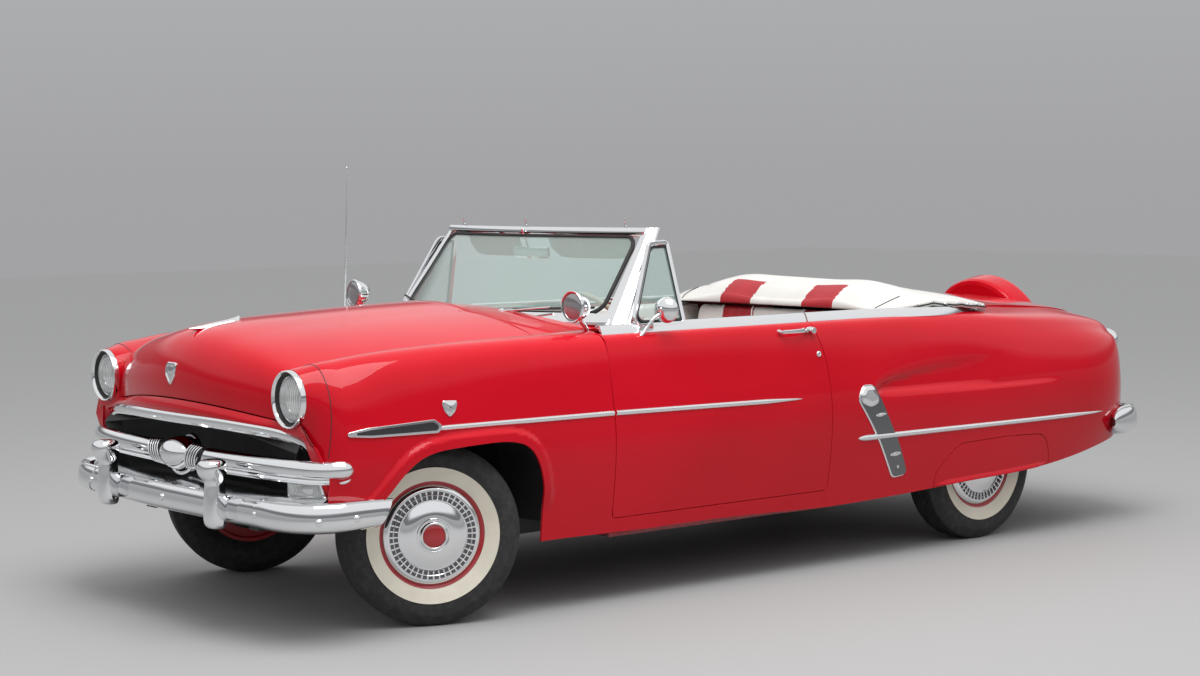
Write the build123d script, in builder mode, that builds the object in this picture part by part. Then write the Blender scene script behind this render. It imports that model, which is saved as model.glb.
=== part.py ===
"""A 1950s full-size open car: body panels, cabin, chassis, wheels and lamps.

Millimetres. +X is forward, +Y is the car's left, +Z is up. The origin is on
the ground, under the middle of the whole length.
"""
from build123d import *
from collections import namedtuple
import math
import os

# Overall sizes
LENGTH = 5024.0
WIDTH = 1887.0
WHEELBASE = 2921.0
FRONT_OVERHANG = 812.0
FRONT_TRACK = 1473.0
REAR_TRACK = 1422.0

# Tyres and wheels
TYRE_RADIUS = 337.0
TYRE_WIDTH = 172.0
TREAD_WIDTH = 126.0
RIM_RADIUS = 190.0
RIM_FLANGE = 208.0
RIM_WIDTH = 128.0
COVER_DEPTH = 34.0
SPINDLE_RADIUS = 19.0
SPINDLE_CLEARANCE = 0.05
PARK_STEER = -20.0
KINGPIN_INSET = 118.0

# Heights above the ground
SILL_Z = 258.0
DOOR_BOTTOM_Z = 330.0
FLOOR_Z = 352.0
TUNNEL_Y = 150.0
TUNNEL_Z = 478.0
BELLY_Z = 600.0
WAIST_Z = 820.0
BELT_Z = 1036.0
COWL_Z = 1122.0
DECK_Z = 1066.0
HEADER_Z = 1425.0

# Panels, gaps and seats
SKIN = 14.0
DOOR_THICKNESS = 138.0
PANEL_GAP = 8.0
HOOD_GAP = 6.0
PLATE_SPACING = 178.0
PLATE_HOLE_RADIUS = 3.5
SEAL_GAP = 0.3
GLASS = 6.0

# Places along the car
NOSE_X = LENGTH / 2
TAIL_X = -LENGTH / 2
FRONT_X = NOSE_X - FRONT_OVERHANG
REAR_X = FRONT_X - WHEELBASE
DOOR_FRONT_X = FRONT_X - 700.0
DOOR_REAR_X = REAR_X + 1071.0
HOOD_REAR_X = FRONT_X - 492.0
DECK_FRONT_X = REAR_X - 100.0
HALF = WIDTH / 2
CABIN_Y = HALF - DOOR_THICKNESS
AXLE_Z = TYRE_RADIUS


def behind(share):
    """A place between the rear axle and the tail, as a share of that length."""
    return REAR_X - share * (REAR_X - TAIL_X)


# Insets are measured in from the widest line of the body, on the left side.
Side = namedtuple("Side", "x bottom_in bottom_z belly_in waist_in "
                          "shoulder_in shoulder_z crown_in crown_z seam_in seam_z")
FENDER = [
    Side(FRONT_X + 600, 150, 500, 95, 98, 145, 925, 210, 972, 345, 862),
    Side(FRONT_X + 560, 95, 490, 55, 65, 110, 934, 190, 990, 332, 938),
    Side(FRONT_X + 480, 70, 440, 32, 45, 90, 942, 178, 1000, 318, 964),
    Side(FRONT_X + 350, 58, 300, 20, 36, 78, 955, 168, 1014, 304, 983),
    Side(FRONT_X + 150, 50, 290, 15, 34, 72, 970, 164, 1028, 290, 1001),
    Side(FRONT_X - 100, 50, 285, 15, 36, 72, 980, 162, 1036, 280, 1018),
    Side(FRONT_X - 400, 55, 280, 17, 38, 72, 986, 160, 1040, 272, 1032),
    Side(DOOR_FRONT_X + PANEL_GAP, 60, 275, 18, 38, 72, 988, 155, 1042, 245, 1050),
]
QUARTER = [
    Side(DOOR_REAR_X - PANEL_GAP, 62, SILL_Z, 15, 36, 75, 985, 112, 1034, 138, 1038),
    Side(REAR_X + 600, 58, 270, 12, 34, 78, 978, 118, 1030, 142, 1034),
    Side(REAR_X + 160, 52, 290, 6, 30, 84, 968, 124, 1024, 148, 1030),
    Side(DECK_FRONT_X, 50, 300, 3, 28, 92, 955, 140, 1002, 303, 1036),
    Side(behind(0.371), 52, 335, 6, 32, 105, 935, 165, 982, 313, 1020),
    Side(behind(0.603), 72, 380, 30, 52, 132, 905, 195, 955, 333, 985),
    Side(behind(0.681), 110, 410, 92, 125, 165, 888, 215, 935, 350, 945),
    Side(behind(0.743), 175, 425, 155, 190, 200, 874, 235, 915, 362, 905),
    Side(behind(0.805), 240, 440, 216, 250, 252, 862, 275, 888, 368, 860),
]
DOOR = [
    Side(DOOR_FRONT_X, 60, DOOR_BOTTOM_Z, 18, 38, 72, 988, 108, BELT_Z, 0, 0),
    Side((DOOR_FRONT_X + DOOR_REAR_X) / 2, 61, DOOR_BOTTOM_Z, 16, 37, 73, 987, 110, BELT_Z, 0, 0),
    Side(DOOR_REAR_X, 62, DOOR_BOTTOM_Z, 15, 36, 75, 985, 112, 1034, 0, 0),
]

# A crowned panel: its line on the centre plane, and at the edge width
Crown = namedtuple("Crown", "centre_x centre_z edge_x edge_z")
HOOD_EDGE_Y = HALF - 253.5
HOOD = [
    Crown(NOSE_X - 124, 833, NOSE_X - 250, 772),
    Crown(NOSE_X - 120, 890, NOSE_X - 248, 826),
    Crown(NOSE_X - 134, 960, NOSE_X - 256, 880),
    Crown(NOSE_X - 182, 1035, NOSE_X - 280, 922),
    Crown(NOSE_X - 282, 1082, NOSE_X - 332, 942),
    Crown(FRONT_X + 350, 1106, FRONT_X + 350, 965),
    Crown(FRONT_X + 150, 1117, FRONT_X + 150, 990),
    Crown(FRONT_X - 100, 1128, FRONT_X - 100, 1012),
    Crown(FRONT_X - 400, 1137, FRONT_X - 400, 1028),
    Crown(HOOD_REAR_X, 1137, HOOD_REAR_X, 1031),
]
LID_EDGE_Y = HALF - 253.5
LID = [
    Crown(DECK_FRONT_X - 20, DECK_Z, DECK_FRONT_X - 20, 1030),
    Crown(behind(0.294), 1062, behind(0.294), 1020),
    Crown(behind(0.487), 1052, behind(0.487), 998),
    Crown(behind(0.648), 1022, behind(0.627), 962),
    Crown(behind(0.744), 945, behind(0.720), 890),
    Crown(behind(0.797), 830, behind(0.782), 790),
    Crown(behind(0.853), 690, behind(0.817), 670),
    Crown(behind(0.895), 560, behind(0.833), 560),
]


def side_points(row):
    """The body's outer line at one station, from the sill up to the seam."""
    return [
        (HALF - row.bottom_in, row.bottom_z),
        (HALF - row.belly_in, BELLY_Z),
        (HALF - row.waist_in, WAIST_Z),
        (HALF - row.shoulder_in, row.shoulder_z),
        (HALF - row.crown_in, row.crown_z),
        (HALF - row.seam_in, row.seam_z),
    ]


def inward(points, wall):
    """The same line moved towards the inside of the body by a wall."""
    moved = []
    for i, (y, z) in enumerate(points):
        before = points[max(i - 1, 0)]
        after = points[min(i + 1, len(points) - 1)]
        dy, dz = after[0] - before[0], after[1] - before[1]
        run = math.hypot(dy, dz)
        moved.append((y - wall * dz / run, z + wall * dy / run))
    return moved


def crown_points(table, edge_y, y):
    """A crowned panel's line at one width."""
    share = (y / edge_y) ** 2
    return [(row.centre_x + (row.edge_x - row.centre_x) * share,
             row.centre_z + (row.edge_z - row.centre_z) * share) for row in table]


def stations(edge_y):
    """The widths at which a crowned panel is drawn, from one edge to the other."""
    return [edge_y * step / 3 for step in range(-3, 4)]


def section(plane, points):
    """One closed section of a loft."""
    with BuildSketch(plane) as outline:
        with BuildLine():
            Polyline(*points, close=True)
        make_face()
    return outline.sketch


def skin_section(row, wall):
    """A thin pressed side panel at one station."""
    outer = side_points(row)
    return section(Plane.YZ.offset(row.x), outer + inward(outer, wall)[::-1])


def slab_section(row, inner_y):
    """A wall as thick as the whole door at one station."""
    outer = side_points(row)[:5]
    return section(Plane.YZ.offset(row.x),
                   outer + [(inner_y, row.crown_z), (inner_y, row.bottom_z)])


def crown_section(table, edge_y, y, wall):
    """A crowned pressed panel at one width."""
    outer = crown_points(table, edge_y, abs(y))
    return section(Plane.XZ.offset(-y), outer + inward(outer, wall)[::-1])


def box(low, high):
    """A plain block between two corners, as an object of its own."""
    size = [b - a for a, b in zip(low, high)]
    middle = [(a + b) / 2 for a, b in zip(low, high)]
    return Pos(*middle) * Box(*size, mode=Mode.PRIVATE)


def side_box(side, low, high):
    """A block given by its corners on the left side, or its mirror image on the right."""
    return box((low[0], min(side * low[1], side * high[1]), low[2]),
               (high[0], max(side * low[1], side * high[1]), high[2]))


def rod(start, end, radius):
    """A round bar between two points, as an object of its own."""
    run = Vector(*end) - Vector(*start)
    plane = Plane(origin=start, z_dir=run)
    return plane * Pos(0, 0, run.length / 2) * Cylinder(radius, run.length, mode=Mode.PRIVATE)


def seam_line(shift):
    """The slanting rear cut of the door, from below the sill to above the belt."""
    x = DOOR_REAR_X + shift
    return [(x, 0), (x, 900), (x + DOOR_CUT_LEAN, BELT_Z + 4), (x + DOOR_CUT_LEAN, HEADER_Z)]


PIECES = {}


def keep(name, builder):
    """Label a finished piece and write it down for the export."""
    builder.part.label = name
    PIECES[name] = builder.part


# Front fenders: a pressed side with its crown, a front face and the wheel arch
ARCH_REAR = FRONT_X - 372
ARCH_FRONT = FRONT_X + 350
GRILLE_TOP_Z = 784.0
GRILLE_END_Y = HALF - 143.5
GRILLE_END_Z = 672.0
LAMP_Y = HALF - 232.5
LAMP_Z = 868.0
LAMP_RADIUS = 96.0
BAR_Z = 618.0
BAR_RADIUS = 44.0
BAR_CORNER_X = FRONT_X + 590

with BuildPart() as front_fenders:
    loft([skin_section(row, SKIN) for row in FENDER], ruled=True)
    with BuildSketch(Plane.YZ.offset(FENDER[0].x - SKIN)):
        with BuildLine():
            Polyline(*side_points(FENDER[0]), (HALF - FENDER[0].seam_in, 500), close=True)
        make_face()
    extrude(amount=SKIN)
    # The wheel arch
    with BuildSketch(Plane.XZ):
        with BuildLine():
            Line((ARCH_REAR, 200), (ARCH_REAR, AXLE_Z + 143))
            ThreePointArc((ARCH_REAR, AXLE_Z + 143), (FRONT_X - 325, AXLE_Z + 263),
                          (FRONT_X - 220, AXLE_Z + 325))
            ThreePointArc((FRONT_X - 220, AXLE_Z + 325), (FRONT_X - 60, AXLE_Z + 340),
                          (FRONT_X + 100, AXLE_Z + 325))
            ThreePointArc((FRONT_X + 100, AXLE_Z + 325), (FRONT_X + 220, AXLE_Z + 280),
                          (FRONT_X + 310, AXLE_Z + 203))
            Line((FRONT_X + 310, AXLE_Z + 203), (ARCH_FRONT, AXLE_Z + 103))
            Line((ARCH_FRONT, AXLE_Z + 103), (ARCH_FRONT, 200))
            Line((ARCH_FRONT, 200), (ARCH_REAR, 200))
        make_face()
    extrude(amount=-HALF - 50, mode=Mode.SUBTRACT)
    # The grille mouth, the lamp hole and the place of the grille bar's end
    with BuildSketch(Plane.YZ.offset(NOSE_X)):
        with BuildLine():
            ThreePointArc((-GRILLE_END_Y, GRILLE_END_Z), (0, GRILLE_TOP_Z),
                          (GRILLE_END_Y, GRILLE_END_Z))
            Polyline((GRILLE_END_Y, GRILLE_END_Z), (GRILLE_END_Y, 400),
                     (-GRILLE_END_Y, 400), (-GRILLE_END_Y, GRILLE_END_Z))
        make_face()
    extrude(amount=-NOSE_X + FENDER[0].x - 40, mode=Mode.SUBTRACT)
    with BuildSketch(Plane.YZ.offset(NOSE_X)):
        with Locations((LAMP_Y, LAMP_Z)):
            Circle(LAMP_RADIUS)
    extrude(amount=-NOSE_X + FENDER[0].x - 40, mode=Mode.SUBTRACT)
    add(box((FRONT_X + 490, GRILLE_END_Y - 20, BAR_Z - BAR_RADIUS - SEAL_GAP),
            (NOSE_X, HALF, BAR_Z + BAR_RADIUS + SEAL_GAP)), mode=Mode.SUBTRACT)
    mirror(about=Plane.XZ)
keep("front_fenders", front_fenders)

# Hood: one crowned pressing, cut along the fender seams
HOOD_STATIONS = stations(HOOD_EDGE_Y)
hood_seam = [(row.x, HALF - row.seam_in - HOOD_GAP) for row in FENDER[:-1]]
hood_plan = ([(NOSE_X + 10, hood_seam[0][1] - 20)] + hood_seam
             + [(HOOD_REAR_X, hood_seam[-1][1])])
with BuildPart() as hood:
    loft([crown_section(HOOD, HOOD_EDGE_Y, y, SKIN) for y in HOOD_STATIONS], ruled=True)
    with BuildSketch(Plane.XY.offset(HOOD[0].edge_z - 50)):
        with BuildLine():
            Polyline(*hood_plan, *[(x, -y) for x, y in hood_plan[::-1]], close=True)
        make_face()
    extrude(amount=600, mode=Mode.INTERSECT)
keep("hood", hood)

# Nose panel: the strip between the hood's lip and the grille mouth
NOSE_PANEL_Y = HALF - FENDER[0].seam_in - SEAL_GAP
NOSE_PANEL_X = HOOD[0].centre_x
with BuildPart() as nose_panel:
    with BuildSketch(Plane.XY.offset(GRILLE_END_Z)):
        with BuildLine():
            ThreePointArc((FENDER[0].x + 2, -NOSE_PANEL_Y), (NOSE_PANEL_X, 0),
                          (FENDER[0].x + 2, NOSE_PANEL_Y))
            Line((FENDER[0].x + 2, NOSE_PANEL_Y), (FENDER[0].x + 2 - SKIN, NOSE_PANEL_Y))
            ThreePointArc((FENDER[0].x + 2 - SKIN, NOSE_PANEL_Y), (NOSE_PANEL_X - SKIN, 0),
                          (FENDER[0].x + 2 - SKIN, -NOSE_PANEL_Y))
            Line((FENDER[0].x + 2 - SKIN, -NOSE_PANEL_Y), (FENDER[0].x + 2, -NOSE_PANEL_Y))
        make_face()
    extrude(amount=200)
    with BuildSketch(Plane.YZ.offset(NOSE_X)):
        with BuildLine():
            ThreePointArc((-GRILLE_END_Y, GRILLE_END_Z), (0, GRILLE_TOP_Z),
                          (GRILLE_END_Y, GRILLE_END_Z))
            ThreePointArc((GRILLE_END_Y, GRILLE_END_Z + 55), (0, HOOD[0].centre_z - HOOD_GAP),
                          (-GRILLE_END_Y, GRILLE_END_Z + 55))
            Line((GRILLE_END_Y, GRILLE_END_Z), (GRILLE_END_Y, GRILLE_END_Z + 55))
            Line((-GRILLE_END_Y, GRILLE_END_Z), (-GRILLE_END_Y, GRILLE_END_Z + 55))
        make_face()
    extrude(amount=-400, mode=Mode.INTERSECT)
keep("nose_panel", nose_panel)

# Cowl: the panel under the windshield, the firewall and the hinge posts
COWL_FRONT_X = HOOD_REAR_X - HOOD_GAP
STOP_GAP = 0.9
HOOD_HINGE_X = HOOD_REAR_X + 20
COWL_REAR_X = DOOR_FRONT_X + 40
TOE_X = COWL_FRONT_X - 60
POST_TOP_Z = 1012.0
PILLAR_FOOT_X = DOOR_FRONT_X - 150
POST_Y = CABIN_Y - 10
POST_IN_Y = POST_Y - 105.5
PAD_Y = POST_Y - 25
PAD_LOW_Z = BELT_Z - 76
COWL_EDGE_DEPTH = 70.0
WALL = 12.0
STOP_Y = 10.0
STOP_LOW_Z = HOOD[-1].centre_z - 59
STOP_TOP_Z = HOOD[-1].centre_z - 43
with BuildPart() as cowl:
    cowl_sections = []
    for x, centre_z, edge_y, edge_z in (
            (COWL_FRONT_X, HOOD[-1].centre_z, HALF - FENDER[-2].seam_in - HOOD_GAP, 1030),
            (COWL_REAR_X, COWL_Z, HALF - FENDER[-1].seam_in - HOOD_GAP, 1048)):
        with BuildSketch(Plane.YZ.offset(x)) as cowl_end:
            with BuildLine():
                ThreePointArc((-edge_y, edge_z), (0, centre_z), (edge_y, edge_z))
                Polyline((edge_y, edge_z), (edge_y, edge_z - COWL_EDGE_DEPTH),
                         (-edge_y, edge_z - COWL_EDGE_DEPTH), (-edge_y, edge_z))
            make_face()
        cowl_sections.append(cowl_end.sketch)
    loft(cowl_sections, ruled=True)
    add(box((TOE_X, -POST_IN_Y - WALL / 2, FLOOR_Z), (TOE_X + WALL, POST_IN_Y + WALL / 2, 1000)))
    add(box((0, -TUNNEL_Y, 0), (COWL_FRONT_X, TUNNEL_Y, TUNNEL_Z)), mode=Mode.SUBTRACT)
    for side in (1, -1):
        add(side_box(side, (COWL_REAR_X - 20, POST_IN_Y, FLOOR_Z), (TOE_X + WALL, POST_Y, POST_TOP_Z)))
        add(side_box(side, (PILLAR_FOOT_X, POST_IN_Y, PAD_LOW_Z),
                     (FENDER[-1].x - SEAL_GAP, PAD_Y, BELT_Z + 10)))
        add(side_box(side, (FENDER[-1].x - 1, POST_IN_Y, PAD_LOW_Z), (COWL_REAR_X - 19, PAD_Y, POST_TOP_Z)))
    # The stop that the hood rests on, ahead of its hinge line
    add(box((COWL_FRONT_X - 1, -STOP_Y, STOP_LOW_Z), (HOOD_HINGE_X + 34, STOP_Y, STOP_TOP_Z)))
    add(box((HOOD_HINGE_X + 8, -STOP_Y, STOP_LOW_Z),
            (HOOD_HINGE_X + 34, STOP_Y, HOOD[-1].centre_z - SKIN - STOP_GAP)))
keep("cowl", cowl)

# Windshield: a curved pane in a bright frame, between two leaning levels
SHIELD_BASE_Z = 1060.0
SHIELD_BASE_Y = HALF - 215.5
SHIELD_TOP_Y = HALF - 271.5
SHIELD_BASE_X = DOOR_FRONT_X - 132
SHIELD_LEAN_X = 246.0
SHIELD_BASE_BOW = 236.0
SHIELD_TOP_BOW = 86.0
FRAME_DEPTH = 34.0
FRAME_EDGE = 34.0


def shield_section(z, grow_y, front, back):
    """The windshield's crescent at one height, grown sideways and in depth."""
    share = (z - SHIELD_BASE_Z) / (HEADER_Z - SHIELD_BASE_Z)
    y = SHIELD_BASE_Y + (SHIELD_TOP_Y - SHIELD_BASE_Y) * share + grow_y
    x = SHIELD_BASE_X - SHIELD_LEAN_X * share
    bow = SHIELD_BASE_BOW + (SHIELD_TOP_BOW - SHIELD_BASE_BOW) * share
    with BuildSketch(Plane.XY.offset(z)) as crescent:
        with BuildLine():
            ThreePointArc((x + front, -y), (x + bow + front, 0), (x + front, y))
            Line((x + front, y), (x - back, y))
            ThreePointArc((x - back, y), (x + bow - back, 0), (x - back, -y))
            Line((x - back, -y), (x + front, -y))
        make_face()
    return crescent.sketch


SHIELD_FOOT_Z = 1150.0
with BuildPart() as windshield_glass:
    loft([shield_section(SHIELD_FOOT_Z, -FRAME_EDGE, GLASS / 2, GLASS / 2),
          shield_section(HEADER_Z - 40, -FRAME_EDGE, GLASS / 2, GLASS / 2)], ruled=True)
keep("windshield_glass", windshield_glass)

with BuildPart() as windshield_frame:
    loft([shield_section(1052, 0, FRAME_DEPTH / 2, FRAME_DEPTH / 2),
          shield_section(HEADER_Z, 0, FRAME_DEPTH / 2, FRAME_DEPTH / 2)], ruled=True)
    loft([shield_section(SHIELD_FOOT_Z, -FRAME_EDGE, FRAME_DEPTH, FRAME_DEPTH),
          shield_section(HEADER_Z - 40, -FRAME_EDGE, FRAME_DEPTH, FRAME_DEPTH)],
         ruled=True, mode=Mode.SUBTRACT)
    add(cowl.part, mode=Mode.SUBTRACT)
keep("windshield_frame", windshield_frame)

# Doors: a slab as thick as the whole door, with a vent window on its top
DOOR_CUT_LEAN = 65.0
DOOR_PLAN_SLANT = 0.11
VENT_LEAN = 15.0
VENT_BASE_Y = CABIN_Y + 14
VENT_EDGE = 20.0
VENT_OUTER = [(DOOR_FRONT_X - 512, 0), (DOOR_FRONT_X - 250, 0),
              (DOOR_FRONT_X - 425, 352), (DOOR_FRONT_X - 480, 352)]
VENT_INNER = [(DOOR_FRONT_X - 488, 28), (DOOR_FRONT_X - 292, 28),
              (DOOR_FRONT_X - 432, 322), (DOOR_FRONT_X - 460, 322)]
lean = math.radians(VENT_LEAN)
vent_plane = Plane(origin=(0, VENT_BASE_Y, BELT_Z), x_dir=(1, 0, 0),
                   z_dir=(0, -math.cos(lean), -math.sin(lean)))
with BuildPart() as door_left:
    loft([slab_section(row, CABIN_Y)
          for row in DOOR[:-1] + [DOOR[-1]._replace(x=DOOR_REAR_X - 30)]], ruled=True)
    slant = DOOR_PLAN_SLANT * HALF
    with BuildSketch(Plane.XZ):
        with BuildLine():
            Polyline(*[(x + slant, z) for x, z in seam_line(0)],
                     (DOOR_REAR_X - HALF, HEADER_Z), (DOOR_REAR_X - HALF, 0), close=True)
        make_face()
    extrude(amount=1.2 * HALF, dir=(-DOOR_PLAN_SLANT, 1, 0), mode=Mode.SUBTRACT)
    with BuildSketch(vent_plane):
        with BuildLine():
            Polyline(*VENT_OUTER, close=True)
        make_face()
        with BuildLine():
            Polyline(*VENT_INNER, close=True)
        make_face(mode=Mode.SUBTRACT)
    extrude(amount=VENT_EDGE / 2, both=True)
keep("door_left", door_left)

with BuildPart() as door_right:
    mirror(door_left.part, about=Plane.XZ)
keep("door_right", door_right)

with BuildPart() as vent_glass_left:
    with BuildSketch(vent_plane):
        with BuildLine():
            Polyline(*VENT_INNER, close=True)
        make_face()
    extrude(amount=GLASS / 2, both=True)
keep("vent_glass_left", vent_glass_left)

with BuildPart() as vent_glass_right:
    mirror(vent_glass_left.part, about=Plane.XZ)
keep("vent_glass_right", vent_glass_right)

# Door mirror: a round head on a long swept foot, on the left door only
MIRROR_X = DOOR_FRONT_X - 310
MIRROR_Y = CABIN_Y + 46
MIRROR_Z = BELT_Z + 81
MIRROR_HEAD_Y = MIRROR_Y + 20
with BuildPart() as door_mirror:
    add(box((MIRROR_X + 20, MIRROR_Y - 10, BELT_Z - 40), (MIRROR_X + 250, MIRROR_Y + 10, BELT_Z - 4)))
    add(rod((MIRROR_X + 40, MIRROR_Y, BELT_Z - 14), (MIRROR_X + 8, MIRROR_HEAD_Y, MIRROR_Z), 9))
    add(rod((MIRROR_X - 12, MIRROR_HEAD_Y, MIRROR_Z), (MIRROR_X + 30, MIRROR_HEAD_Y, MIRROR_Z), 52))
    add(door_left.part, mode=Mode.SUBTRACT)
keep("door_mirror", door_mirror)

# Quarter panels: a thick wall beside the rear seat, then a pressed skin
WALL_END_X = REAR_X + 411
wall_rows = [QUARTER[0]._replace(x=DOOR_REAR_X + 90), QUARTER[1],
             QUARTER[2]._replace(x=WALL_END_X)]
skin_rows = [QUARTER[2]._replace(x=WALL_END_X + 20)] + QUARTER[2:]
SKIRT_GAP = 0.3
SKIRT_BOTTOM_Z = 318.0


def skirt_outline(grow):
    """The wheel opening that the skirt closes, as a closed arch."""
    left, right = REAR_X - 322 - grow, REAR_X + 392 + grow
    top = 464 + grow
    with BuildLine() as arch:
        Line((right, 200), (right, 340))
        ThreePointArc((right, 340), (right - 45, 425), (right - 145, top - 5))
        ThreePointArc((right - 145, top - 5), (REAR_X + 10, top + 5), (left + 95, top - 8))
        ThreePointArc((left + 95, top - 8), (left + 28, 420), (left, 340))
        Line((left, 340), (left, 200))
        Line((left, 200), (right, 200))
    return arch.line


with BuildPart() as quarter_panels:
    loft([slab_section(row, CABIN_Y - 159.7) for row in wall_rows], ruled=True)
    loft([skin_section(row, SKIN) for row in skin_rows], ruled=True)
    with BuildSketch(Plane.YZ.offset(QUARTER[-1].x)):
        with BuildLine():
            Polyline(*side_points(QUARTER[-1]),
                     (HALF - QUARTER[-1].seam_in, QUARTER[-1].bottom_z), close=True)
        make_face()
    extrude(amount=SKIN)
    with BuildSketch(Plane.XZ):
        with BuildLine():
            Polyline(*seam_line(-PANEL_GAP), (DOOR_FRONT_X, HEADER_Z), (DOOR_FRONT_X, 0), close=True)
        make_face()
    extrude(amount=-HALF - 50, mode=Mode.SUBTRACT)
    with BuildSketch(Plane.XZ):
        add(skirt_outline(0))
        make_face()
    extrude(amount=-HALF - 50, mode=Mode.SUBTRACT)
    mirror(about=Plane.XZ)
keep("quarter_panels", quarter_panels)

# Fender skirts: the panels that close the rear wheel openings
with BuildPart() as fender_skirts:
    loft([skin_section(row, SKIN) for row in QUARTER[1:5]], ruled=True)
    with BuildSketch(Plane.XZ):
        add(skirt_outline(-SKIRT_GAP))
        make_face()
    extrude(amount=-HALF - 50, mode=Mode.INTERSECT)
    add(box((TAIL_X, 0, 0), (NOSE_X, HALF, SKIRT_BOTTOM_Z)), mode=Mode.SUBTRACT)
    mirror(about=Plane.XZ)
keep("fender_skirts", fender_skirts)

# Trunk lid: one crowned pressing that turns down to the rear bumper
LID_STATIONS = stations(LID_EDGE_Y)
lid_seam = [(row.x, HALF - row.seam_in - HOOD_GAP) for row in QUARTER[3:]]
lid_plan = [(DECK_FRONT_X, lid_seam[0][1])] + lid_seam[1:] + [(TAIL_X, lid_seam[-1][1])]
with BuildPart() as trunk_lid:
    loft([crown_section(LID, LID_EDGE_Y, y, SKIN) for y in LID_STATIONS], ruled=True)
    with BuildSketch(Plane.XY.offset(LID[-1].centre_z - 20)):
        with BuildLine():
            Polyline(*lid_plan, *[(x, -y) for x, y in lid_plan[::-1]], close=True)
        make_face()
    extrude(amount=700, mode=Mode.INTERSECT)
keep("trunk_lid", trunk_lid)

# Spare wheel cover: a round drum with a domed back, leaning on the trunk lid's tail
SPARE_RADIUS = 325.0
SPARE_DEPTH = 135.0
SPARE_LEAN = 12.0
SPARE_X = behind(0.733)
SPARE_Z = 807.0
SPARE_EDGE = 25.0
SPARE_DOME = 100.0
spare_lean = math.radians(SPARE_LEAN)
spare_plane = Plane(origin=(SPARE_X, 0, SPARE_Z), x_dir=(0, -1, 0),
                    z_dir=(-math.cos(spare_lean), 0, math.sin(spare_lean)))
with BuildPart() as spare_drum:
    with BuildSketch(Plane.XZ):
        with BuildLine():
            Polyline((0, -SPARE_DEPTH / 2), (SPARE_RADIUS - SPARE_EDGE, -SPARE_DEPTH / 2),
                     (SPARE_RADIUS, SPARE_EDGE - SPARE_DEPTH / 2), (SPARE_RADIUS, SPARE_DEPTH / 2),
                     *[(SPARE_RADIUS * share, SPARE_DEPTH / 2 + SPARE_DOME * rise)
                       for share, rise in ((0.94, 0.30), (0.75, 0.68), (0.40, 0.95), (0, 1))],
                     close=True)
        make_face()
    revolve(axis=Axis.Z)
with BuildPart() as spare_cover:
    add(spare_plane * spare_drum.part)
    add(box((TAIL_X - SPARE_RADIUS, -2 * SPARE_RADIUS, 0), (REAR_X, 2 * SPARE_RADIUS, LID[-1].centre_z)),
        mode=Mode.SUBTRACT)
    loft([section(Plane.XZ.offset(-y), crown_points(LID, LID_EDGE_Y, abs(y))
                  + [(DECK_FRONT_X - 20, LID[-1].centre_z - 1)])
          for y in LID_STATIONS], ruled=True, mode=Mode.SUBTRACT)
keep("spare_cover", spare_cover)

# Rear panel: the curved tail panel below the lid, between the quarter panels
REAR_PANEL_Z = 410.0
RAIL_Y = 400.0
BRACKET_LOW_Z = 442.0
BRACKET_TOP_Z = 486.0
REAR_PANEL_Y = HALF - QUARTER[-1].seam_in - SEAL_GAP
with BuildPart() as rear_panel:
    with BuildSketch(Plane.XY.offset(REAR_PANEL_Z)):
        with BuildLine():
            ThreePointArc((QUARTER[-1].x, -REAR_PANEL_Y), (LID[-1].centre_x, 0),
                          (QUARTER[-1].x, REAR_PANEL_Y))
            Line((QUARTER[-1].x, REAR_PANEL_Y), (QUARTER[-1].x + SKIN, REAR_PANEL_Y))
            ThreePointArc((QUARTER[-1].x + SKIN, REAR_PANEL_Y), (LID[-1].centre_x + SKIN, 0),
                          (QUARTER[-1].x + SKIN, -REAR_PANEL_Y))
            Line((QUARTER[-1].x + SKIN, -REAR_PANEL_Y), (QUARTER[-1].x, -REAR_PANEL_Y))
        make_face()
    extrude(amount=LID[-1].centre_z - PANEL_GAP - REAR_PANEL_Z)
    for side in (1, -1):
        # The slot that each bumper bracket passes through
        add(side_box(side, (TAIL_X, RAIL_Y - 38, BRACKET_LOW_Z - 8),
                     (REAR_X, RAIL_Y + 38, BRACKET_TOP_Z + 8)), mode=Mode.SUBTRACT)
keep("rear_panel", rear_panel)

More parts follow.
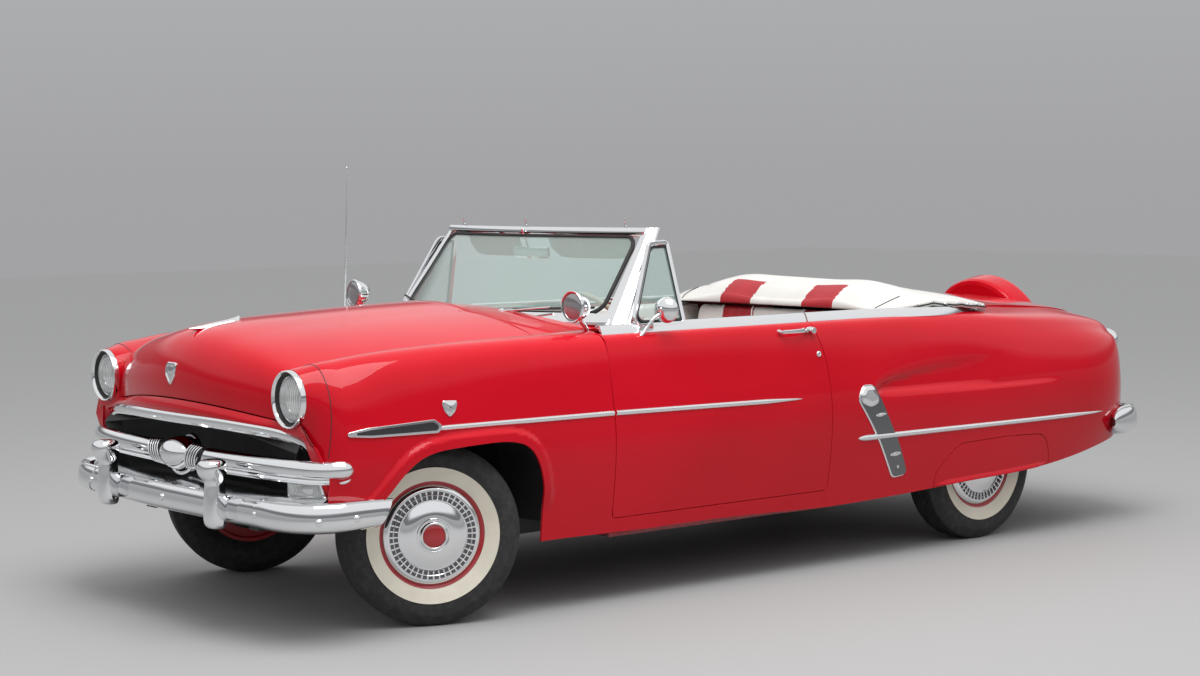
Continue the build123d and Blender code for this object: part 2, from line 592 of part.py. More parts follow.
# Floor pan: cabin floor with its tunnel, rockers, wheelhouses and trunk floor
SHEET = 12.0
LID_HINGE_X = DECK_FRONT_X - 20
TRUNK_FLOOR_Z = 540.0
HEEL_X = REAR_X + 330
HOUSE_RADIUS = 400.0
HOUSE_Y = REAR_TRACK / 2 - TYRE_WIDTH / 2 - 25
HOUSE_IN_Y = HOUSE_Y - 15
TRUNK_REAR_X = behind(0.787)
ROCKER_REAR_X = DOOR_REAR_X - PANEL_GAP + SEAL_GAP
LID_STOP_Z = DECK_Z - 60
ROCKER_IN = QUARTER[0].bottom_in
FLOOR_Y = POST_Y - 100
WALL_Y = CABIN_Y - 160
with BuildPart() as floor_pan:
    with BuildSketch(Plane.YZ.offset(HEEL_X)):
        with BuildLine():
            Polyline((-WALL_Y, FLOOR_Z), (-TUNNEL_Y, FLOOR_Z), (-TUNNEL_Y, TUNNEL_Z),
                     (TUNNEL_Y, TUNNEL_Z), (TUNNEL_Y, FLOOR_Z), (WALL_Y, FLOOR_Z),
                     (WALL_Y, FLOOR_Z - SHEET), (TUNNEL_Y - SHEET, FLOOR_Z - SHEET),
                     (TUNNEL_Y - SHEET, TUNNEL_Z - SHEET), (SHEET - TUNNEL_Y, TUNNEL_Z - SHEET),
                     (SHEET - TUNNEL_Y, FLOOR_Z - SHEET), (-WALL_Y, FLOOR_Z - SHEET), close=True)
        make_face()
    extrude(amount=TOE_X - HEEL_X)
    # Rockers, one below each door, with the lip that the door's seal meets
    for side in (1, -1):
        add(side_box(side, (ROCKER_REAR_X, WALL_Y, FLOOR_Z - SHEET), (TOE_X, FLOOR_Y + 1, FLOOR_Z)))
        add(side_box(side, (ROCKER_REAR_X, FLOOR_Y, SILL_Z),
                     (FENDER[-1].x - SEAL_GAP, HALF - ROCKER_IN, DOOR_BOTTOM_Z - PANEL_GAP)))
        add(side_box(side, (DOOR_REAR_X + 60, FLOOR_Y, DOOR_BOTTOM_Z - PANEL_GAP),
                     (DOOR_FRONT_X - 120, CABIN_Y - SEAL_GAP, DOOR_BOTTOM_Z + 50)))
    # Trunk floor and the bulkhead behind the rear seat
    add(box((TRUNK_REAR_X, -HOUSE_IN_Y, TRUNK_FLOOR_Z - SHEET), (HEEL_X, HOUSE_IN_Y, TRUNK_FLOOR_Z)))
    add(box((HEEL_X, -HOUSE_IN_Y, FLOOR_Z - SHEET), (HEEL_X + SHEET, HOUSE_IN_Y, TRUNK_FLOOR_Z)))
    add(box((HEEL_X, SHEET - TUNNEL_Y, FLOOR_Z - SHEET),
            (HEEL_X + SHEET, TUNNEL_Y - SHEET, TUNNEL_Z - SHEET)), mode=Mode.SUBTRACT)
    add(box((DECK_FRONT_X + 20, -HOUSE_IN_Y, TRUNK_FLOOR_Z),
            (DECK_FRONT_X + 20 + SHEET, HOUSE_IN_Y, LID_STOP_Z + 4)))
    # The stop that the trunk lid rests on, beside its hinge line
    add(box((LID_HINGE_X - 34, -STOP_Y, LID_STOP_Z), (DECK_FRONT_X + 21, STOP_Y, LID_STOP_Z + 16)))
    add(box((LID_HINGE_X - 34, -STOP_Y, LID_STOP_Z),
            (LID_HINGE_X - 8, STOP_Y, DECK_Z - SKIN - STOP_GAP)))
    add(box((DECK_FRONT_X + 20, -STOP_Y, LID_STOP_Z - 6),
            (DECK_FRONT_X + 20 + SHEET, STOP_Y, LID_STOP_Z + 16)))
    # Wheelhouses
    for side in (1, -1):
        with BuildSketch(Plane.XZ.offset(-side * HOUSE_IN_Y)):
            with Locations((REAR_X, AXLE_Z)):
                Circle(HOUSE_RADIUS)
        extrude(amount=-side * (HALF - 78 - HOUSE_IN_Y))
        with BuildSketch(Plane.XZ.offset(-side * HOUSE_Y)):
            with Locations((REAR_X, AXLE_Z)):
                Circle(HOUSE_RADIUS - SHEET)
        extrude(amount=-side * (HALF - HOUSE_Y), mode=Mode.SUBTRACT)
        add(side_box(side, (REAR_X - HOUSE_RADIUS - 1, HOUSE_IN_Y, AXLE_Z - HOUSE_RADIUS - 1),
                     (REAR_X + HOUSE_RADIUS + 1, HALF, AXLE_Z + 60)), mode=Mode.SUBTRACT)
keep("floor_pan", floor_pan)

# Chassis frame: two kicked-up rails with crossmembers
RAIL_WIDTH = 70.0
RAIL_TOP_Z = FLOOR_Z - SHEET
RAIL_DEPTH = 112.0
KICK_Z = TRUNK_FLOOR_Z - SHEET
KICK_DEPTH = 90.0
FRAME_FRONT_X = NOSE_X - 230
FRAME_REAR_X = behind(0.775)
rail_top = [(FRAME_FRONT_X, 455), (FRONT_X + 420, 455), (FRONT_X + 150, 430), (FRONT_X - 250, 430),
            (FRONT_X - 520, RAIL_TOP_Z), (HEEL_X - 6, RAIL_TOP_Z), (REAR_X + 160, KICK_Z),
            (behind(0.372), KICK_Z), (FRAME_REAR_X, KICK_Z)]
rail_bottom = [(x, z - (KICK_DEPTH if z > RAIL_TOP_Z else RAIL_DEPTH)) for x, z in rail_top[::-1]]
crossmember_x = (FRONT_X + 420, FRONT_X - 700, DOOR_REAR_X - 100, behind(0.372), FRAME_REAR_X + 60)
CROSSMEMBER_DEPTH = 50.0
with BuildPart() as chassis_frame:
    for side in (1, -1):
        with BuildSketch(Plane.XZ.offset(-side * RAIL_Y)):
            with BuildLine():
                Polyline(*rail_top, *rail_bottom, close=True)
            make_face()
        extrude(amount=RAIL_WIDTH / 2, both=True)
    for x, high in zip(crossmember_x, (420, RAIL_TOP_Z, RAIL_TOP_Z, KICK_Z, KICK_Z)):
        add(box((x - 40, -RAIL_Y, high - CROSSMEMBER_DEPTH), (x + 40, RAIL_Y, high)))
keep("chassis_frame", chassis_frame)

# Radiator, on the front crossmember behind the grille
with BuildPart() as radiator:
    add(box((FRONT_X + 395, -310, 420), (FRONT_X + 445, 310, 900)))
keep("radiator", radiator)

# Engine: one plain block with its gearbox, on the suspension crossmember
ENGINE_BOTTOM_Z = 432.0
ENGINE_REAR_X = FRONT_X - 280
ENGINE_Y = 280.0
GEARBOX_REAR_X = FRONT_X - 1000
GEARBOX_Y = TUNNEL_Y - 40
with BuildPart() as engine:
    add(box((ENGINE_REAR_X, -ENGINE_Y, ENGINE_BOTTOM_Z), (FRONT_X + 350, ENGINE_Y, 960)))
    add(box((GEARBOX_REAR_X, -GEARBOX_Y, RAIL_TOP_Z + SEAL_GAP),
            (ENGINE_REAR_X, GEARBOX_Y, TUNNEL_Z - SHEET - 6)))
    add(box((ENGINE_REAR_X - 200, -GEARBOX_Y, RAIL_TOP_Z + SEAL_GAP), (ENGINE_REAR_X, GEARBOX_Y, 640)))
keep("engine", engine)

# Front suspension: crossmember, two wishbones a side with kingpin bosses
KINGPIN_Y = FRONT_TRACK / 2 - KINGPIN_INSET
KINGPIN_RADIUS = 16.0
BOSS_RADIUS = 29.0
LOWER_ARM_Z = AXLE_Z - 105
UPPER_ARM_Z = AXLE_Z + 115
ARM_DEPTH = 30.0
RAIL_SIDE = RAIL_WIDTH / 2 + 1
with BuildPart() as front_suspension:
    add(box((FRONT_X - 70, RAIL_SIDE - RAIL_Y, 290),
            (FRONT_X + 70, RAIL_Y - RAIL_SIDE, ENGINE_BOTTOM_Z - SEAL_GAP)))
    for side in (1, -1):
        for z, reach in ((LOWER_ARM_Z, 110), (UPPER_ARM_Z, 70)):
            with BuildSketch(Plane.XY.offset(z)):
                with BuildLine():
                    Polyline((FRONT_X - reach, side * (RAIL_Y + RAIL_SIDE)),
                             (FRONT_X + reach, side * (RAIL_Y + RAIL_SIDE)),
                             (FRONT_X + 24, side * KINGPIN_Y), (FRONT_X - 24, side * KINGPIN_Y), close=True)
                make_face()
                with Locations((FRONT_X, side * KINGPIN_Y)):
                    Circle(BOSS_RADIUS)
                    Circle(KINGPIN_RADIUS + SPINDLE_CLEARANCE, mode=Mode.SUBTRACT)
            extrude(amount=ARM_DEPTH)
        # The towers that carry the arms beside each rail
        add(side_box(side, (FRONT_X - 110, RAIL_Y + RAIL_WIDTH / 2, LOWER_ARM_Z),
                     (FRONT_X + 110, RAIL_Y + RAIL_WIDTH / 2 + 25, UPPER_ARM_Z + ARM_DEPTH)))
keep("front_suspension", front_suspension)

# Knuckles: kingpin, backing plate and wheel spindle, parked with some steer
HUB_BACK = 60.0
SPINDLE_REACH = 40.0
PLATE_RADIUS = 150.0


def parked(shape, side):
    """Turn a front-wheel piece about its kingpin to the parked steering angle."""
    axis = Axis((FRONT_X, side * KINGPIN_Y, 0), (0, 0, 1))
    return shape.rotate(axis, PARK_STEER)


for side, name in ((1, "knuckle_left"), (-1, "knuckle_right")):
    hub_y = side * (FRONT_TRACK / 2 - HUB_BACK)
    end_y = side * (FRONT_TRACK / 2 + SPINDLE_REACH)
    shape = (rod((FRONT_X, side * KINGPIN_Y, LOWER_ARM_Z - 12),
                 (FRONT_X, side * KINGPIN_Y, UPPER_ARM_Z + ARM_DEPTH + 12), KINGPIN_RADIUS)
             + rod((FRONT_X, side * KINGPIN_Y, LOWER_ARM_Z + ARM_DEPTH + SEAL_GAP),
                   (FRONT_X, side * KINGPIN_Y, UPPER_ARM_Z - SEAL_GAP), 26)
             + rod((FRONT_X, side * KINGPIN_Y, AXLE_Z), (FRONT_X, hub_y, AXLE_Z), 30)
             + rod((FRONT_X, side * KINGPIN_Y, AXLE_Z), (FRONT_X, end_y, AXLE_Z), SPINDLE_RADIUS)
             + rod((FRONT_X, side * (KINGPIN_Y + 38), AXLE_Z), (FRONT_X, hub_y - side * 6, AXLE_Z),
                   PLATE_RADIUS))
    with BuildPart() as knuckle:
        add(parked(shape, side))
    keep(name, knuckle)

# Rear axle: tube, differential and spindles
AXLE_RADIUS = 36.0
DIFFERENTIAL_RADIUS = 118.0
with BuildPart() as rear_axle:
    hub_y = REAR_TRACK / 2 - HUB_BACK
    spindle_y = REAR_TRACK / 2 + SPINDLE_REACH
    add(rod((REAR_X, -hub_y, AXLE_Z), (REAR_X, hub_y, AXLE_Z), AXLE_RADIUS))
    add(rod((REAR_X, -spindle_y, AXLE_Z), (REAR_X, spindle_y, AXLE_Z), SPINDLE_RADIUS))
    add(rod((REAR_X, -70, AXLE_Z), (REAR_X, 70, AXLE_Z), DIFFERENTIAL_RADIUS))
    for side in (1, -1):
        add(rod((REAR_X, side * (hub_y - 16), AXLE_Z), (REAR_X, side * (hub_y - 6), AXLE_Z), PLATE_RADIUS))
keep("rear_axle", rear_axle)

# Leaf springs, under the axle and beside the rails
SPRING_Y = RAIL_Y + RAIL_WIDTH / 2 + SEAL_GAP + 30
SPRING_DEPTH = 34.0
SPRING_TOP_Z = AXLE_Z - AXLE_RADIUS - SEAL_GAP
spring_eyes = ((REAR_X + 600, 296), (REAR_X - 640, 350))
with BuildPart() as leaf_springs:
    for side in (1, -1):
        (eye_x, eye_z), (shackle_x, shackle_z) = spring_eyes
        with BuildSketch(Plane.XZ.offset(-side * SPRING_Y)):
            with BuildLine():
                ThreePointArc((eye_x, eye_z), (REAR_X, SPRING_TOP_Z - SPRING_DEPTH), (shackle_x, shackle_z))
                Line((shackle_x, shackle_z), (shackle_x, shackle_z + SPRING_DEPTH))
                ThreePointArc((shackle_x, shackle_z + SPRING_DEPTH), (REAR_X, SPRING_TOP_Z),
                              (eye_x, eye_z + SPRING_DEPTH))
                Line((eye_x, eye_z + SPRING_DEPTH), (eye_x, eye_z))
            make_face()
        extrude(amount=30, both=True)
        # The shackle at the rear end reaches up beside the rail
        add(side_box(side, (shackle_x, SPRING_Y - 30, shackle_z + 2),
                     (shackle_x + 40, SPRING_Y - 10, KICK_Z - 20)))
keep("leaf_springs", leaf_springs)

# Driveshaft, from the gearbox to the differential
SHAFT_RADIUS = 36.0
with BuildPart() as driveshaft:
    add(rod((REAR_X + DIFFERENTIAL_RADIUS + SEAL_GAP, 0, AXLE_Z + 20),
            (GEARBOX_REAR_X - 5, 0, AXLE_Z + 63), SHAFT_RADIUS))
keep("driveshaft", driveshaft)

# Exhaust: a pipe under the floor with its silencer
EXHAUST_Y = -280.0
PIPE_Z = 262.0
PIPE_RADIUS = 25.0
SILENCER_RADIUS = 62.0
with BuildPart() as exhaust:
    with BuildLine() as exhaust_path:
        FilletPolyline((FRONT_X - 200, EXHAUST_Y, 405), (FRONT_X - 420, EXHAUST_Y, PIPE_Z),
                       (REAR_X + 300, EXHAUST_Y, PIPE_Z), (REAR_X + 130, EXHAUST_Y, 440),
                       (REAR_X - 160, EXHAUST_Y, 440), (behind(0.333), EXHAUST_Y, 340),
                       (behind(0.915), EXHAUST_Y, 340), radius=90)
    with BuildSketch(Plane(origin=exhaust_path.line @ 0, z_dir=exhaust_path.line % 0)):
        Circle(PIPE_RADIUS)
    sweep()
    add(rod((REAR_X + 480, EXHAUST_Y, PIPE_Z), (REAR_X + 900, EXHAUST_Y, PIPE_Z), SILENCER_RADIUS))
    # Hangers, below two of the crossmembers
    for x in crossmember_x[1:3]:
        add(box((x - 15, EXHAUST_Y - 18, PIPE_Z),
                (x + 15, EXHAUST_Y + 18, RAIL_TOP_Z - CROSSMEMBER_DEPTH - SEAL_GAP)))
keep("exhaust", exhaust)

# Fuel tank, under the trunk floor
with BuildPart() as fuel_tank:
    add(box((behind(0.697), -230, 370), (behind(0.411), 350, TRUNK_FLOOR_Z - SHEET)))
    add(chassis_frame.part, mode=Mode.SUBTRACT)
keep("fuel_tank", fuel_tank)

# Front bumper: a wrapped bright blade with two guards and its brackets
BUMPER_Z = 406.0
BUMPER_DEPTH = 110.0
BLADE = 16.0
BUMPER_FACE_X = NOSE_X - 72
REAR_FACE_X = TAIL_X + 50
GUARD_Y = 420.0
GUARD_WIDTH = 88.0
BRACKET_WIDTH = 60.0
# Each line's left half: how far in from the face, and how far in from the body's side
FRONT_OUTER = [(42, 163.5), (112, 53.5), (230, 4), (390, 0)]
FRONT_INNER = [(58, 171.5), (124, 65.5), (232, BLADE + 4), (390, BLADE)]
REAR_OUTER = [(70, 183.5), (160, 63.5), (320, 4), (450, 0)]
REAR_INNER = [(86, 191.5), (172, 75.5), (322, BLADE + 4), (450, BLADE)]


def blade_plan(face_x, inward_x, outer, inner):
    """The plan of a bumper's blade: a bowed face with ends that wrap round the body."""
    def place(point, side):
        return face_x + inward_x * point[0], side * (HALF - point[1])

    with BuildLine() as plan:
        for (corner, bend, wrap, end), middle in ((outer, 0), (inner, BLADE)):
            ThreePointArc(place(corner, -1), (face_x + inward_x * middle, 0), place(corner, 1))
            for side in (1, -1):
                ThreePointArc(place(corner, side), place(bend, side), place(wrap, side))
                Line(place(wrap, side), place(end, side))
        for side in (1, -1):
            Line(place(outer[-1], side), place(inner[-1], side))
    return plan.line


with BuildPart() as front_bumper:
    with BuildSketch(Plane.XY.offset(BUMPER_Z)):
        add(blade_plan(BUMPER_FACE_X, -1, FRONT_OUTER, FRONT_INNER))
        make_face()
    extrude(amount=BUMPER_DEPTH)
    for side in (1, -1):
        add(box((BUMPER_FACE_X - 20, side * GUARD_Y - GUARD_WIDTH / 2, BUMPER_Z - 16),
                (NOSE_X, side * GUARD_Y + GUARD_WIDTH / 2, 645)))
        add(box((FRAME_FRONT_X + SEAL_GAP, side * RAIL_Y - BRACKET_WIDTH / 2, BUMPER_Z + 10),
                (BUMPER_FACE_X - 6, side * RAIL_Y + BRACKET_WIDTH / 2, BUMPER_Z + 44)))
keep("front_bumper", front_bumper)

# Rear bumper: the same blade across the tail, with two lower guards
with BuildPart() as rear_bumper:
    with BuildSketch(Plane.XY.offset(BUMPER_Z)):
        add(blade_plan(REAR_FACE_X, 1, REAR_OUTER, REAR_INNER))
        make_face()
    extrude(amount=BUMPER_DEPTH)
    for side in (1, -1):
        add(box((TAIL_X, side * GUARD_Y - GUARD_WIDTH / 2, BUMPER_Z - 10),
                (REAR_FACE_X + 24, side * GUARD_Y + GUARD_WIDTH / 2, 560)))
        add(box((REAR_FACE_X + 10, side * RAIL_Y - BRACKET_WIDTH / 2, BRACKET_LOW_Z),
                (FRAME_REAR_X - SEAL_GAP, side * RAIL_Y + BRACKET_WIDTH / 2, BRACKET_TOP_Z)))
    # The two holes that a licence plate bolts to
    with BuildSketch(Plane.YZ.offset(TAIL_X)):
        with Locations((-PLATE_SPACING / 2, BUMPER_Z + 80), (PLATE_SPACING / 2, BUMPER_Z + 80)):
            Circle(PLATE_HOLE_RADIUS)
    extrude(amount=200, mode=Mode.SUBTRACT)
keep("rear_bumper", rear_bumper)

# Grille: the upper moulding, the floating bar with its bullet, and parking lamps
MOULDING_RADIUS = 15.0
BULLET_RADIUS = 84.0
PARKING_LAMP_Z = 526.0
with BuildPart() as grille:
    with BuildLine() as moulding_path:
        ThreePointArc((FENDER[0].x + 17, -GRILLE_END_Y, GRILLE_END_Z - 4),
                      (HOOD[0].centre_x + 10, 0, GRILLE_TOP_Z - 17),
                      (FENDER[0].x + 17, GRILLE_END_Y, GRILLE_END_Z - 4))
    with BuildSketch(Plane(origin=moulding_path.line @ 0, z_dir=moulding_path.line % 0)):
        Circle(MOULDING_RADIUS)
    sweep()
    with BuildLine() as bar_path:
        ThreePointArc((BAR_CORNER_X, -GRILLE_END_Y, BAR_Z), (HOOD[0].centre_x - 22, 0, BAR_Z),
                      (BAR_CORNER_X, GRILLE_END_Y, BAR_Z))
    with BuildSketch(Plane(origin=bar_path.line @ 0, z_dir=bar_path.line % 0)):
        Circle(BAR_RADIUS)
    sweep()
    add(rod((HOOD[0].centre_x - 40, 0, BAR_Z), (HOOD[0].centre_x + 4, 0, BAR_Z), BULLET_RADIUS))
    for side in (1, -1):
        add(Pos(BAR_CORNER_X, side * GRILLE_END_Y, BAR_Z) * Sphere(BAR_RADIUS, mode=Mode.PRIVATE))
        add(rod((BAR_CORNER_X, side * GRILLE_END_Y, BAR_Z),
                (FRONT_X + 510, side * (HALF - 62), BAR_Z), BAR_RADIUS - 6))
        add(side_box(side, (FENDER[0].x - 10, GRILLE_END_Y - 112, PARKING_LAMP_Z),
                     (FENDER[0].x + 30, GRILLE_END_Y - 8, BAR_Z - BAR_RADIUS + 4)))
keep("grille", grille)

# Headlamps: a bright ring, a shell behind it and a domed lens in front
LAMP_RING_X = FENDER[0].x + 22
LENS_RADIUS = 88.0
LENS_RISE = 20.0
LENS_SPHERE = (LENS_RADIUS ** 2 + LENS_RISE ** 2) / (2 * LENS_RISE)
LENS_MID_RISE = LENS_RISE - LENS_SPHERE + math.sqrt(LENS_SPHERE ** 2 - LENS_RADIUS ** 2 / 4)
with BuildPart() as headlamps:
    with BuildSketch(Plane.XZ):
        with BuildLine():
            Polyline((FENDER[0].x - 90, 0), (FENDER[0].x - 90, 40), (FENDER[0].x - 50, 84),
                     (FENDER[0].x + 0.3, LAMP_RADIUS - 2), (FENDER[0].x + 0.3, LAMP_RADIUS + 6),
                     (LAMP_RING_X, LAMP_RADIUS), (LAMP_RING_X, LENS_RADIUS))
            ThreePointArc((LAMP_RING_X, LENS_RADIUS), (LAMP_RING_X + LENS_MID_RISE, LENS_RADIUS / 2),
                          (LAMP_RING_X + LENS_RISE, 0))
            Line((LAMP_RING_X + LENS_RISE, 0), (FENDER[0].x - 90, 0))
        make_face()
    revolve(axis=Axis.X)
lamp_shape = headlamps.part
with BuildPart() as headlamps:
    for side in (1, -1):
        add(Pos(0, side * LAMP_Y, LAMP_Z) * lamp_shape)
keep("headlamps", headlamps)

# Tail lamps: round, in the rear faces of the quarter panels
TAIL_LAMP_Y = HALF - 311.5
TAIL_LAMP_Z = 800.0
TAIL_LAMP_RADIUS = 56.0
with BuildPart() as tail_lamps:
    for side in (1, -1):
        add(rod((QUARTER[-1].x - SEAL_GAP, side * TAIL_LAMP_Y, TAIL_LAMP_Z),
                (QUARTER[-1].x - 52, side * TAIL_LAMP_Y, TAIL_LAMP_Z), TAIL_LAMP_RADIUS))
keep("tail_lamps", tail_lamps)

# Spot lamps: one on each windshield pillar, on a bent arm
SPOT_X = DOOR_FRONT_X + 55
SPOT_Y = HALF - 173.5
SPOT_Z = BELT_Z + 105
SPOT_FOOT_Z = BELT_Z + 5
SPOT_RADIUS = 62.0
with BuildPart() as spot_lamps:
    for side in (1, -1):
        add(rod((SPOT_X - 40, side * SPOT_Y, SPOT_Z), (SPOT_X + 40, side * SPOT_Y, SPOT_Z), SPOT_RADIUS))
        add(rod((SPOT_X - 20, side * SPOT_Y, SPOT_Z),
                (SPOT_X - 60, side * (SHIELD_BASE_Y + 16), SPOT_FOOT_Z), 9))
    add(windshield_frame.part, mode=Mode.SUBTRACT)
    add(cowl.part, mode=Mode.SUBTRACT)
keep("spot_lamps", spot_lamps)

# Antenna: a thin whip on the right front fender
ANTENNA_X = DOOR_FRONT_X + 152
ANTENNA_Y = 193.5 - HALF
ANTENNA_FOOT_Z = BELT_Z - 6
ANTENNA_TOP_Z = 1700.0
with BuildPart() as antenna:
    add(rod((ANTENNA_X, ANTENNA_Y, ANTENNA_FOOT_Z), (ANTENNA_X, ANTENNA_Y, ANTENNA_FOOT_Z + 55), 14))
    add(rod((ANTENNA_X, ANTENNA_Y, ANTENNA_FOOT_Z + 50),
            (ANTENNA_X - 30, ANTENNA_Y - 10, ANTENNA_TOP_Z), 3))
    add(front_fenders.part, mode=Mode.SUBTRACT)
keep("antenna", antenna)

# Dashboard: a padded beam under the windshield with a hooded panel
DASH_REAR_X = DOOR_FRONT_X - 190
DASH_Y = HALF - 268.5
with BuildPart() as dashboard:
    with BuildSketch(Plane.XZ.offset(-DASH_Y)):
        with BuildLine():
            Polyline((COWL_REAR_X - 20, 978), (COWL_REAR_X - 20, 1048), (DOOR_FRONT_X - 90, 1052),
                     (DASH_REAR_X, 1010), (DASH_REAR_X + 10, 930), (DASH_REAR_X + 30, 900),
                     (DASH_REAR_X + 100, 900), (DASH_REAR_X + 120, 960), close=True)
        make_face()
    extrude(amount=2 * DASH_Y)
    add(windshield_frame.part, mode=Mode.SUBTRACT)
    add(cowl.part, mode=Mode.SUBTRACT)
keep("dashboard", dashboard)

# Steering column and wheel, on the left
STEER_Y = 380.0
STEER_RAKE = 30.0
STEER_HUB = (DOOR_FRONT_X - 370, STEER_Y, 985.0)
STEER_RADIUS = 216.0
STEER_RIM = 12.0
rake = math.radians(STEER_RAKE)
steer_axis = Vector(-math.cos(rake), 0, math.sin(rake))
steer_plane = Plane(origin=STEER_HUB, x_dir=(0, -1, 0), z_dir=steer_axis)


def along_column(distance):
    """A point on the steering column, measured down from the wheel's hub."""
    return tuple(Vector(*STEER_HUB) - steer_axis * distance)


with BuildPart() as steering_column:
    add(rod(along_column(50), along_column(620), 26))
    add(rod(along_column(14), along_column(60), SPINDLE_RADIUS - 6))
    add(dashboard.part, mode=Mode.SUBTRACT)
    add(cowl.part, mode=Mode.SUBTRACT)
keep("steering_column", steering_column)

with BuildPart() as steering_wheel:
    with BuildSketch(Plane.XZ):
        with Locations((STEER_RADIUS, 0)):
            Circle(STEER_RIM)
    revolve(axis=Axis.Z)
    for turn in (0, 120, 240):
        add(Rot(0, 0, turn) * rod((0, 20, -8), (0, STEER_RADIUS, 0), 9))
    with BuildSketch(Plane.XY.offset(-40)):
        Circle(34)
        Circle(SPINDLE_RADIUS - 6 + SPINDLE_CLEARANCE, mode=Mode.SUBTRACT)
    extrude(amount=28)
    with BuildSketch(Plane.XY.offset(-12)):
        Circle(40)
    extrude(amount=22)
with BuildPart() as steering_wheel_placed:
    add(steer_plane * steering_wheel.part)
keep("steering_wheel", steering_wheel_placed)

# Wheels: a drum, disc and rim in one, with a bright cover, and the tyre on it
COVER_RADIUS = 200.0
TYRE_GAP = 0.3


def wheel_shape():
    """A wheel about the Y axis, its outer face towards +Y, bored for its spindle."""
    half_rim = RIM_WIDTH / 2
    with BuildPart() as shape:
        with BuildSketch(Plane.XY):
            with BuildLine():
                Polyline((SPINDLE_RADIUS + SPINDLE_CLEARANCE, -HUB_BACK + 6), (130, -HUB_BACK + 6),
                         (130, 0), (160, 0), (160, -half_rim), (RIM_FLANGE, -half_rim),
                         (RIM_FLANGE, -half_rim + 6), (RIM_RADIUS, -half_rim + 12),
                         (RIM_RADIUS, half_rim - 12), (RIM_FLANGE, half_rim - 6),
                         (RIM_FLANGE, half_rim), (COVER_RADIUS, half_rim),
                         (COVER_RADIUS - 8, half_rim + 8), (150, half_rim + 2),
                         (100, half_rim + 16), (48, half_rim + 20), (42, half_rim + COVER_DEPTH),
                         (0, half_rim + COVER_DEPTH), (0, half_rim - 14),
                         (SPINDLE_RADIUS + SPINDLE_CLEARANCE, half_rim - 14), close=True)
            make_face()
        revolve(axis=Axis.Y)
    return shape.part


def tyre_shape():
    """A tyre about the Y axis: flat tread, round shoulders, full sidewalls."""
    half_rim, half_tyre, half_tread = RIM_WIDTH / 2, TYRE_WIDTH / 2, TREAD_WIDTH / 2
    bead = RIM_RADIUS + TYRE_GAP
    with BuildPart() as shape:
        with BuildSketch(Plane.XY):
            with BuildLine():
                Line((bead, 12.5 - half_rim), (bead, half_rim - 12.5))
                Line((bead, half_rim - 12.5), (RIM_FLANGE + TYRE_GAP, half_rim - 6.5))
                Line((RIM_FLANGE + TYRE_GAP, half_rim - 6.5), (RIM_FLANGE + 8, half_rim + 6))
                ThreePointArc((RIM_FLANGE + 8, half_rim + 6), (278, half_tyre),
                              (TYRE_RADIUS - 22, half_tread + 8))
                ThreePointArc((TYRE_RADIUS - 22, half_tread + 8), (TYRE_RADIUS - 8, half_tread),
                              (TYRE_RADIUS, half_tread - 14))
                Line((TYRE_RADIUS, half_tread - 14), (TYRE_RADIUS, 14 - half_tread))
                ThreePointArc((TYRE_RADIUS, 14 - half_tread), (TYRE_RADIUS - 8, -half_tread),
                              (TYRE_RADIUS - 22, -half_tread - 8))
                ThreePointArc((TYRE_RADIUS - 22, -half_tread - 8), (278, -half_tyre),
                              (RIM_FLANGE + 8, -half_rim - 6))
                Line((RIM_FLANGE + 8, -half_rim - 6), (RIM_FLANGE + TYRE_GAP, 6.5 - half_rim))
                Line((RIM_FLANGE + TYRE_GAP, 6.5 - half_rim), (bead, 12.5 - half_rim))
            make_face()
        revolve(axis=Axis.Y)
    return shape.part


wheel, tyre = wheel_shape(), tyre_shape()
for name, x, track, side in (("front_left", FRONT_X, FRONT_TRACK, 1),
                             ("front_right", FRONT_X, FRONT_TRACK, -1),
                             ("rear_left", REAR_X, REAR_TRACK, 1),
                             ("rear_right", REAR_X, REAR_TRACK, -1)):
    for kind, shape in (("wheel", wheel), ("tyre", tyre)):
        placed = Pos(x, side * track / 2, AXLE_Z) * (shape if side > 0 else Rot(0, 0, 180) * shape)
        if x == FRONT_X:
            placed = parked(placed, side)
        with BuildPart() as corner:
            add(placed)
        keep(f"{kind}_{name}", corner)

# Seats: plain bench cushions and backs
FRONT_SEAT_X = DOOR_FRONT_X - 480
REAR_SEAT_X = DOOR_REAR_X - 110
FRONT_SEAT_Y = CABIN_Y - 95
REAR_SEAT_Y = WALL_Y - 63.5


def bench(front_x, half_y, floor, depth, back_top):
    """A bench seat's cushion and leaning back, for one row of the cabin."""
    with BuildPart() as seat:
        with BuildSketch(Plane.XZ.offset(-half_y)):
            with BuildLine():
                Polyline((front_x, floor), (front_x + 10, floor + 120), (front_x - 20, floor + 160),
                         (front_x - depth, floor + 140), (front_x - depth, floor), close=True)
            make_face()
        extrude(amount=2 * half_y)
        with BuildSketch(Plane.XZ.offset(-half_y)):
            with BuildLine():
                Polyline((front_x - depth + 30, floor + 142), (front_x - depth - 66, back_top),
                         (front_x - depth - 130, back_top - 10), (front_x - depth - 100, floor),
                         (front_x - depth - 0.3, floor), (front_x - depth - 0.3, floor + 142), close=True)
            make_face()
        extrude(amount=2 * half_y)
    return seat


keep("front_seat", bench(FRONT_SEAT_X, FRONT_SEAT_Y, TUNNEL_Z + SEAL_GAP, 440, BELT_Z - 6))
keep("rear_seat", bench(REAR_SEAT_X, REAR_SEAT_Y, TUNNEL_Z + SEAL_GAP, 430, BELT_Z + 4))

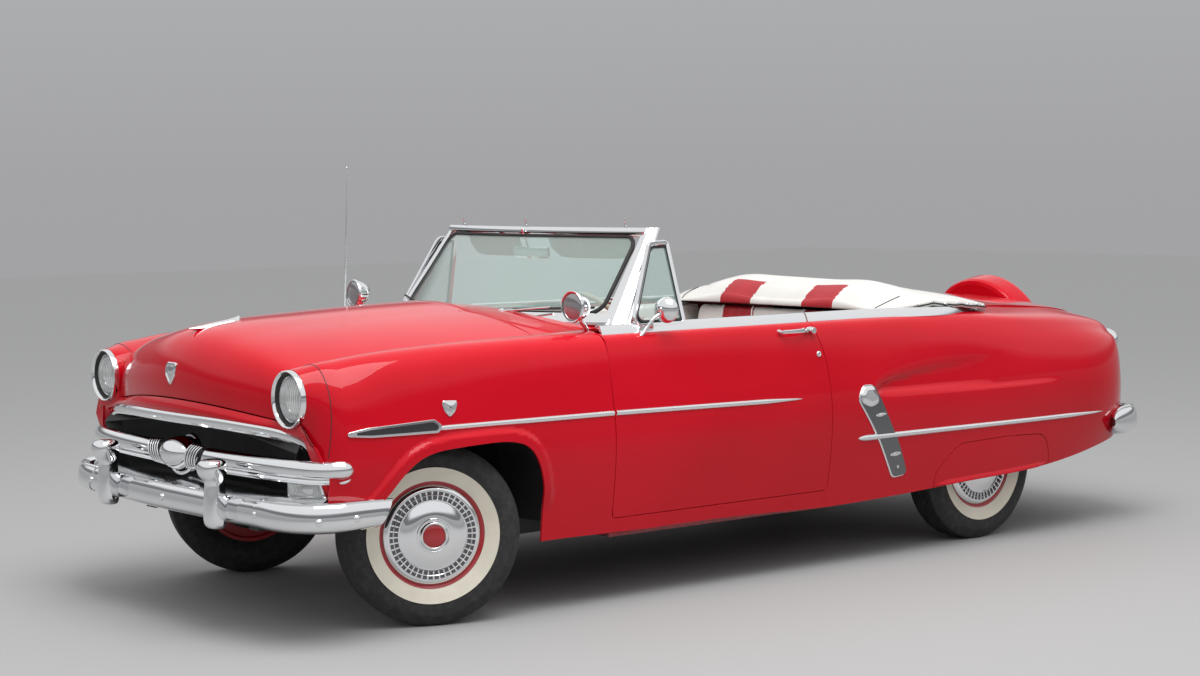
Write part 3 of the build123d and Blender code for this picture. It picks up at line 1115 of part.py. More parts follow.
# Boot: the cover over the folded top, crowned across the car
BOOT_FRONT_X = DECK_FRONT_X + 510
BOOT_Y = HALF - 153.5
BOOT_Z = QUARTER[3].seam_z + SEAL_GAP
with BuildPart() as top_boot:
    boot_sections = []
    for x, centre_z, edge_z, half_y in ((BOOT_FRONT_X, 1160, 1072, BOOT_Y - 40),
                                        (BOOT_FRONT_X - 80, 1182, 1086, BOOT_Y),
                                        (BOOT_FRONT_X - 260, 1158, 1072, BOOT_Y),
                                        (DECK_FRONT_X + 14, 1108, 1052, BOOT_Y - 60)):
        with BuildSketch(Plane.YZ.offset(x)) as boot_end:
            with BuildLine():
                ThreePointArc((-half_y, edge_z), (0, centre_z), (half_y, edge_z))
                Polyline((half_y, edge_z), (half_y, BOOT_Z), (-half_y, BOOT_Z), (-half_y, edge_z))
            make_face()
        boot_sections.append(boot_end.sketch)
    loft(boot_sections, ruled=True)
keep("top_boot", top_boot)

# Hood ornament: a swept bright fin on the hood's centre line
ORNAMENT_X = FRONT_X + 510
with BuildPart() as hood_ornament:
    with BuildSketch(Plane.XZ):
        with BuildLine():
            Polyline((ORNAMENT_X + 105, 1088), (ORNAMENT_X + 60, 1112), (ORNAMENT_X - 120, 1122),
                     (ORNAMENT_X - 120, 1060), (ORNAMENT_X, 1060), close=True)
        make_face()
    extrude(amount=24, both=True)
    add(hood.part, mode=Mode.SUBTRACT)
    loft([section(Plane.XZ.offset(-y), crown_points(HOOD, HOOD_EDGE_Y, abs(y))
                  + [(HOOD_REAR_X, HOOD[0].centre_z - 1)])
          for y in HOOD_STATIONS], ruled=True, mode=Mode.SUBTRACT)
keep("hood_ornament", hood_ornament)

os.makedirs("parts", exist_ok=True)
for name, piece in PIECES.items():
    export_step(piece, f"parts/{name}.step")
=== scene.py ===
"""The looks of a 1950s full-size open car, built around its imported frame."""
import math

import bpy
import numpy as np
from mathutils import Matrix, Vector


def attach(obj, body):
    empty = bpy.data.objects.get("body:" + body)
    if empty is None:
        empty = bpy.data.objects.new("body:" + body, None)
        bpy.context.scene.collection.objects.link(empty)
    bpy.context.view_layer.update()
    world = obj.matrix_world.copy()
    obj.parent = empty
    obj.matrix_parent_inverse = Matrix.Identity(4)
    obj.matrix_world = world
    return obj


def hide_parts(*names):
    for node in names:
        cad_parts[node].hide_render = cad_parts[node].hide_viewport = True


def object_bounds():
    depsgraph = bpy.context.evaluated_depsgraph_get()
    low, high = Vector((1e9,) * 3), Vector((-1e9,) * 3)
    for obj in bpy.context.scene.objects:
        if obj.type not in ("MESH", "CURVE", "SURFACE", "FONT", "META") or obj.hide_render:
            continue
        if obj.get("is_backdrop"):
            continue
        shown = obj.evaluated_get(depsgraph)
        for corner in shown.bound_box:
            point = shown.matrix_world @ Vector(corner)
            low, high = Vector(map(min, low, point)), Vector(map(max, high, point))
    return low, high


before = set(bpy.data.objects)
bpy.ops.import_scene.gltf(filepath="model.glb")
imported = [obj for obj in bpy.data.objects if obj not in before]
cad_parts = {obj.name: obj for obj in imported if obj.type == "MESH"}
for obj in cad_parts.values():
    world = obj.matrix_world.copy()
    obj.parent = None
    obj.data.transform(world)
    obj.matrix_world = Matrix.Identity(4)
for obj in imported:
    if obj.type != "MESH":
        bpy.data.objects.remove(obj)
cad_low, cad_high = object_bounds()

# Camera: a long lens beside the left front corner, a little above eye height,
# turned and tilted as the photograph is. It was fitted to the wheels, lamps and bumpers.
EYE = Vector((6.365, 7.536, 1.630))
AHEAD = Vector((-0.62329, -0.77879, -0.07066))
ROLL = math.radians(-0.64)
right = AHEAD.cross(Vector((0, 0, 1))).normalized()
up = right.cross(AHEAD)
lens = bpy.data.cameras.new("photo_camera")
lens.sensor_width = 36.0
lens.lens = 67.32
lens.clip_end = 200.0
camera = bpy.data.objects.new("photo_camera", lens)
side_axis = right * math.cos(ROLL) + up * math.sin(ROLL)
top_axis = up * math.cos(ROLL) - right * math.sin(ROLL)
camera.matrix_world = Matrix.Translation(EYE) @ Matrix((side_axis, top_axis,
                                                        -AHEAD)).transposed().to_4x4()
bpy.context.collection.objects.link(camera)
bpy.context.scene.camera = camera


# Floor and light: a pale studio floor that fades into a pale surround, and one large soft
# lamp overhead, at a level that leaves colours as they are.
class Wire:
    """A socket of a material. Sums, products and the like of wires add Math nodes."""

    def __init__(self, tree, socket=None):
        self.tree = tree
        self.socket = socket

    def node(self, kind, settings=(), sockets=(), out=0):
        """Adds one node: its settings first, then the values or links of its sockets."""
        made = self.tree.nodes.new("ShaderNode" + kind)
        for name, value in dict(settings).items():
            if name == "stops":
                ramp = made.color_ramp.elements
                while len(ramp) < len(value):
                    ramp.new(0.5)
                for stop, (place, colour) in zip(ramp, value):
                    stop.position = place
                    stop.color = (*colour, 1)
            else:
                setattr(made, name, value)
        for name, value in dict(sockets).items():
            if isinstance(value, Wire):
                self.tree.links.new(value.socket, made.inputs[name])
            else:
                made.inputs[name].default_value = value
        return Wire(self.tree, made.outputs[out])

    def maths(self, operation, *values, clamp=False):
        return self.node("Math", {"operation": operation, "use_clamp": clamp},
                         dict(enumerate(values)))

    def __add__(self, other):
        return self.maths("ADD", self, other)

    def __mul__(self, other):
        return self.maths("MULTIPLY", self, other)

    __radd__ = __add__
    __rmul__ = __mul__

    def place(self):
        """Where a point is on its own piece, in metres."""
        return self.node("TexCoord", out="Object")

    def noise(self, scale, detail=3.0, at=None):
        """Noise from 0 to 1."""
        return self.node("TexNoise", {},
                         {"Vector": at or self.place(), "Scale": scale, "Detail": detail})

    def ramp(self, low, high):
        """This value as a clamped step from 0 at low to 1 at high."""
        return self.node("MapRange", {}, {"Value": self, "From Min": low, "From Max": high})

    def tint(self, first, second):
        """A colour from first to second by this value."""
        return self.node("MixRGB", {}, {"Fac": self, "Color1": (*first, 1), "Color2": (*second, 1)})

    def bump(self, strength, distance):
        """A normal that this height bends."""
        return self.node("Bump", {}, {"Height": self, "Strength": strength, "Distance": distance})


def finish(name, colour, roughness, metallic=0.0, **more):
    """A material on the one shader, and a wire to build its detail from."""
    made = bpy.data.materials.new(name)
    made.use_nodes = True
    made.diffuse_color = (*colour, 1)
    shader = made.node_tree.nodes["Principled BSDF"].inputs
    shader["Base Color"].default_value = (*colour, 1)
    shader["Roughness"].default_value = roughness
    shader["Metallic"].default_value = metallic
    for key, value in more.items():
        shader[key.replace("_", " ")].default_value = value
    return made, Wire(made.node_tree)


def connect(material, **sockets):
    """Links wires to the shader's own sockets."""
    shader = material.node_tree.nodes["Principled BSDF"].inputs
    for key, wire in sockets.items():
        material.node_tree.links.new(wire.socket, shader[key.replace("_", " ")])


floor_paint, wire = finish("pale_floor", (0.38, 0.38, 0.38), 0.8)
bpy.ops.mesh.primitive_plane_add(size=60.0)
floor = bpy.context.object
floor.name = "studio_floor"
floor.data.materials.append(floor_paint)
floor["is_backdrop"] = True

world = bpy.data.worlds.new("studio")
bpy.context.scene.world = world
world.use_nodes = True
sky = Wire(world.node_tree)
height = sky.node("SeparateXYZ", {}, {0: sky.node("TexCoord", out="Generated")}, out="Z")
# The surround is pale overhead and greyer along the horizon, as metal needs to show its form
SURROUND = [(0.0, (0.30, 0.30, 0.31)), (0.50, (0.42, 0.42, 0.43)), (0.548, (0.48, 0.485, 0.495)),
            (0.560, (0.20, 0.20, 0.21)), (0.605, (0.24, 0.24, 0.25)), (0.650, (0.95, 0.96, 0.98)),
            (1.0, (1.0, 1.0, 1.0))]
level = height * 0.5 + 0.5
glow = level.node("ValToRGB", {"stops": SURROUND}, {"Fac": level})
background = world.node_tree.nodes["Background"].inputs
world.node_tree.links.new(glow.socket, background["Color"])
background["Strength"].default_value = 0.88
bpy.context.scene.view_settings.view_transform = "Standard"

LAMP_PLACE = Vector((1.5, 2.5, 7.0))
LAMP_TARGET = Vector((0, 0, 0.5))
light = bpy.data.lights.new("overhead", "AREA")
light.size = 5.0
light.energy = 430
holder = bpy.data.objects.new("overhead", light)
holder.location = LAMP_PLACE
holder.rotation_euler = (LAMP_TARGET - LAMP_PLACE).to_track_quat("-Z", "Y").to_euler()
bpy.context.collection.objects.link(holder)

# Body paint: gloss red enamel under a clear coat, with the faint unevenness of a sprayed
# coat and a slow drift of its colour over the panels.
BODY_RED = (0.60, 0.002, 0.014)
paint, wire = finish("red_enamel", BODY_RED, 0.40, Coat_Weight=1.0, Coat_Roughness=0.03,
                     Coat_IOR=1.30, Specular_IOR_Level=0.05)
peel = wire.noise(260.0, 1.0).bump(0.02, 0.002)
drift = wire.noise(1.7, 2.0).ramp(0.3, 0.7)
connect(paint, Normal=peel, Base_Color=drift.tint(BODY_RED, (0.53, 0.002, 0.011)))

# Body side: one pressed surface from the nose to the tail, cut into fenders, doors and
# quarters. Each row is a station: its place along the car and the side's line at it, as
# insets from the widest line and heights, from the sill up to the seam on top.
FRONT_X = 1.700
REAR_X = -1.221
NOSE_X = cad_high.x
TAIL_X = cad_low.x
HALF = cad_high.y
DOOR_FRONT_X = FRONT_X - 0.700
DOOR_REAR_X = REAR_X + 1.071
DOOR_LEAN = 0.045
DECK_FRONT_X = REAR_X - 0.100
HOOD_REAR_X = FRONT_X - 0.492
AXLE_Z = 0.337
CABIN_Y = HALF - 0.138
PANEL_GAP = 0.0055
HEM = 0.0015
SHEET = 0.012
CELL = 0.018


def unit(vectors):
    return vectors / np.maximum(np.linalg.norm(vectors, axis=-1, keepdims=True), 1e-9)


def spline(places, values, at):
    """A natural cubic through a table's rows, for all of its columns at once."""
    places, values = np.asarray(places, float), np.asarray(values, float)
    count = len(places)
    gaps = np.diff(places)
    slopes = np.diff(values, axis=0) / gaps[:, None]
    system = np.eye(count)
    right_side = np.zeros_like(values)
    for i in range(1, count - 1):
        system[i, i - 1:i + 2] = gaps[i - 1], 2 * (gaps[i - 1] + gaps[i]), gaps[i]
        right_side[i] = 6 * (slopes[i] - slopes[i - 1])
    bend = np.linalg.solve(system, right_side)
    at = np.asarray(at, float)
    k = np.clip(np.searchsorted(places, at) - 1, 0, count - 2)
    gap = gaps[k][:, None]
    low, high = (places[k + 1] - at)[:, None], (at - places[k])[:, None]
    return (bend[k] * low ** 3 / (6 * gap) + bend[k + 1] * high ** 3 / (6 * gap)
            + (values[k] / gap - bend[k] * gap / 6) * low
            + (values[k + 1] / gap - bend[k + 1] * gap / 6) * high)


class Skin:
    """A smooth surface through rows of points (x, y, z). u is the way along the rows, by
    their mean distance, and v counts each row's points. A form bends the result."""

    def __init__(self, rows, form=None):
        self.rows = np.asarray(rows, float)
        far = np.linalg.norm(np.diff(self.rows, axis=0), axis=2).mean(axis=1)
        self.places = np.concatenate([[0], np.cumsum(far)])
        self.form = form

    def along(self, x):
        """The u of a place along the car."""
        means = self.rows[:, :, 0].mean(axis=1)
        order = np.argsort(means)
        return float(np.interp(x, means[order], self.places[order]))

    def steps(self, first, last, cell=CELL):
        """Even steps of u between two places along the car."""
        low, high = self.along(first), self.along(last)
        return np.linspace(low, high, max(2, round(abs(high - low) / cell) + 1))

    def __call__(self, u, v):
        u, v = np.broadcast_arrays(np.asarray(u, float), np.asarray(v, float))
        count = self.rows.shape[1]
        flat = self.rows.reshape(len(self.rows), -1)
        nets = spline(self.places, flat, u.ravel()).reshape(-1, count, 3)
        share = spline(np.arange(count), np.eye(count), v.ravel())
        points = np.einsum("ik,ikd->id", share, nets)
        if self.form:
            points = self.form(points)
        return points.reshape(*u.shape, 3)

    def normal(self, u, v):
        step = 1e-4
        return unit(np.cross(self(u + step, v) - self(u - step, v),
                             self(u, v + step) - self(u, v - step)))


def root_between(value, params, edges):
    """Where a value changes sign along each edge: the spot, and its share of the way."""
    ends = np.array(edges)
    first = value(params[ends[:, 0]]) > 0
    low, high = np.zeros(len(ends)), np.ones(len(ends))
    for _ in range(14):
        share = ((low + high) / 2)[:, None]
        same = (value(params[ends[:, 0]] * (1 - share) + params[ends[:, 1]] * share) > 0) == first
        low, high = np.where(same, share[:, 0], low), np.where(same, high, share[:, 0])
    share = ((low + high) / 2)[:, None]
    return params[ends[:, 0]] * (1 - share) + params[ends[:, 1]] * share, share[:, 0]


def trimmed(skin, us, vs, keeps):
    """A grid of a skin, cut along the zero lines of the keep functions. A grid point
    that nearly lies on a line moves onto it, so that no sliver is left."""
    columns = len(vs)
    params = np.array([(u, v) for u in us for v in vs])
    faces = [(i * columns + j, (i + 1) * columns + j, (i + 1) * columns + j + 1,
              i * columns + j + 1) for i in range(len(us) - 1) for j in range(columns - 1)]
    for keep in keeps:
        def value(some):
            return keep(skin(some[:, 0], some[:, 1]))

        def crossing():
            edges = {tuple(sorted((f[k], f[k - 1]))) for f in faces for k in range(len(f))}
            return sorted(e for e in edges if inside[e[0]] * inside[e[1]] < 0)

        inside = value(params)
        edges = crossing()
        if edges:
            spots, shares = root_between(value, params, edges)
            for (a, b), spot, share in zip(edges, spots, shares):
                near = a if share < 0.2 else b
                if not 0.2 < share < 0.8 and inside[near]:
                    params[near] = spot
                    inside[near] = 0
            edges = crossing()
        between = {}
        if edges:
            spots, _ = root_between(value, params, edges)
            between = {edge: len(params) + k for k, edge in enumerate(edges)}
            params = np.vstack([params, spots])
            inside = np.append(inside, np.zeros(len(edges)))
        cut = []
        for f in faces:
            if all(inside[i] <= 0 for i in f):
                continue
            line = []
            for here, after in zip(f, f[1:] + f[:1]):
                if inside[here] >= 0:
                    line.append(here)
                if inside[here] * inside[after] < 0:
                    line.append(between[tuple(sorted((here, after)))])
            if len(line) > 2:
                cut.append(tuple(line))
        faces = cut
    used = sorted({i for f in faces for i in f})
    order = {old: new for new, old in enumerate(used)}
    return params[used], [tuple(order[i] for i in f) for f in faces]


def solid(name, points, normals, faces, material, body, wall=SHEET, hem=HEM, wall_to=None):
    """A sheet piece from its outer face: a rolled edge, walls, and the inner face."""
    directed = {(f[k - 1], f[k]) for f in faces for k in range(len(f))}
    rim = sorted((a, b) for a, b in directed if (b, a) not in directed)
    after = dict(rim)
    before = {b: a for a, b in rim}
    edge = sorted(after)
    index = {v: k for k, v in enumerate(edge)}
    here, n = points[edge], normals[edge]
    ahead = unit(points[[after[v] for v in edge]] - here)
    along = unit(ahead + unit(here - points[[before[v] for v in edge]]))
    out = unit(np.cross(along, n))
    reach_out = hem / np.maximum(np.sum(along * ahead, axis=1, keepdims=True), 0.5)
    verts, norms, starts = [points], [normals], []
    for k in (1, 2, 3):
        turn = k * math.pi / 6
        starts.append(len(points) + (k - 1) * len(edge))
        verts.append(here + out * reach_out * math.sin(turn) - n * hem * (1 - math.cos(turn)))
        norms.append(n * math.cos(turn) + out * math.sin(turn))
    inner = len(points) + 3 * len(edge)
    verts.append(wall_to(points) if wall_to else points - normals * wall)
    norms.append(-normals)
    walls = []
    for a, b in rim:
        line = [a] + [start + index[a] for start in starts] + [inner + a]
        other = [b] + [start + index[b] for start in starts] + [inner + b]
        walls += [(line[k], line[k + 1], other[k + 1], other[k]) for k in range(4)]
    back = [tuple(inner + i for i in f[::-1]) for f in faces]
    mesh = bpy.data.meshes.new(name)
    mesh.from_pydata(np.vstack(verts).tolist(), [], [*faces, *walls, *back])
    mesh.shade_smooth()
    norms = np.vstack(norms)
    corners = []
    for number, face in enumerate(mesh.polygons):
        wall_face = len(faces) <= number < len(faces) + len(walls)
        corners += [face.normal if wall_face and i >= inner else norms[i] for i in face.vertices]
    mesh.normals_split_custom_set([tuple(c) for c in corners])
    mesh.materials.append(material)
    made = bpy.data.objects.new(name, mesh)
    bpy.context.collection.objects.link(made)
    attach(made, body)
    return made


def panel(name, skin, us, vs, keeps, material, body, slot="body_paint", mirror=False,
          outward=(0, 1, 0.4), **walls):
    """A trimmed pressing of a skin, on the left or mirrored to the right."""
    params, faces = trimmed(skin, us, vs, keeps)
    points = skin(params[:, 0], params[:, 1])
    normals = skin.normal(params[:, 0], params[:, 1])
    if np.sum(normals @ outward) < 0:
        normals = -normals
    some = faces[:: max(1, len(faces) // 50)]
    winding = [np.cross(points[f[1]] - points[f[0]], points[f[2]] - points[f[0]]) @ normals[f[0]]
               for f in some]
    if sum(winding) < 0:
        faces = [f[::-1] for f in faces]
    if mirror:
        points, normals = points * (1, -1, 1), normals * (1, -1, 1)
        faces = [f[::-1] for f in faces]
    made = solid(name, points, normals, faces, material, body, **walls)
    return made


def outline(*corners):
    """A closed outline of corners (x, z, radius), with each corner rounded to its radius."""
    line = []
    for k, (x, z, radius) in enumerate(corners):
        here = np.array([x, z])
        to_last = unit(np.array(corners[k - 1][:2]) - here)
        to_next = unit(np.array(corners[(k + 1) % len(corners)][:2]) - here)
        half = math.acos(np.clip(to_last @ to_next, -1, 1)) / 2
        if radius == 0:
            line.append(here)
            continue
        start = here + to_last * radius / math.tan(half)
        centre = here + unit(to_last + to_next) * radius / math.sin(half)
        first = start - centre
        turn = math.pi - 2 * half
        sense = np.sign(np.cross(-to_last, to_next))
        for share in np.linspace(0, 1, 9):
            c, s = math.cos(sense * turn * share), math.sin(sense * turn * share)
            line.append(centre + (c * first[0] - s * first[1], s * first[0] + c * first[1]))
    return np.array(line)


def reach(flat, line):
    """How far points of a plane are outside a closed outline. Inside is negative."""
    start = line[None]
    run = np.roll(line, -1, axis=0)[None] - start
    off = flat[:, None] - start
    share = np.clip(np.sum(off * run, axis=2) / np.maximum(np.sum(run * run, axis=2), 1e-12), 0, 1)
    far = np.sqrt(np.min(np.sum((off - run * share[..., None]) ** 2, axis=2), axis=1))
    z, low, high = flat[:, 1:], line[:, 1][None], np.roll(line[:, 1], -1)[None]
    spans = (low > z) != (high > z)
    at = line[:, 0][None] + (z - low) * run[..., 0] / np.where(run[..., 1] == 0, 1e-12, run[..., 1])
    odd = np.sum(spans & (flat[:, :1] < at), axis=1) % 2 == 1
    return np.where(odd, -far, far)


def blend(value, low, high):
    """A smooth step from 0 at low to 1 at high."""
    share = np.clip((value - low) / (high - low), 0, 1)
    return share * share * (3 - 2 * share)


def side_rows(table):
    """The rows of a side table as points."""
    return [[(x, HALF - b, bz), (x, HALF - m, 0.600), (x, HALF - w, 0.820), (x, HALF - s, sz),
             (x, HALF - c, cz), (x, HALF - e, ez)] for x, b, bz, m, w, s, sz, c, cz, e, ez in table]


# place, bottom inset and height, belly inset, waist inset, and the insets and heights of
# the shoulder, the crown and the seam
FENDER = [
    (FRONT_X + 0.480, 0.070, 0.440, 0.036, 0.047, 0.093, 0.936, 0.180, 0.997, 0.316, 0.964),
    (FRONT_X + 0.350, 0.058, 0.330, 0.021, 0.038, 0.079, 0.952, 0.169, 1.013, 0.304, 0.983),
    (FRONT_X + 0.150, 0.050, 0.300, 0.015, 0.034, 0.073, 0.967, 0.164, 1.028, 0.290, 1.001),
    (FRONT_X - 0.100, 0.050, 0.285, 0.015, 0.035, 0.072, 0.978, 0.161, 1.037, 0.280, 1.018),
    (FRONT_X - 0.400, 0.054, 0.280, 0.016, 0.037, 0.072, 0.985, 0.157, 1.042, 0.268, 1.034),
    (DOOR_FRONT_X, 0.060, 0.275, 0.018, 0.038, 0.072, 0.988, 0.153, 1.045, 0.245, 1.046),
    (DOOR_FRONT_X - 0.300, 0.061, 0.270, 0.017, 0.038, 0.073, 0.988, 0.150, 1.047, 0.235, 1.050),
]
REAR_SIDE = [
    (DOOR_FRONT_X + 0.300, 0.056, 0.278, 0.016, 0.037, 0.072, 0.986, 0.106, 1.030, 0.130, 1.036),
    (DOOR_FRONT_X, 0.060, 0.275, 0.018, 0.038, 0.072, 0.988, 0.108, 1.031, 0.132, 1.037),
    (DOOR_REAR_X, 0.062, 0.258, 0.015, 0.036, 0.075, 0.985, 0.112, 1.029, 0.136, 1.035),
    (REAR_X + 0.600, 0.058, 0.270, 0.012, 0.034, 0.078, 0.978, 0.118, 1.025, 0.142, 1.031),
    (REAR_X + 0.160, 0.052, 0.290, 0.006, 0.030, 0.085, 0.967, 0.130, 1.018, 0.165, 1.026),
    (DECK_FRONT_X - 0.050, 0.050, 0.302, 0.003, 0.028, 0.093, 0.953, 0.150, 1.000, 0.303, 1.030),
    (REAR_X - 0.479, 0.054, 0.335, 0.008, 0.034, 0.106, 0.933, 0.168, 0.980, 0.313, 1.014),
    (REAR_X - 0.779, 0.080, 0.385, 0.036, 0.062, 0.132, 0.905, 0.195, 0.952, 0.333, 0.981),
    (TAIL_X + 0.392, 0.125, 0.410, 0.092, 0.112, 0.165, 0.884, 0.218, 0.928, 0.348, 0.940),
]


def mm(*rows):
    """Rows of millimetres as points in metres."""
    return [tuple(value / 1000 for value in row) for row in rows]


# The front arch: a flat-topped opening with a raised lip pressed round it
ARCH = np.array(mm((1336, 50), (1338, 380), (1352, 530), (1403, 642), (1500, 678), (1690, 674),
                   (1870, 663), (1968, 606), (2062, 498), (2225, 365), (2340, 50)))
for _ in range(4):
    after = np.roll(ARCH, -1, axis=0)
    ARCH = np.stack([ARCH * 0.75 + after * 0.25, ARCH * 0.25 + after * 0.75], axis=1).reshape(-1, 2)
LIP_WIDTH = 0.040
LIP_HEIGHT = 0.014
LIP_EASE = 0.014


def fender_form(points):
    """Raises the lip round the wheel arch."""
    gap = reach(points[:, [0, 2]], ARCH)
    lift = LIP_HEIGHT * (1 - blend(gap, LIP_WIDTH - LIP_EASE, LIP_WIDTH + LIP_EASE))
    lift *= blend(points[:, 2], 0.38, 0.50)
    return points + np.column_stack([lift * 0, lift, lift * 0.2])


# Ahead of the lamp's seam only the lower side goes on, rounding in to the grille mouth
NOSE_CUT_X = FRONT_X + 0.480
BAR_Z = 0.618
NOSE_SIDE = [(NOSE_X - 0.190, 0.150, 0.50, 0.128, 0.128, 0.150, 0.92, 0.200, 0.96, 0.330, 0.93),
             (NOSE_X - 0.200, 0.110, 0.48, 0.090, 0.098, 0.128, 0.92, 0.190, 0.97, 0.325, 0.94),
             (NOSE_X - 0.240, 0.090, 0.46, 0.060, 0.070, 0.110, 0.93, 0.184, 0.985, 0.320, 0.952)]
fender_side = Skin(side_rows(NOSE_SIDE + FENDER), fender_form)
DOOR_OUTLINE = outline((DOOR_FRONT_X, 0.330, 0.012), (DOOR_FRONT_X, 1.20, 0),
                       (DOOR_REAR_X + DOOR_LEAN, 1.20, 0),
                       (DOOR_REAR_X + DOOR_LEAN * 0.9, 1.00, 0.3), (DOOR_REAR_X, 0.88, 0.4),
                       (DOOR_REAR_X, 0.330, 0.012))
SIDE_STEPS = np.linspace(0, 5, 61)


def round_the_door(points):
    """Positive where a point of the side is outside the door and its gap."""
    return reach(points[:, [0, 2]], DOOR_OUTLINE) - PANEL_GAP / 2


for side in ("left", "right"):
    fender = panel("fender_" + side, fender_side,
                   fender_side.steps(NOSE_X - 0.256, DOOR_FRONT_X - 0.05, 0.012),
                   np.linspace(0, 5, 91), [lambda p: reach(p[:, [0, 2]], ARCH), round_the_door,
                                           lambda p: p[:, 0] - DOOR_FRONT_X + 0.002,
                                           lambda p: np.maximum(NOSE_CUT_X - p[:, 0],
                                                                BAR_Z - p[:, 2])], paint, "root",
                   mirror=side == "right")
    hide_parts("front_fenders")

# Nacelles: the fender tops run forward and close round the headlamp rings. They are drawn steel,
# welded to the fenders along a seam whose groove is drawn as a thin black line of painted shade.
LAMP_X = NOSE_X - 0.212
LAMP_Y = 0.711
LAMP_Z = 0.868
NACELLE_R = 0.106


class Nacelle(Skin):
    """From a closed line round the fender's front to the lamp ring. u is the share of
    the way forward and v the share of the way round."""

    def __init__(self):
        v = np.linspace(0.32, 5, 70)
        u = np.full(len(v), fender_side.along(NOSE_CUT_X))
        side = fender_side(u, v)
        step = fender_side(u - 0.002, v) - side
        low = side[0]
        top = side[-1]
        bottom = np.array([(NOSE_X - 0.232, 0.845, 0.700), (NOSE_X - 0.214, 0.780, 0.738),
                           (NOSE_X - 0.213, 0.680, 0.748), (NOSE_X - 0.222, 0.620, 0.775)])
        inner = np.array([(NOSE_X - 0.250, 0.606, 0.820), (NOSE_X - 0.285, 0.606, 0.890)])
        extra = np.vstack([inner[::-1], bottom[::-1]])
        self.line = np.vstack([side, extra, [low]])
        aim = np.vstack([unit(step), np.tile([0.3, 0, 0], (len(extra), 1)), [unit(step)[0]]])
        self.aim = aim
        gaps = np.linalg.norm(np.diff(self.line, axis=0), axis=1)
        self.marks = np.concatenate([[0], np.cumsum(gaps)]) / gaps.sum()

    def __call__(self, u, v):
        u, v = np.broadcast_arrays(np.asarray(u, float), np.asarray(v, float))
        s, w = u.ravel()[:, None], v.ravel()
        start = np.column_stack([np.interp(w, self.marks, self.line[:, k]) for k in range(3)])
        aim = np.column_stack([np.interp(w, self.marks, self.aim[:, k]) for k in range(3)])
        angle = np.arctan2(start[:, 2] - LAMP_Z, start[:, 1] - LAMP_Y)
        radial = np.column_stack([angle * 0, np.cos(angle), np.sin(angle)])
        end = np.array([LAMP_X, LAMP_Y, LAMP_Z]) + radial * NACELLE_R
        far = np.linalg.norm(end - start, axis=1)[:, None]
        drop = np.linalg.norm((end - start)[:, 1:], axis=1)
        turn = np.arctan2(drop, np.maximum(end[:, 0] - start[:, 0], 1e-6))[:, None]
        arrive = np.array([[1.0, 0, 0]]) * np.cos(turn) - radial * np.sin(turn)
        points = ((2 * s ** 3 - 3 * s ** 2 + 1) * start + (s ** 3 - 2 * s ** 2 + s) * aim * far
                  + (3 * s ** 2 - 2 * s ** 3) * end + (s ** 3 - s ** 2) * arrive * far)
        return points.reshape(*u.shape, 3)


nacelle_skin = Nacelle()
for side in ("left", "right"):
    panel("nacelle_" + side, nacelle_skin, np.linspace(0, 1, 12), np.linspace(0, 1, 90), [],
          paint, "root", mirror=side == "right", outward=(1, 0.3, 0.2), wall=0.006, hem=0.0005)

# Rocker: the steel sill below the door, pressed in one with the body side and painted
# with it.
rear_side = Skin(side_rows(REAR_SIDE))
for side in ("left", "right"):
    panel("rocker_" + side, rear_side, rear_side.steps(DOOR_FRONT_X, DOOR_REAR_X),
          np.linspace(0, 1, 16), [round_the_door], paint, "root", mirror=side == "right")


# Doors: a pressed steel skin, folded over a full-depth frame and painted, and hinged at
# the front edge.
def to_cabin(points):
    """The inner face of a door, flat on the cabin's side."""
    return np.column_stack([points[:, 0], np.sign(points[:, 1]) * (CABIN_Y + 0.004), points[:, 2]])


for side in ("left", "right"):
    door = panel("door_skin_" + side, rear_side,
                 rear_side.steps(DOOR_FRONT_X + 0.01, DOOR_REAR_X - 0.01), SIDE_STEPS,
                 [lambda p: -reach(p[:, [0, 2]], DOOR_OUTLINE) - PANEL_GAP / 2], paint,
                 "door_" + side, mirror=side == "right", wall_to=to_cabin)
    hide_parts("door_" + side)


# Quarters: the long rear side with its raised speed line and the opening for the skirt,
# closing round the tail in one pressing.
def quarter_form(points):
    """Sets the side in above the speed line, from the shield to the tail."""
    x, z = points[:, 0], points[:, 2]
    line = 0.700 - (DOOR_REAR_X - 0.33 - x) * 0.012
    height = 0.040 * (1 - 0.75 * blend(-x, 0.6, 2.0))
    depth = 0.024 * blend(x, TAIL_X + 0.45, -0.60) * blend(-x, 0.40,
                                                           0.46 + 0.90 * blend(z, 0.735, 0.86))
    inset = depth * blend(z, line, line + height) * (1 - blend(z, 0.76, 0.95))
    return points - np.column_stack([x * 0, inset, x * 0])


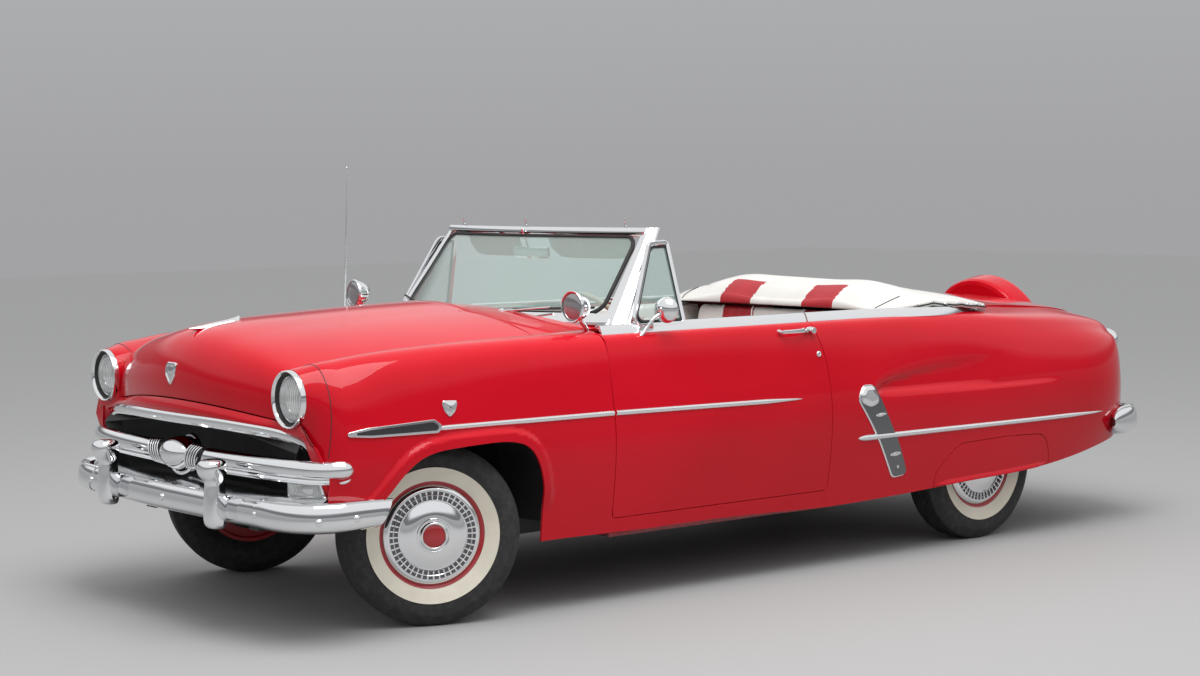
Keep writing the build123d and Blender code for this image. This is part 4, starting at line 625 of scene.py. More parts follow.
# The tail's rows lean: each point has a place of its own
TAIL = [mm((-2192, 755, 430), (-2205, 788, 600), (-2172, 782, 820), (-2175, 742, 872),
           (-2175, 700, 905), (-2165, 590, 905)),
        mm((-2240, 690, 440), (-2262, 712, 600), (-2235, 705, 820), (-2235, 690, 856),
           (-2240, 665, 880), (-2235, 585, 862)),
        mm((-2270, 597, 450), (-2299, 596, 600), (-2268, 594, 800), (-2266, 592, 830),
           (-2267, 588, 842), (-2270, 583, 815)), ]
QUARTER_END_X = -2.27
quarter_side = Skin(side_rows(REAR_SIDE) + TAIL, quarter_form)
SKIRT = outline(*mm(
    (-800, 200, 0), (-800, 345, 50), (-930, 462, 120), (-1245, 471, 1200), (-1500, 462, 90),
    (-1552, 350, 100), (-1535, 200, 0)))
for side in ("left", "right"):
    panel("quarter_" + side, quarter_side,
          quarter_side.steps(DOOR_REAR_X + DOOR_LEAN, QUARTER_END_X), SIDE_STEPS,
          [round_the_door, lambda p: reach(p[:, [0, 2]], SKIRT) - PANEL_GAP / 2], paint, "root",
          mirror=side == "right")
    skirt = panel("skirt_" + side, quarter_side, quarter_side.steps(-0.78, -1.57),
                  np.linspace(0, 1, 24), [lambda p: -reach(p[:, [0, 2]], SKIRT) - PANEL_GAP / 2],
                  paint, "root", mirror=side == "right")
    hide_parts("fender_skirts")

# Hood: one crowned pressing between the fender seams, hinged at its rear edge.
# A row is a station: place and height on the middle line, then at the seam width.
CROWN_Y = 0.690
HOOD = [(NOSE_X - 0.124, 0.833, NOSE_X - 0.250, 0.772),
        (NOSE_X - 0.120, 0.890, NOSE_X - 0.248, 0.826),
        (NOSE_X - 0.134, 0.960, NOSE_X - 0.256, 0.880),
        (NOSE_X - 0.182, 1.035, NOSE_X - 0.280, 0.922),
        (NOSE_X - 0.282, 1.082, NOSE_X - 0.332, 0.942),
        (FRONT_X + 0.350, 1.106, FRONT_X + 0.350, 0.965),
        (FRONT_X + 0.150, 1.117, FRONT_X + 0.150, 0.990),
        (FRONT_X - 0.100, 1.128, FRONT_X - 0.100, 1.012),
        (FRONT_X - 0.400, 1.137, FRONT_X - 0.400, 1.028), (HOOD_REAR_X, 1.137, HOOD_REAR_X, 1.031),
        ]


class Crowned(Skin):
    """A skin that is crowned across the car: v is the distance from the middle line."""

    def __init__(self, table, swell=0.0):
        self.table = np.array(table)
        self.swell = swell

    def __call__(self, u, v):
        u, v = np.broadcast_arrays(np.asarray(u, float), np.asarray(v, float))
        cx, cz, ex, ez = spline(np.arange(len(self.table)), self.table, u.ravel()).T
        y = v.ravel()
        share = (y / CROWN_Y) ** 2
        swell = self.swell * (1 - blend(np.abs(y), 0.05, 0.30)) * blend(u.ravel(), 0.5, 2.5)
        return np.column_stack([cx + (ex - cx) * share + swell * 0.5, y,
                                cz + (ez - cz) * share + swell]).reshape(*u.shape, 3)


def seam_y(x, table):
    """The seam's distance from the middle line at a place along the car."""
    rows = np.array(sorted(table))
    return HALF - spline(rows[:, 0], rows[:, 9:10], x)[:, 0]


hood_skin = Crowned(HOOD, 0.008)
hood = panel("hood_panel", hood_skin, np.linspace(0, 9, 100), np.linspace(-0.70, 0.70, 80),
             [lambda p: seam_y(np.minimum(p[:, 0], NOSE_X - 0.25), FENDER) - PANEL_GAP
              - np.abs(p[:, 1])], paint, "hood", outward=(0.3, 0, 1))
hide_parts("hood")


# Nose panel: the rounded strip between the hood's lip and the bright moulding of the mouth.
# Its stations: distance from the middle line, lower place and height, upper place and height
MOUTH_LINE = mm(
    (0, 2400, 761), (200, 2390, 760), (300, 2377, 758), (400, 2360, 754), (500, 2337, 748),
    (600, 2310, 740), (660, 2291, 731), (700, 2277, 722), (732, 2266, 710), (760, 2256, 691),
    (778, 2249, 664), (780, 2246, 640))
NOSE_STRIP = mm(
    (0, 2398, 770, 2396, 828), (200, 2388, 769, 2385, 823), (400, 2358, 763, 2350, 807),
    (560, 2319, 753, 2308, 788), (620, 2302, 746, 2298, 779), (700, 2276, 731, 2294, 752),
    (760, 2254, 702, 2290, 744), (800, 2246, 650, 2284, 722), (842, 2240, 600, 2270, 690))
strip_rows = [[(x, y, z), ((x + top_x) / 2 + 0.010, y, (z + top_z) / 2), (top_x, y, top_z)]
              for y, x, z, top_x, top_z in NOSE_STRIP]
strip_rows = [[(x, -y, z) for x, y, z in row] for row in strip_rows[:0:-1]] + strip_rows
nose_skin = Skin(strip_rows)
nose = panel("nose_strip", nose_skin, np.linspace(0, nose_skin.places[-1], 130),
             np.linspace(0, 2, 9), [], paint, "root", outward=(1, 0, 0), wall=0.004)
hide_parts("nose_panel")

# Cowl: the crowned steel panel between the hood and the windshield, welded in between the
# fenders and painted with them.
COWL_FRONT_X = HOOD_REAR_X - 0.006
COWL = [(COWL_FRONT_X, 1.137, COWL_FRONT_X, 1.031),
        (COWL_FRONT_X - 0.12, 1.128, COWL_FRONT_X - 0.12, 1.040),
        (COWL_FRONT_X - 0.24, 1.118, COWL_FRONT_X - 0.24, 1.050),
        (COWL_FRONT_X - 0.36, 1.108, COWL_FRONT_X - 0.36, 1.052)]
cowl_skin = Crowned(COWL)
cowl = panel("cowl_panel", cowl_skin, np.linspace(0, 3, 24), np.linspace(-0.72, 0.72, 80),
             [lambda p: seam_y(p[:, 0], FENDER) - PANEL_GAP / 2 - np.abs(p[:, 1]),
              lambda p: p[:, 0] - 1.055 + 0.21 * (np.abs(p[:, 1]) / 0.72) ** 2.2],
             paint, "root", outward=(0, 0, 1))

# Trunk lid: a crowned steel pressing that falls to the bumper, painted as the body, and
# hinged at its front edge.
LID = [(DECK_FRONT_X - 0.020, 1.066, DECK_FRONT_X - 0.020, 1.030),
       (REAR_X - 0.379, 1.062, REAR_X - 0.379, 1.020),
       (REAR_X - 0.629, 1.052, REAR_X - 0.629, 0.998),
       (TAIL_X + 0.454, 1.022, TAIL_X + 0.482, 0.962),
       (TAIL_X + 0.330, 0.945, TAIL_X + 0.362, 0.890),
       (TAIL_X + 0.262, 0.830, TAIL_X + 0.282, 0.790),
       (TAIL_X + 0.190, 0.690, TAIL_X + 0.236, 0.670),
       (TAIL_X + 0.136, 0.560, TAIL_X + 0.216, 0.560), ]
lid_skin = Crowned(LID)
lid = panel("lid_panel", lid_skin, np.linspace(0, 7, 90), np.linspace(-0.66, 0.66, 74),
            [lambda p: seam_y(np.maximum(p[:, 0], TAIL_X + 0.392), REAR_SIDE) - PANEL_GAP
             - np.abs(p[:, 1])], paint, "trunk_lid", outward=(-0.3, 0, 1))
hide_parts("trunk_lid")


# Finishes of the solid metal below the body: black frame, springs and axles, a grey
# engine, a dull exhaust, and dark red loop carpet over the floor.
def worn(name, colour, roughness, metallic=0.0, grain=90.0, spread=0.12, dirt=(0.05, 0.045, 0.04),
         height=0.0004):
    """A used surface: its colour drifts towards dirt, its roughness varies, and it has a grain."""
    made, wire = finish(name, colour, roughness, metallic)
    patch = wire.noise(9.0, 5.0).ramp(0.45, 0.80)
    rough = wire.noise(14.0, 4.0) * (2 * spread) + (roughness - spread)
    connect(made, Base_Color=(patch * 0.5).tint(colour, dirt), Roughness=rough,
            Normal=wire.noise(grain, 3.0).bump(0.35, height))
    return made


carpet, wire = finish("loop_carpet", (0.16, 0.010, 0.014), 0.95, Sheen_Weight=0.25)
loops = wire.node("TexVoronoi", {}, {"Vector": wire.place(), "Scale": 420.0})
connect(carpet, Normal=loops.bump(0.8, 0.002),
        Base_Color=wire.noise(30.0, 4.0).ramp(0.3, 0.7).tint((0.20, 0.012, 0.016),
                                                             (0.10, 0.006, 0.010)))
frame_black = worn("chassis_black", (0.022, 0.022, 0.023), 0.55)
engine_grey = worn("engine_castings", (0.13, 0.15, 0.16), 0.6, 0.3, grain=240.0)
pipe_metal = worn("exhaust_steel", (0.26, 0.24, 0.22), 0.5, 0.8, dirt=(0.16, 0.08, 0.045))
NODE_FINISH = {"floor_pan": carpet, "chassis_frame": frame_black, "front_suspension": frame_black,
               "rear_axle": frame_black, "leaf_springs": frame_black, "driveshaft": frame_black,
               "radiator": frame_black, "fuel_tank": frame_black, "knuckle_left": frame_black,
               "knuckle_right": frame_black, "engine": engine_grey, "exhaust": pipe_metal,
               "rear_panel": paint, }
for node, material in NODE_FINISH.items():
    for slot in bpy.data.objects[node].material_slots:
        slot.material = material

# Tyres: black rubber moulded with a wide cream sidewall band, a ribbed tread and a fine
# raised line at the shoulder, fitted on the rims.
RIM_FLANGE = 0.208
TYRE_R = 0.337
TYRE_HALF = 0.086
BEAD_R = 0.1990
BULGE_R = 0.274
FLANGE_HALF = 0.070
SHOULDER_R = TYRE_R - 0.006
SHOULDER_HALF = 0.063
PARK_STEER = math.radians(-20.0)
KINGPIN_Y = 0.6185
CORNERS = [("front_left", FRONT_X, 0.7365, 1), ("front_right", FRONT_X, 0.7365, -1),
           ("rear_left", REAR_X, 0.711, 1), ("rear_right", REAR_X, 0.711, -1)]


def piece(name, verts, faces, material, body, slot, smooth=38):
    """A mesh of points and faces on a body, smooth but for edges sharper than an angle."""
    mesh = bpy.data.meshes.new(name)
    mesh.from_pydata([tuple(map(float, v)) for v in verts], [], [tuple(f) for f in faces])
    mesh.shade_smooth()
    mesh.set_sharp_from_angle(angle=math.radians(smooth))
    mesh.materials.append(material)
    made = bpy.data.objects.new(name, mesh)
    bpy.context.collection.objects.link(made)
    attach(made, body)
    return made


def lathe(profile, steps=96, centre=(0, 0, 0), axis=(0, 1, 0)):
    """Points and faces of a profile (radius, distance along the axis) turned about the axis.
    A profile whose ends meet is closed, and a radius of 0 is a pole."""
    axis = Vector(axis).normalized()
    first = axis.orthogonal().normalized()
    second = axis.cross(first)
    closed = tuple(profile[0]) == tuple(profile[-1])
    rows = profile[:-1] if closed else profile
    verts, rings = [], []
    for radius, along in rows:
        base = Vector(centre) + axis * along
        count = 1 if radius == 0 else steps
        rings.append([len(verts) + k for k in range(count)])
        for k in range(count):
            turn = 2 * math.pi * k / steps
            verts.append(base + first * radius * math.cos(turn) + second * radius * math.sin(turn))
    faces = []
    pairs = list(zip(rings, rings[1:])) + ([(rings[-1], rings[0])] if closed else [])
    for low, high in pairs:
        for k in range(steps):
            quad = [low[k % len(low)], low[(k + 1) % len(low)], high[(k + 1) % len(high)],
                    high[k % len(high)]]
            corners = list(dict.fromkeys(quad))
            if len(corners) > 2:
                faces.append(corners)
    return verts, faces


def joined(*parts):
    """Several parts of points and faces as one."""
    verts, faces = [], []
    for some, corners in parts:
        faces += [[i + len(verts) for i in f] for f in corners]
        verts += list(some)
    return verts, faces


def at_corner(verts, x, y, side):
    """Puts a wheel part, made about the Y axis with its face to +Y, at one corner."""
    turn = Matrix.Rotation(0 if side > 0 else math.pi, 4, "Z")
    move = Matrix.Translation((x, side * y, AXLE_Z))
    if x == FRONT_X:
        pin = Vector((FRONT_X, side * KINGPIN_Y, 0))
        move = Matrix.Translation(pin) @ Matrix.Rotation(PARK_STEER, 4,
                                                         "Z") @ Matrix.Translation(-pin) @ move
    return [move @ turn @ Vector(v) for v in verts]


rubber, wire = finish("tyre_rubber", (0.018, 0.018, 0.019), 0.72)
connect(rubber, Base_Color=wire.noise(40.0, 5.0).ramp(0.4, 0.8).tint((0.018, 0.018, 0.019),
                                                                     (0.045, 0.042, 0.040)),
        Normal=wire.noise(500.0, 2.0).bump(0.3, 0.0004))
band, wire = finish("cream_band", (0.80, 0.75, 0.63), 0.48)
connect(band, Base_Color=wire.noise(12.0, 5.0).ramp(0.4, 0.85).tint((0.82, 0.77, 0.65),
                                                                    (0.72, 0.67, 0.55)),
        Normal=wire.noise(300.0, 2.0).bump(0.12, 0.0003))
BAND_IN = 0.2025
BAND_OUT = 0.2525


def sidewall(radius):
    """How far out the tyre's side stands at a radius."""
    if radius < BULGE_R:
        turn = (radius - RIM_FLANGE) / (BULGE_R - RIM_FLANGE) * math.pi / 2
        return FLANGE_HALF + (TYRE_HALF - FLANGE_HALF) * math.sin(turn)
    turn = (radius - BULGE_R) / (SHOULDER_R - BULGE_R) * math.pi / 2
    return SHOULDER_HALF + (TYRE_HALF - SHOULDER_HALF) * math.cos(turn) ** 0.7


side_line = [(r, sidewall(r)) for r in (BEAD_R, 0.2008, BAND_IN + 0.002, 0.215, 0.234,
                                        BAND_OUT - 0.002)]
band_foot = sidewall(BAND_OUT)
black_line = ([(BAND_OUT - 0.001, band_foot + 0.0012), (BAND_OUT + 0.0015, band_foot + 0.0018),
               (BAND_OUT + 0.004, band_foot)]
              + [(r, sidewall(r) + bead)
                 for r, bead in ((0.268, 0), (0.290, 0), (0.300, 0.0012), (0.303, 0), (0.318, 0),
                                 (0.326, 0))] + [(SHOULDER_R, 0.0635)])
GROOVES = [0.046, 0.030, 0.010, -0.010, -0.030, -0.046]
tread = [(0.335, 0.060)]
for groove in GROOVES:
    tread += [(TYRE_R, groove + 0.0035), (TYRE_R - 0.007, groove + 0.0022),
              (TYRE_R - 0.007, groove - 0.0022), (TYRE_R, groove - 0.0035)]
tread += [(0.335, -0.060)]
back_line = [(r, -w) for r, w in reversed(black_line) if r > BAND_OUT + 0.003]
back_line += [(BAND_OUT, -band_foot), (0.235, -sidewall(0.235)), (0.2085, -0.066), (BEAD_R, -0.056)]
tyre_profile = ([(BEAD_R, 0.056)] + side_line[:2] + [(BAND_IN, sidewall(BAND_IN) - 0.0006)]
                + side_line[2:] + black_line + tread + back_line + [(BEAD_R, 0.056)])
for name, x, y, side in CORNERS:
    verts, faces = lathe(tyre_profile, 128)
    tyre = piece("tyre_" + name + "_rubber", at_corner(verts, x, y, side), faces, rubber,
                 "wheel_" + name, "tyre_rubber", 30)
    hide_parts("tyre_" + name)
    tyre.data.materials.append(band)
    for face in tyre.data.polygons:
        radii = [math.hypot(verts[i][0], verts[i][2]) for i in face.vertices]
        if 0.1986 < sum(radii) / 4 < BAND_OUT - 0.0005 and verts[face.vertices[0]][1] > 0.06:
            face.material_index = 1

# Wheels: a red steel rim with a full bright cover: smooth outer ring, a ring of small
# radial slots, a shallow dish, and a hub boss round a plain red button.
rim_paint, wire = finish("rim_enamel", (0.42, 0.004, 0.012), 0.3, Coat_Weight=0.8,
                         Coat_Roughness=0.08)
connect(rim_paint, Normal=wire.noise(300.0, 1.0).bump(0.05, 0.001))
chrome, wire = finish("bright_plating", (0.84, 0.85, 0.86), 0.05, 1.0)
connect(chrome, Roughness=wire.noise(6.0, 4.0) * 0.05 + 0.03,
        Normal=wire.noise(35.0, 2.0).bump(0.03, 0.0006))
slot_black, wire = finish("slot_shadow", (0.16, 0.16, 0.17), 0.35, 1.0)
connect(slot_black, Roughness=wire.noise(50.0) * 0.3 + 0.2)
SLOTS = 44
SLOT_IN = 0.1325
SLOT_OUT = 0.1630
rim_profile = mm(
    (150, -55), (186, -55), (192, -64), (208, -64), (208, -58), (193, -50), (190, -30), (190, 30),
    (194, 52), (207.5, 58), (208, 63), (205, 65.5), (198, 64), (190, 58.5), (183, 52), (176, 50),
    (150, 46), (150, -55))
cover_profile = [(0.1567, 0.048), (0.1839, 0.052), (0.1876, 0.0555), (0.1876, 0.0585),
                 (0.1860, 0.0605), (0.1808, 0.0660), (0.1735, 0.0715), (0.1662, 0.0745),
                 (SLOT_OUT, 0.0735), (SLOT_OUT - 0.001, 0.0690), (0.1489, 0.0690), (0.1489, 0.0690),
                 (SLOT_IN + 0.001, 0.0690), (SLOT_IN, 0.0745), (0.1311, 0.0762), (0.1280, 0.0757),
                 (0.1270, 0.0735), (0.1244, 0.0740), (0.1097, 0.0800), (0.0920, 0.0855),
                 (0.0732, 0.0890), (0.0653, 0.0893), (0.0640, 0.0925), (0.0585, 0.0937),
                 (0.0560, 0.0925), (0.0550, 0.0905), (0.0530, 0.0915), (0.0500, 0.0960),
                 (0.0465, 0.0975), (0.0430, 0.0960), (0.0415, 0.0925), (0.0410, 0.0600),
                 (0.1567, 0.048)]
button_profile = mm((41.2, 85), (41.2, 92.5), (36, 95), (22, 97.2), (0, 98))
ring_profile = mm((146.8, 69.2), (147.1, 73.8), (148.8, 75), (150.5, 73.8), (150.8, 69.2))
rib_parts = [lathe(ring_profile, 120)]
for k in range(SLOTS):
    turn = Matrix.Rotation(2 * math.pi * k / SLOTS, 4, "Y")
    rib = [(-0.0030, 0.0688, SLOT_IN), (0.0030, 0.0688, SLOT_IN), (0.0022, 0.0742, SLOT_IN),
           (-0.0022, 0.0742, SLOT_IN), (-0.0038, 0.0688, SLOT_OUT), (0.0038, 0.0688, SLOT_OUT),
           (0.0030, 0.0742, SLOT_OUT), (-0.0030, 0.0742, SLOT_OUT)]
    quads = [(0, 1, 5, 4), (1, 2, 6, 5), (2, 3, 7, 6), (3, 0, 4, 7)]
    rib_parts.append(([turn @ Vector(v) for v in rib], quads))
ribs = joined(*rib_parts)
for name, x, y, side in CORNERS:
    body = "wheel_" + name
    rim = lathe(rim_profile, 96)
    made = piece("rim_" + name, at_corner(rim[0], x, y, side), rim[1], rim_paint, body,
                 "wheel_paint")
    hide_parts("wheel_" + name)
    cover = lathe(cover_profile, 120)
    made = piece("cover_" + name, at_corner(cover[0], x, y, side), cover[1], chrome, body,
                 "bright_metal", 50)
    made.data.materials.append(slot_black)
    for face in made.data.polygons:
        spots = [cover[0][i] for i in face.vertices]
        radius = sum(math.hypot(v[0], v[2]) for v in spots) / len(spots)
        outs = [v[1] for v in spots]
        if SLOT_IN < radius < SLOT_OUT and min(outs) > 0.06 and max(outs) < 0.0692:
            face.material_index = 1
    piece("cover_ribs_" + name, at_corner(ribs[0], x, y, side), ribs[1], chrome, body,
          "bright_metal", 30)
    button = lathe(button_profile, 48)
    piece("hub_button_" + name, at_corner(button[0], x, y, side), button[1], rim_paint, body,
          "wheel_paint")

# Bumpers: plated pressed blades with an upper ledge and a rolled lower edge. The front one
# is three lengths bolted end to end, with a cast guard bolted over each bracket.
bright_trim, wire = finish("stainless_trim", (0.86, 0.87, 0.88), 0.14, 1.0)
connect(bright_trim, Roughness=wire.noise(9.0, 4.0) * 0.10 + 0.10,
        Normal=wire.noise(60.0, 2.0).bump(0.04, 0.0004))


def smooth_line(points, count):
    """Even points of a smooth curve through a few points."""
    points = np.asarray(points, float)
    marks = np.concatenate([[0], np.cumsum(np.linalg.norm(np.diff(points, axis=0), axis=1))])
    return spline(marks, points, np.linspace(0, marks[-1], count))


def across(half):
    """A line across the car from its left half, which starts on the middle line."""
    half = np.asarray(half, float)
    return np.vstack([half[:0:-1] * (1, -1, 1), half])


def tube(rings, capped=True, looped=False):
    """Points and faces of a skin through closed rings of as many points each."""
    rings = np.asarray(rings, float)
    count, size = rings.shape[:2]
    faces = [(i * size + k, i * size + (k + 1) % size, (i + 1) % count * size + (k + 1) % size,
              (i + 1) % count * size + k) for i in range(count - (0 if looped else 1))
             for k in range(size)]
    if capped and not looped:
        faces += [tuple(range(size))[::-1], tuple((count - 1) * size + k for k in range(size))]
    return list(rings.reshape(-1, 3)), faces


def sweep(path, outs, section, sizes=1.0, lean=0.0):
    """A closed section of (up, out) carried along a path that runs from right to left, or
    to the rear on the left side. lean slants the ends: it is a shift along the path for
    each metre up."""
    path = np.asarray(path, float)
    marks = np.concatenate([[0], np.cumsum(np.linalg.norm(np.diff(path, axis=0), axis=1))])
    ahead = unit(np.gradient(path, axis=0))
    ups = unit(np.cross(np.broadcast_to(np.asarray(outs, float), path.shape), ahead))
    frames = np.hstack([path, ups, np.cross(ahead, ups)])
    section = np.asarray(section, float)
    sizes = np.broadcast_to(np.asarray(sizes, float).reshape(-1, 1 if np.ndim(sizes) < 2 else 2),
                            (len(path), 2))
    lean = np.broadcast_to(lean, len(path))
    rings = []
    for mark, size, slant in zip(marks, sizes, lean):
        up, out = section[:, 0] * size[0], section[:, 1] * size[1]
        at = mark + slant * up
        here = np.column_stack([np.interp(at, marks, frames[:, k]) for k in range(9)])
        over = np.maximum(at - marks[-1], 0) + np.minimum(at, 0)
        rings.append(here[:, :3] + here[:, 3:6] * up[:, None] + here[:, 6:] * out[:, None]
                     + ahead[0 if mark < marks[-1] / 2 else -1] * over[:, None])
    return tube(rings)


def mirrored(part, side=-1):
    """A part of points and faces on the other side of the middle line, for a side of -1."""
    verts, faces = part
    return [(v[0], side * v[1], v[2])
            for v in verts], ([f[::-1] for f in faces] if side < 0 else faces)


def pair(part):
    """A part of the left side and its mirror image."""
    return [part, mirrored(part)]


def dome(place, out, radius, rise, steps=24):
    """A round bolt head or button that stands on a surface."""
    line = [(radius * 0.96, -rise * 0.4), (radius, rise * 0.25), (radius * 0.86, rise * 0.62),
            (radius * 0.55, rise * 0.90), (0, rise)]
    return lathe(line, steps, place, out)


BUMPER_MID_Z = 0.461
# The blade's line: how far back it is, and its distance from the middle
BLADE_LINE = mm(
    (72, 0), (75.5, 200), (83, 400), (95.5, 600), (114, 770), (145, 845), (185, 890), (237, 919),
    (302, 934), (382, 936.5), (462, 935.5))
BLADE_FACE = mm(
    (51, -40), (55.5, -18), (53, -12), (46, -12.5), (41, -8.5), (36, -5), (20, -0.5), (0, 2.5),
    (-18, 3), (-30, 0), (-41, -8.5), (-50, -24), (-54.5, -45))
BLADE_SECTION = BLADE_FACE + [(up * 0.94, out - 0.0045) for up, out in reversed(BLADE_FACE)]
half_line = smooth_line([(NOSE_X - back, y, BUMPER_MID_Z) for back, y in BLADE_LINE], 70)
middle_end = int(np.argmin(np.abs(half_line[:, 1] - 0.745)))


def out_from(path, inside=(1.6, 0)):
    """The level way out of the car at each point of a line round its end."""
    return unit((path - (*inside, 0)) * (1, 1, 0))


blade_mid = across(half_line[:middle_end])
# The wings lap over the middle length by a few millimetres, with slanted ends
bumper_parts = [sweep(blade_mid, (1, 0, 0), BLADE_SECTION)]
wing_line = half_line[middle_end - 6:]
count = len(wing_line)
number = np.arange(count)
wing_size = np.column_stack([np.interp(number, [0, 3, count - 8, count - 1],
                                       [1.0, 1.035, 1.02, 0.93])] * 2)
wing_lean = -0.45 * (1 - blend(number, 1, 12)) + 0.62 * blend(number, count - 12, count - 2)
wing_out = out_from(wing_line)
wing = sweep(wing_line + wing_out * 0.004, wing_out, BLADE_SECTION, wing_size, wing_lean)
bumper_parts += pair(wing)
blade = piece("front_blade", *joined(*bumper_parts), chrome, "root", "bright_metal", 30)
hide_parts("front_bumper")
bolts = [dome((NOSE_X - 0.071, 0, 0.462), (1, 0, 0.1), 0.0135, 0.010)]
for x, y, z in ((NOSE_X - 0.0975, 0.640, 0.462), (NOSE_X - 0.199, 0.903, 0.452),
                (NOSE_X - 0.330, 0.9385, 0.457)):
    head = dome((x, y, z), (1, 0.05, 0.1) if y < 0.8 else (0.45, 1, 0.1), 0.0135, 0.011)
    bolts += pair(head)
# A guard's levels: height, front, back and half width
GUARD_Y = 0.420
GUARD = mm(
    (391, 2462, 2428, 20), (396, 2476, 2420, 31), (410, 2486, 2416, 36.5), (440, 2490, 2414, 37.5),
    (500, 2488, 2414, 37), (540, 2484, 2416, 35), (562, 2486, 2418, 35), (578, 2499, 2414, 42),
    (596, 2509, 2409, 47.5), (614, 2511, 2406, 50), (630, 2506, 2410, 46.5), (640, 2493, 2419, 37),
    (644.5, 2474, 2433, 22))


def guard(y, levels):
    """A cast bumper guard: rounded levels from its foot up to its head."""
    rings = []
    turns = np.linspace(0, 2 * math.pi, 28, endpoint=False)
    for z, front, back, half_width in levels:
        c, s = np.cos(turns), np.sin(turns)
        c, s = np.sign(c) * np.abs(c) ** 0.72, np.sign(s) * np.abs(s) ** 0.72
        rings.append(np.column_stack([(front + back) / 2 + c * (front - back) / 2,
                                      y + s * half_width, c * 0 + z]))
    return tube(rings)


def guards(y, table):
    """The two guards of a bumper, through a table's levels."""
    levels = spline(np.arange(len(table)), np.array(table), np.linspace(0, len(table) - 1, 37))
    return joined(guard(y, levels), guard(-y, levels))


piece("front_guards", *guards(GUARD_Y, GUARD), chrome, "root", "bright_metal", 50)
piece("bumper_bolts", *joined(*bolts), chrome, "root", "bright_metal", 60)
black_rubber = worn("black_rubber", (0.016, 0.016, 0.017), 0.7, grain=300.0)
plugs = [dome((2.468, s * (GUARD_Y + 0.0375), 0.6300), (0.35, s * 0.75, 0.55), 0.0095, 0.003)
         for s in (1, -1)]
piece("guard_plugs", *joined(*plugs), black_rubber, "root", "chassis_black", 60)
BRACKET_Y = 0.400
arms = []
for y in (BRACKET_Y, -BRACKET_Y):
    line = smooth_line([(NOSE_X - 0.230, y, 0.433), (NOSE_X - 0.170, y, 0.437),
                        (NOSE_X - 0.083, y * 1.03, 0.450)], 12)
    arms.append(sweep(line, (0, 1, 0),
                      outline(*mm((22, 4, 1.5), (22, -4, 1.5), (-22, -4, 1.5), (-22, 4, 1.5)))))
piece("front_bumper_arms", *joined(*arms), frame_black, "root", "bright_metal", 30)

# Splash apron: a plain bright pressing, bolted under the grille, that closes the gap to
# the bumper.
apron_rows = []
for share in np.linspace(0, 1, 9):
    row = across(smooth_line([(NOSE_X - 0.108, 0, 0.512), (NOSE_X - 0.120, 0.40, 0.512),
                              (NOSE_X - 0.150, 0.72, 0.512), (NOSE_X - 0.235, 0.868, 0.512)], 40))
    row[:, 0] -= share * 0.125 * (1 - 0.45 * (np.abs(row[:, 1]) / 0.868) ** 6)
    row[:, 2] += 0.020 * math.sin(share * math.pi / 2) + 0.006 * math.sin(share * math.pi)
    apron_rows.append(row)
apron = Skin(apron_rows)
panel("splash_apron", apron, np.linspace(0, apron.places[-1], 9), np.linspace(0, 78, 79), [],
      bright_trim, "root", "stainless", outward=(0.3, 0, 1), wall=0.003, hem=0.0006)

# Grille: an arched bright moulding with turned-down ends, a floating plated bar with rounded
# ends on a black core, and an egg-shaped boss in a plated ring with five ribs on each side.
moulding_half = smooth_line([(x, y, z) for y, x, z in MOUTH_LINE], 60)
moulding_path = across(moulding_half)
moulding_out = unit(np.column_stack([np.ones(len(moulding_path)), moulding_path[:, 1] * 0.5,
                                    0.15 * np.ones(len(moulding_path))]))
MOULDING_SECTION = mm(
    (19, -14), (20, 0), (17, 9), (9, 14.5), (0, 15), (-8, 11.5), (-10.5, 8.5), (-19, 0), (-20, -12))
moulding_size = np.interp(np.abs(moulding_path[:, 1]), [0, 0.70, 0.78], [1.0, 1.0, 1.15])
moulding = piece("grille_moulding",
                 *sweep(moulding_path, moulding_out, MOULDING_SECTION, moulding_size), chrome,
                 "root", "bright_metal", 28)
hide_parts("grille")
teeth = []
for i in range(4, len(moulding_path) - 5):
    for share in (0.0, 0.34, 0.67):
        here = moulding_path[i] * (1 - share) + moulding_path[i + 1] * share
        out = moulding_out[i]
        ahead = unit(moulding_path[i + 1] - moulding_path[i])
        up = np.cross(out, ahead)
        base = here + up * -0.0135 + out * 0.0045
        half = ahead * 0.0016
        tip = out * 0.0022 - up * 0.0012
        ends = [base + up * 0.0045 + out * 0.003, base - up * 0.0045 - out * 0.003]
        verts = [e + s * half for e in ends for s in (-1, 1)] + [e + tip for e in ends]
        teeth.append((verts, [(0, 2, 5, 4), (1, 4, 5, 3), (0, 4, 1), (2, 3, 5)]))
piece("moulding_teeth", *joined(*teeth), chrome, "root", "bright_metal", 20)
# The bar's line: how far back it is, its distance from the middle, and its rise
BAR_LINE = mm(
    (150, 0, 0), (153, 200, 0), (163, 400, 0), (182, 600, 0), (212, 760, 0), (248, 845, 0),
    (290, 888, 2), (345, 902, 4))
bar_path = smooth_line([(NOSE_X - back, y, BAR_Z + rise) for back, y, rise in BAR_LINE], 110)[23:]
BAR_SECTION = mm(
    (30, -30), (38, -18), (40, -4), (36, 10), (26, 21), (12, 27), (-4, 28), (-17, 21), (-25.5, 10),
    (-29, 4), (-32, 5), (-37, 9), (-43, 7), (-46, 0), (-45, -12), (-36, -26))
steps_in = np.arange(len(bar_path))[::-1]
bar_size = np.sqrt(1 - (1 - np.clip((steps_in + 0.15) / 5.0, 0, 1)) ** 2)
bar_out = out_from(bar_path, (1.9, 0))
bar_half = sweep(bar_path, bar_out, BAR_SECTION, bar_size,
                 0.30 * (1 - blend(np.arange(len(bar_path)), 0, 10)))
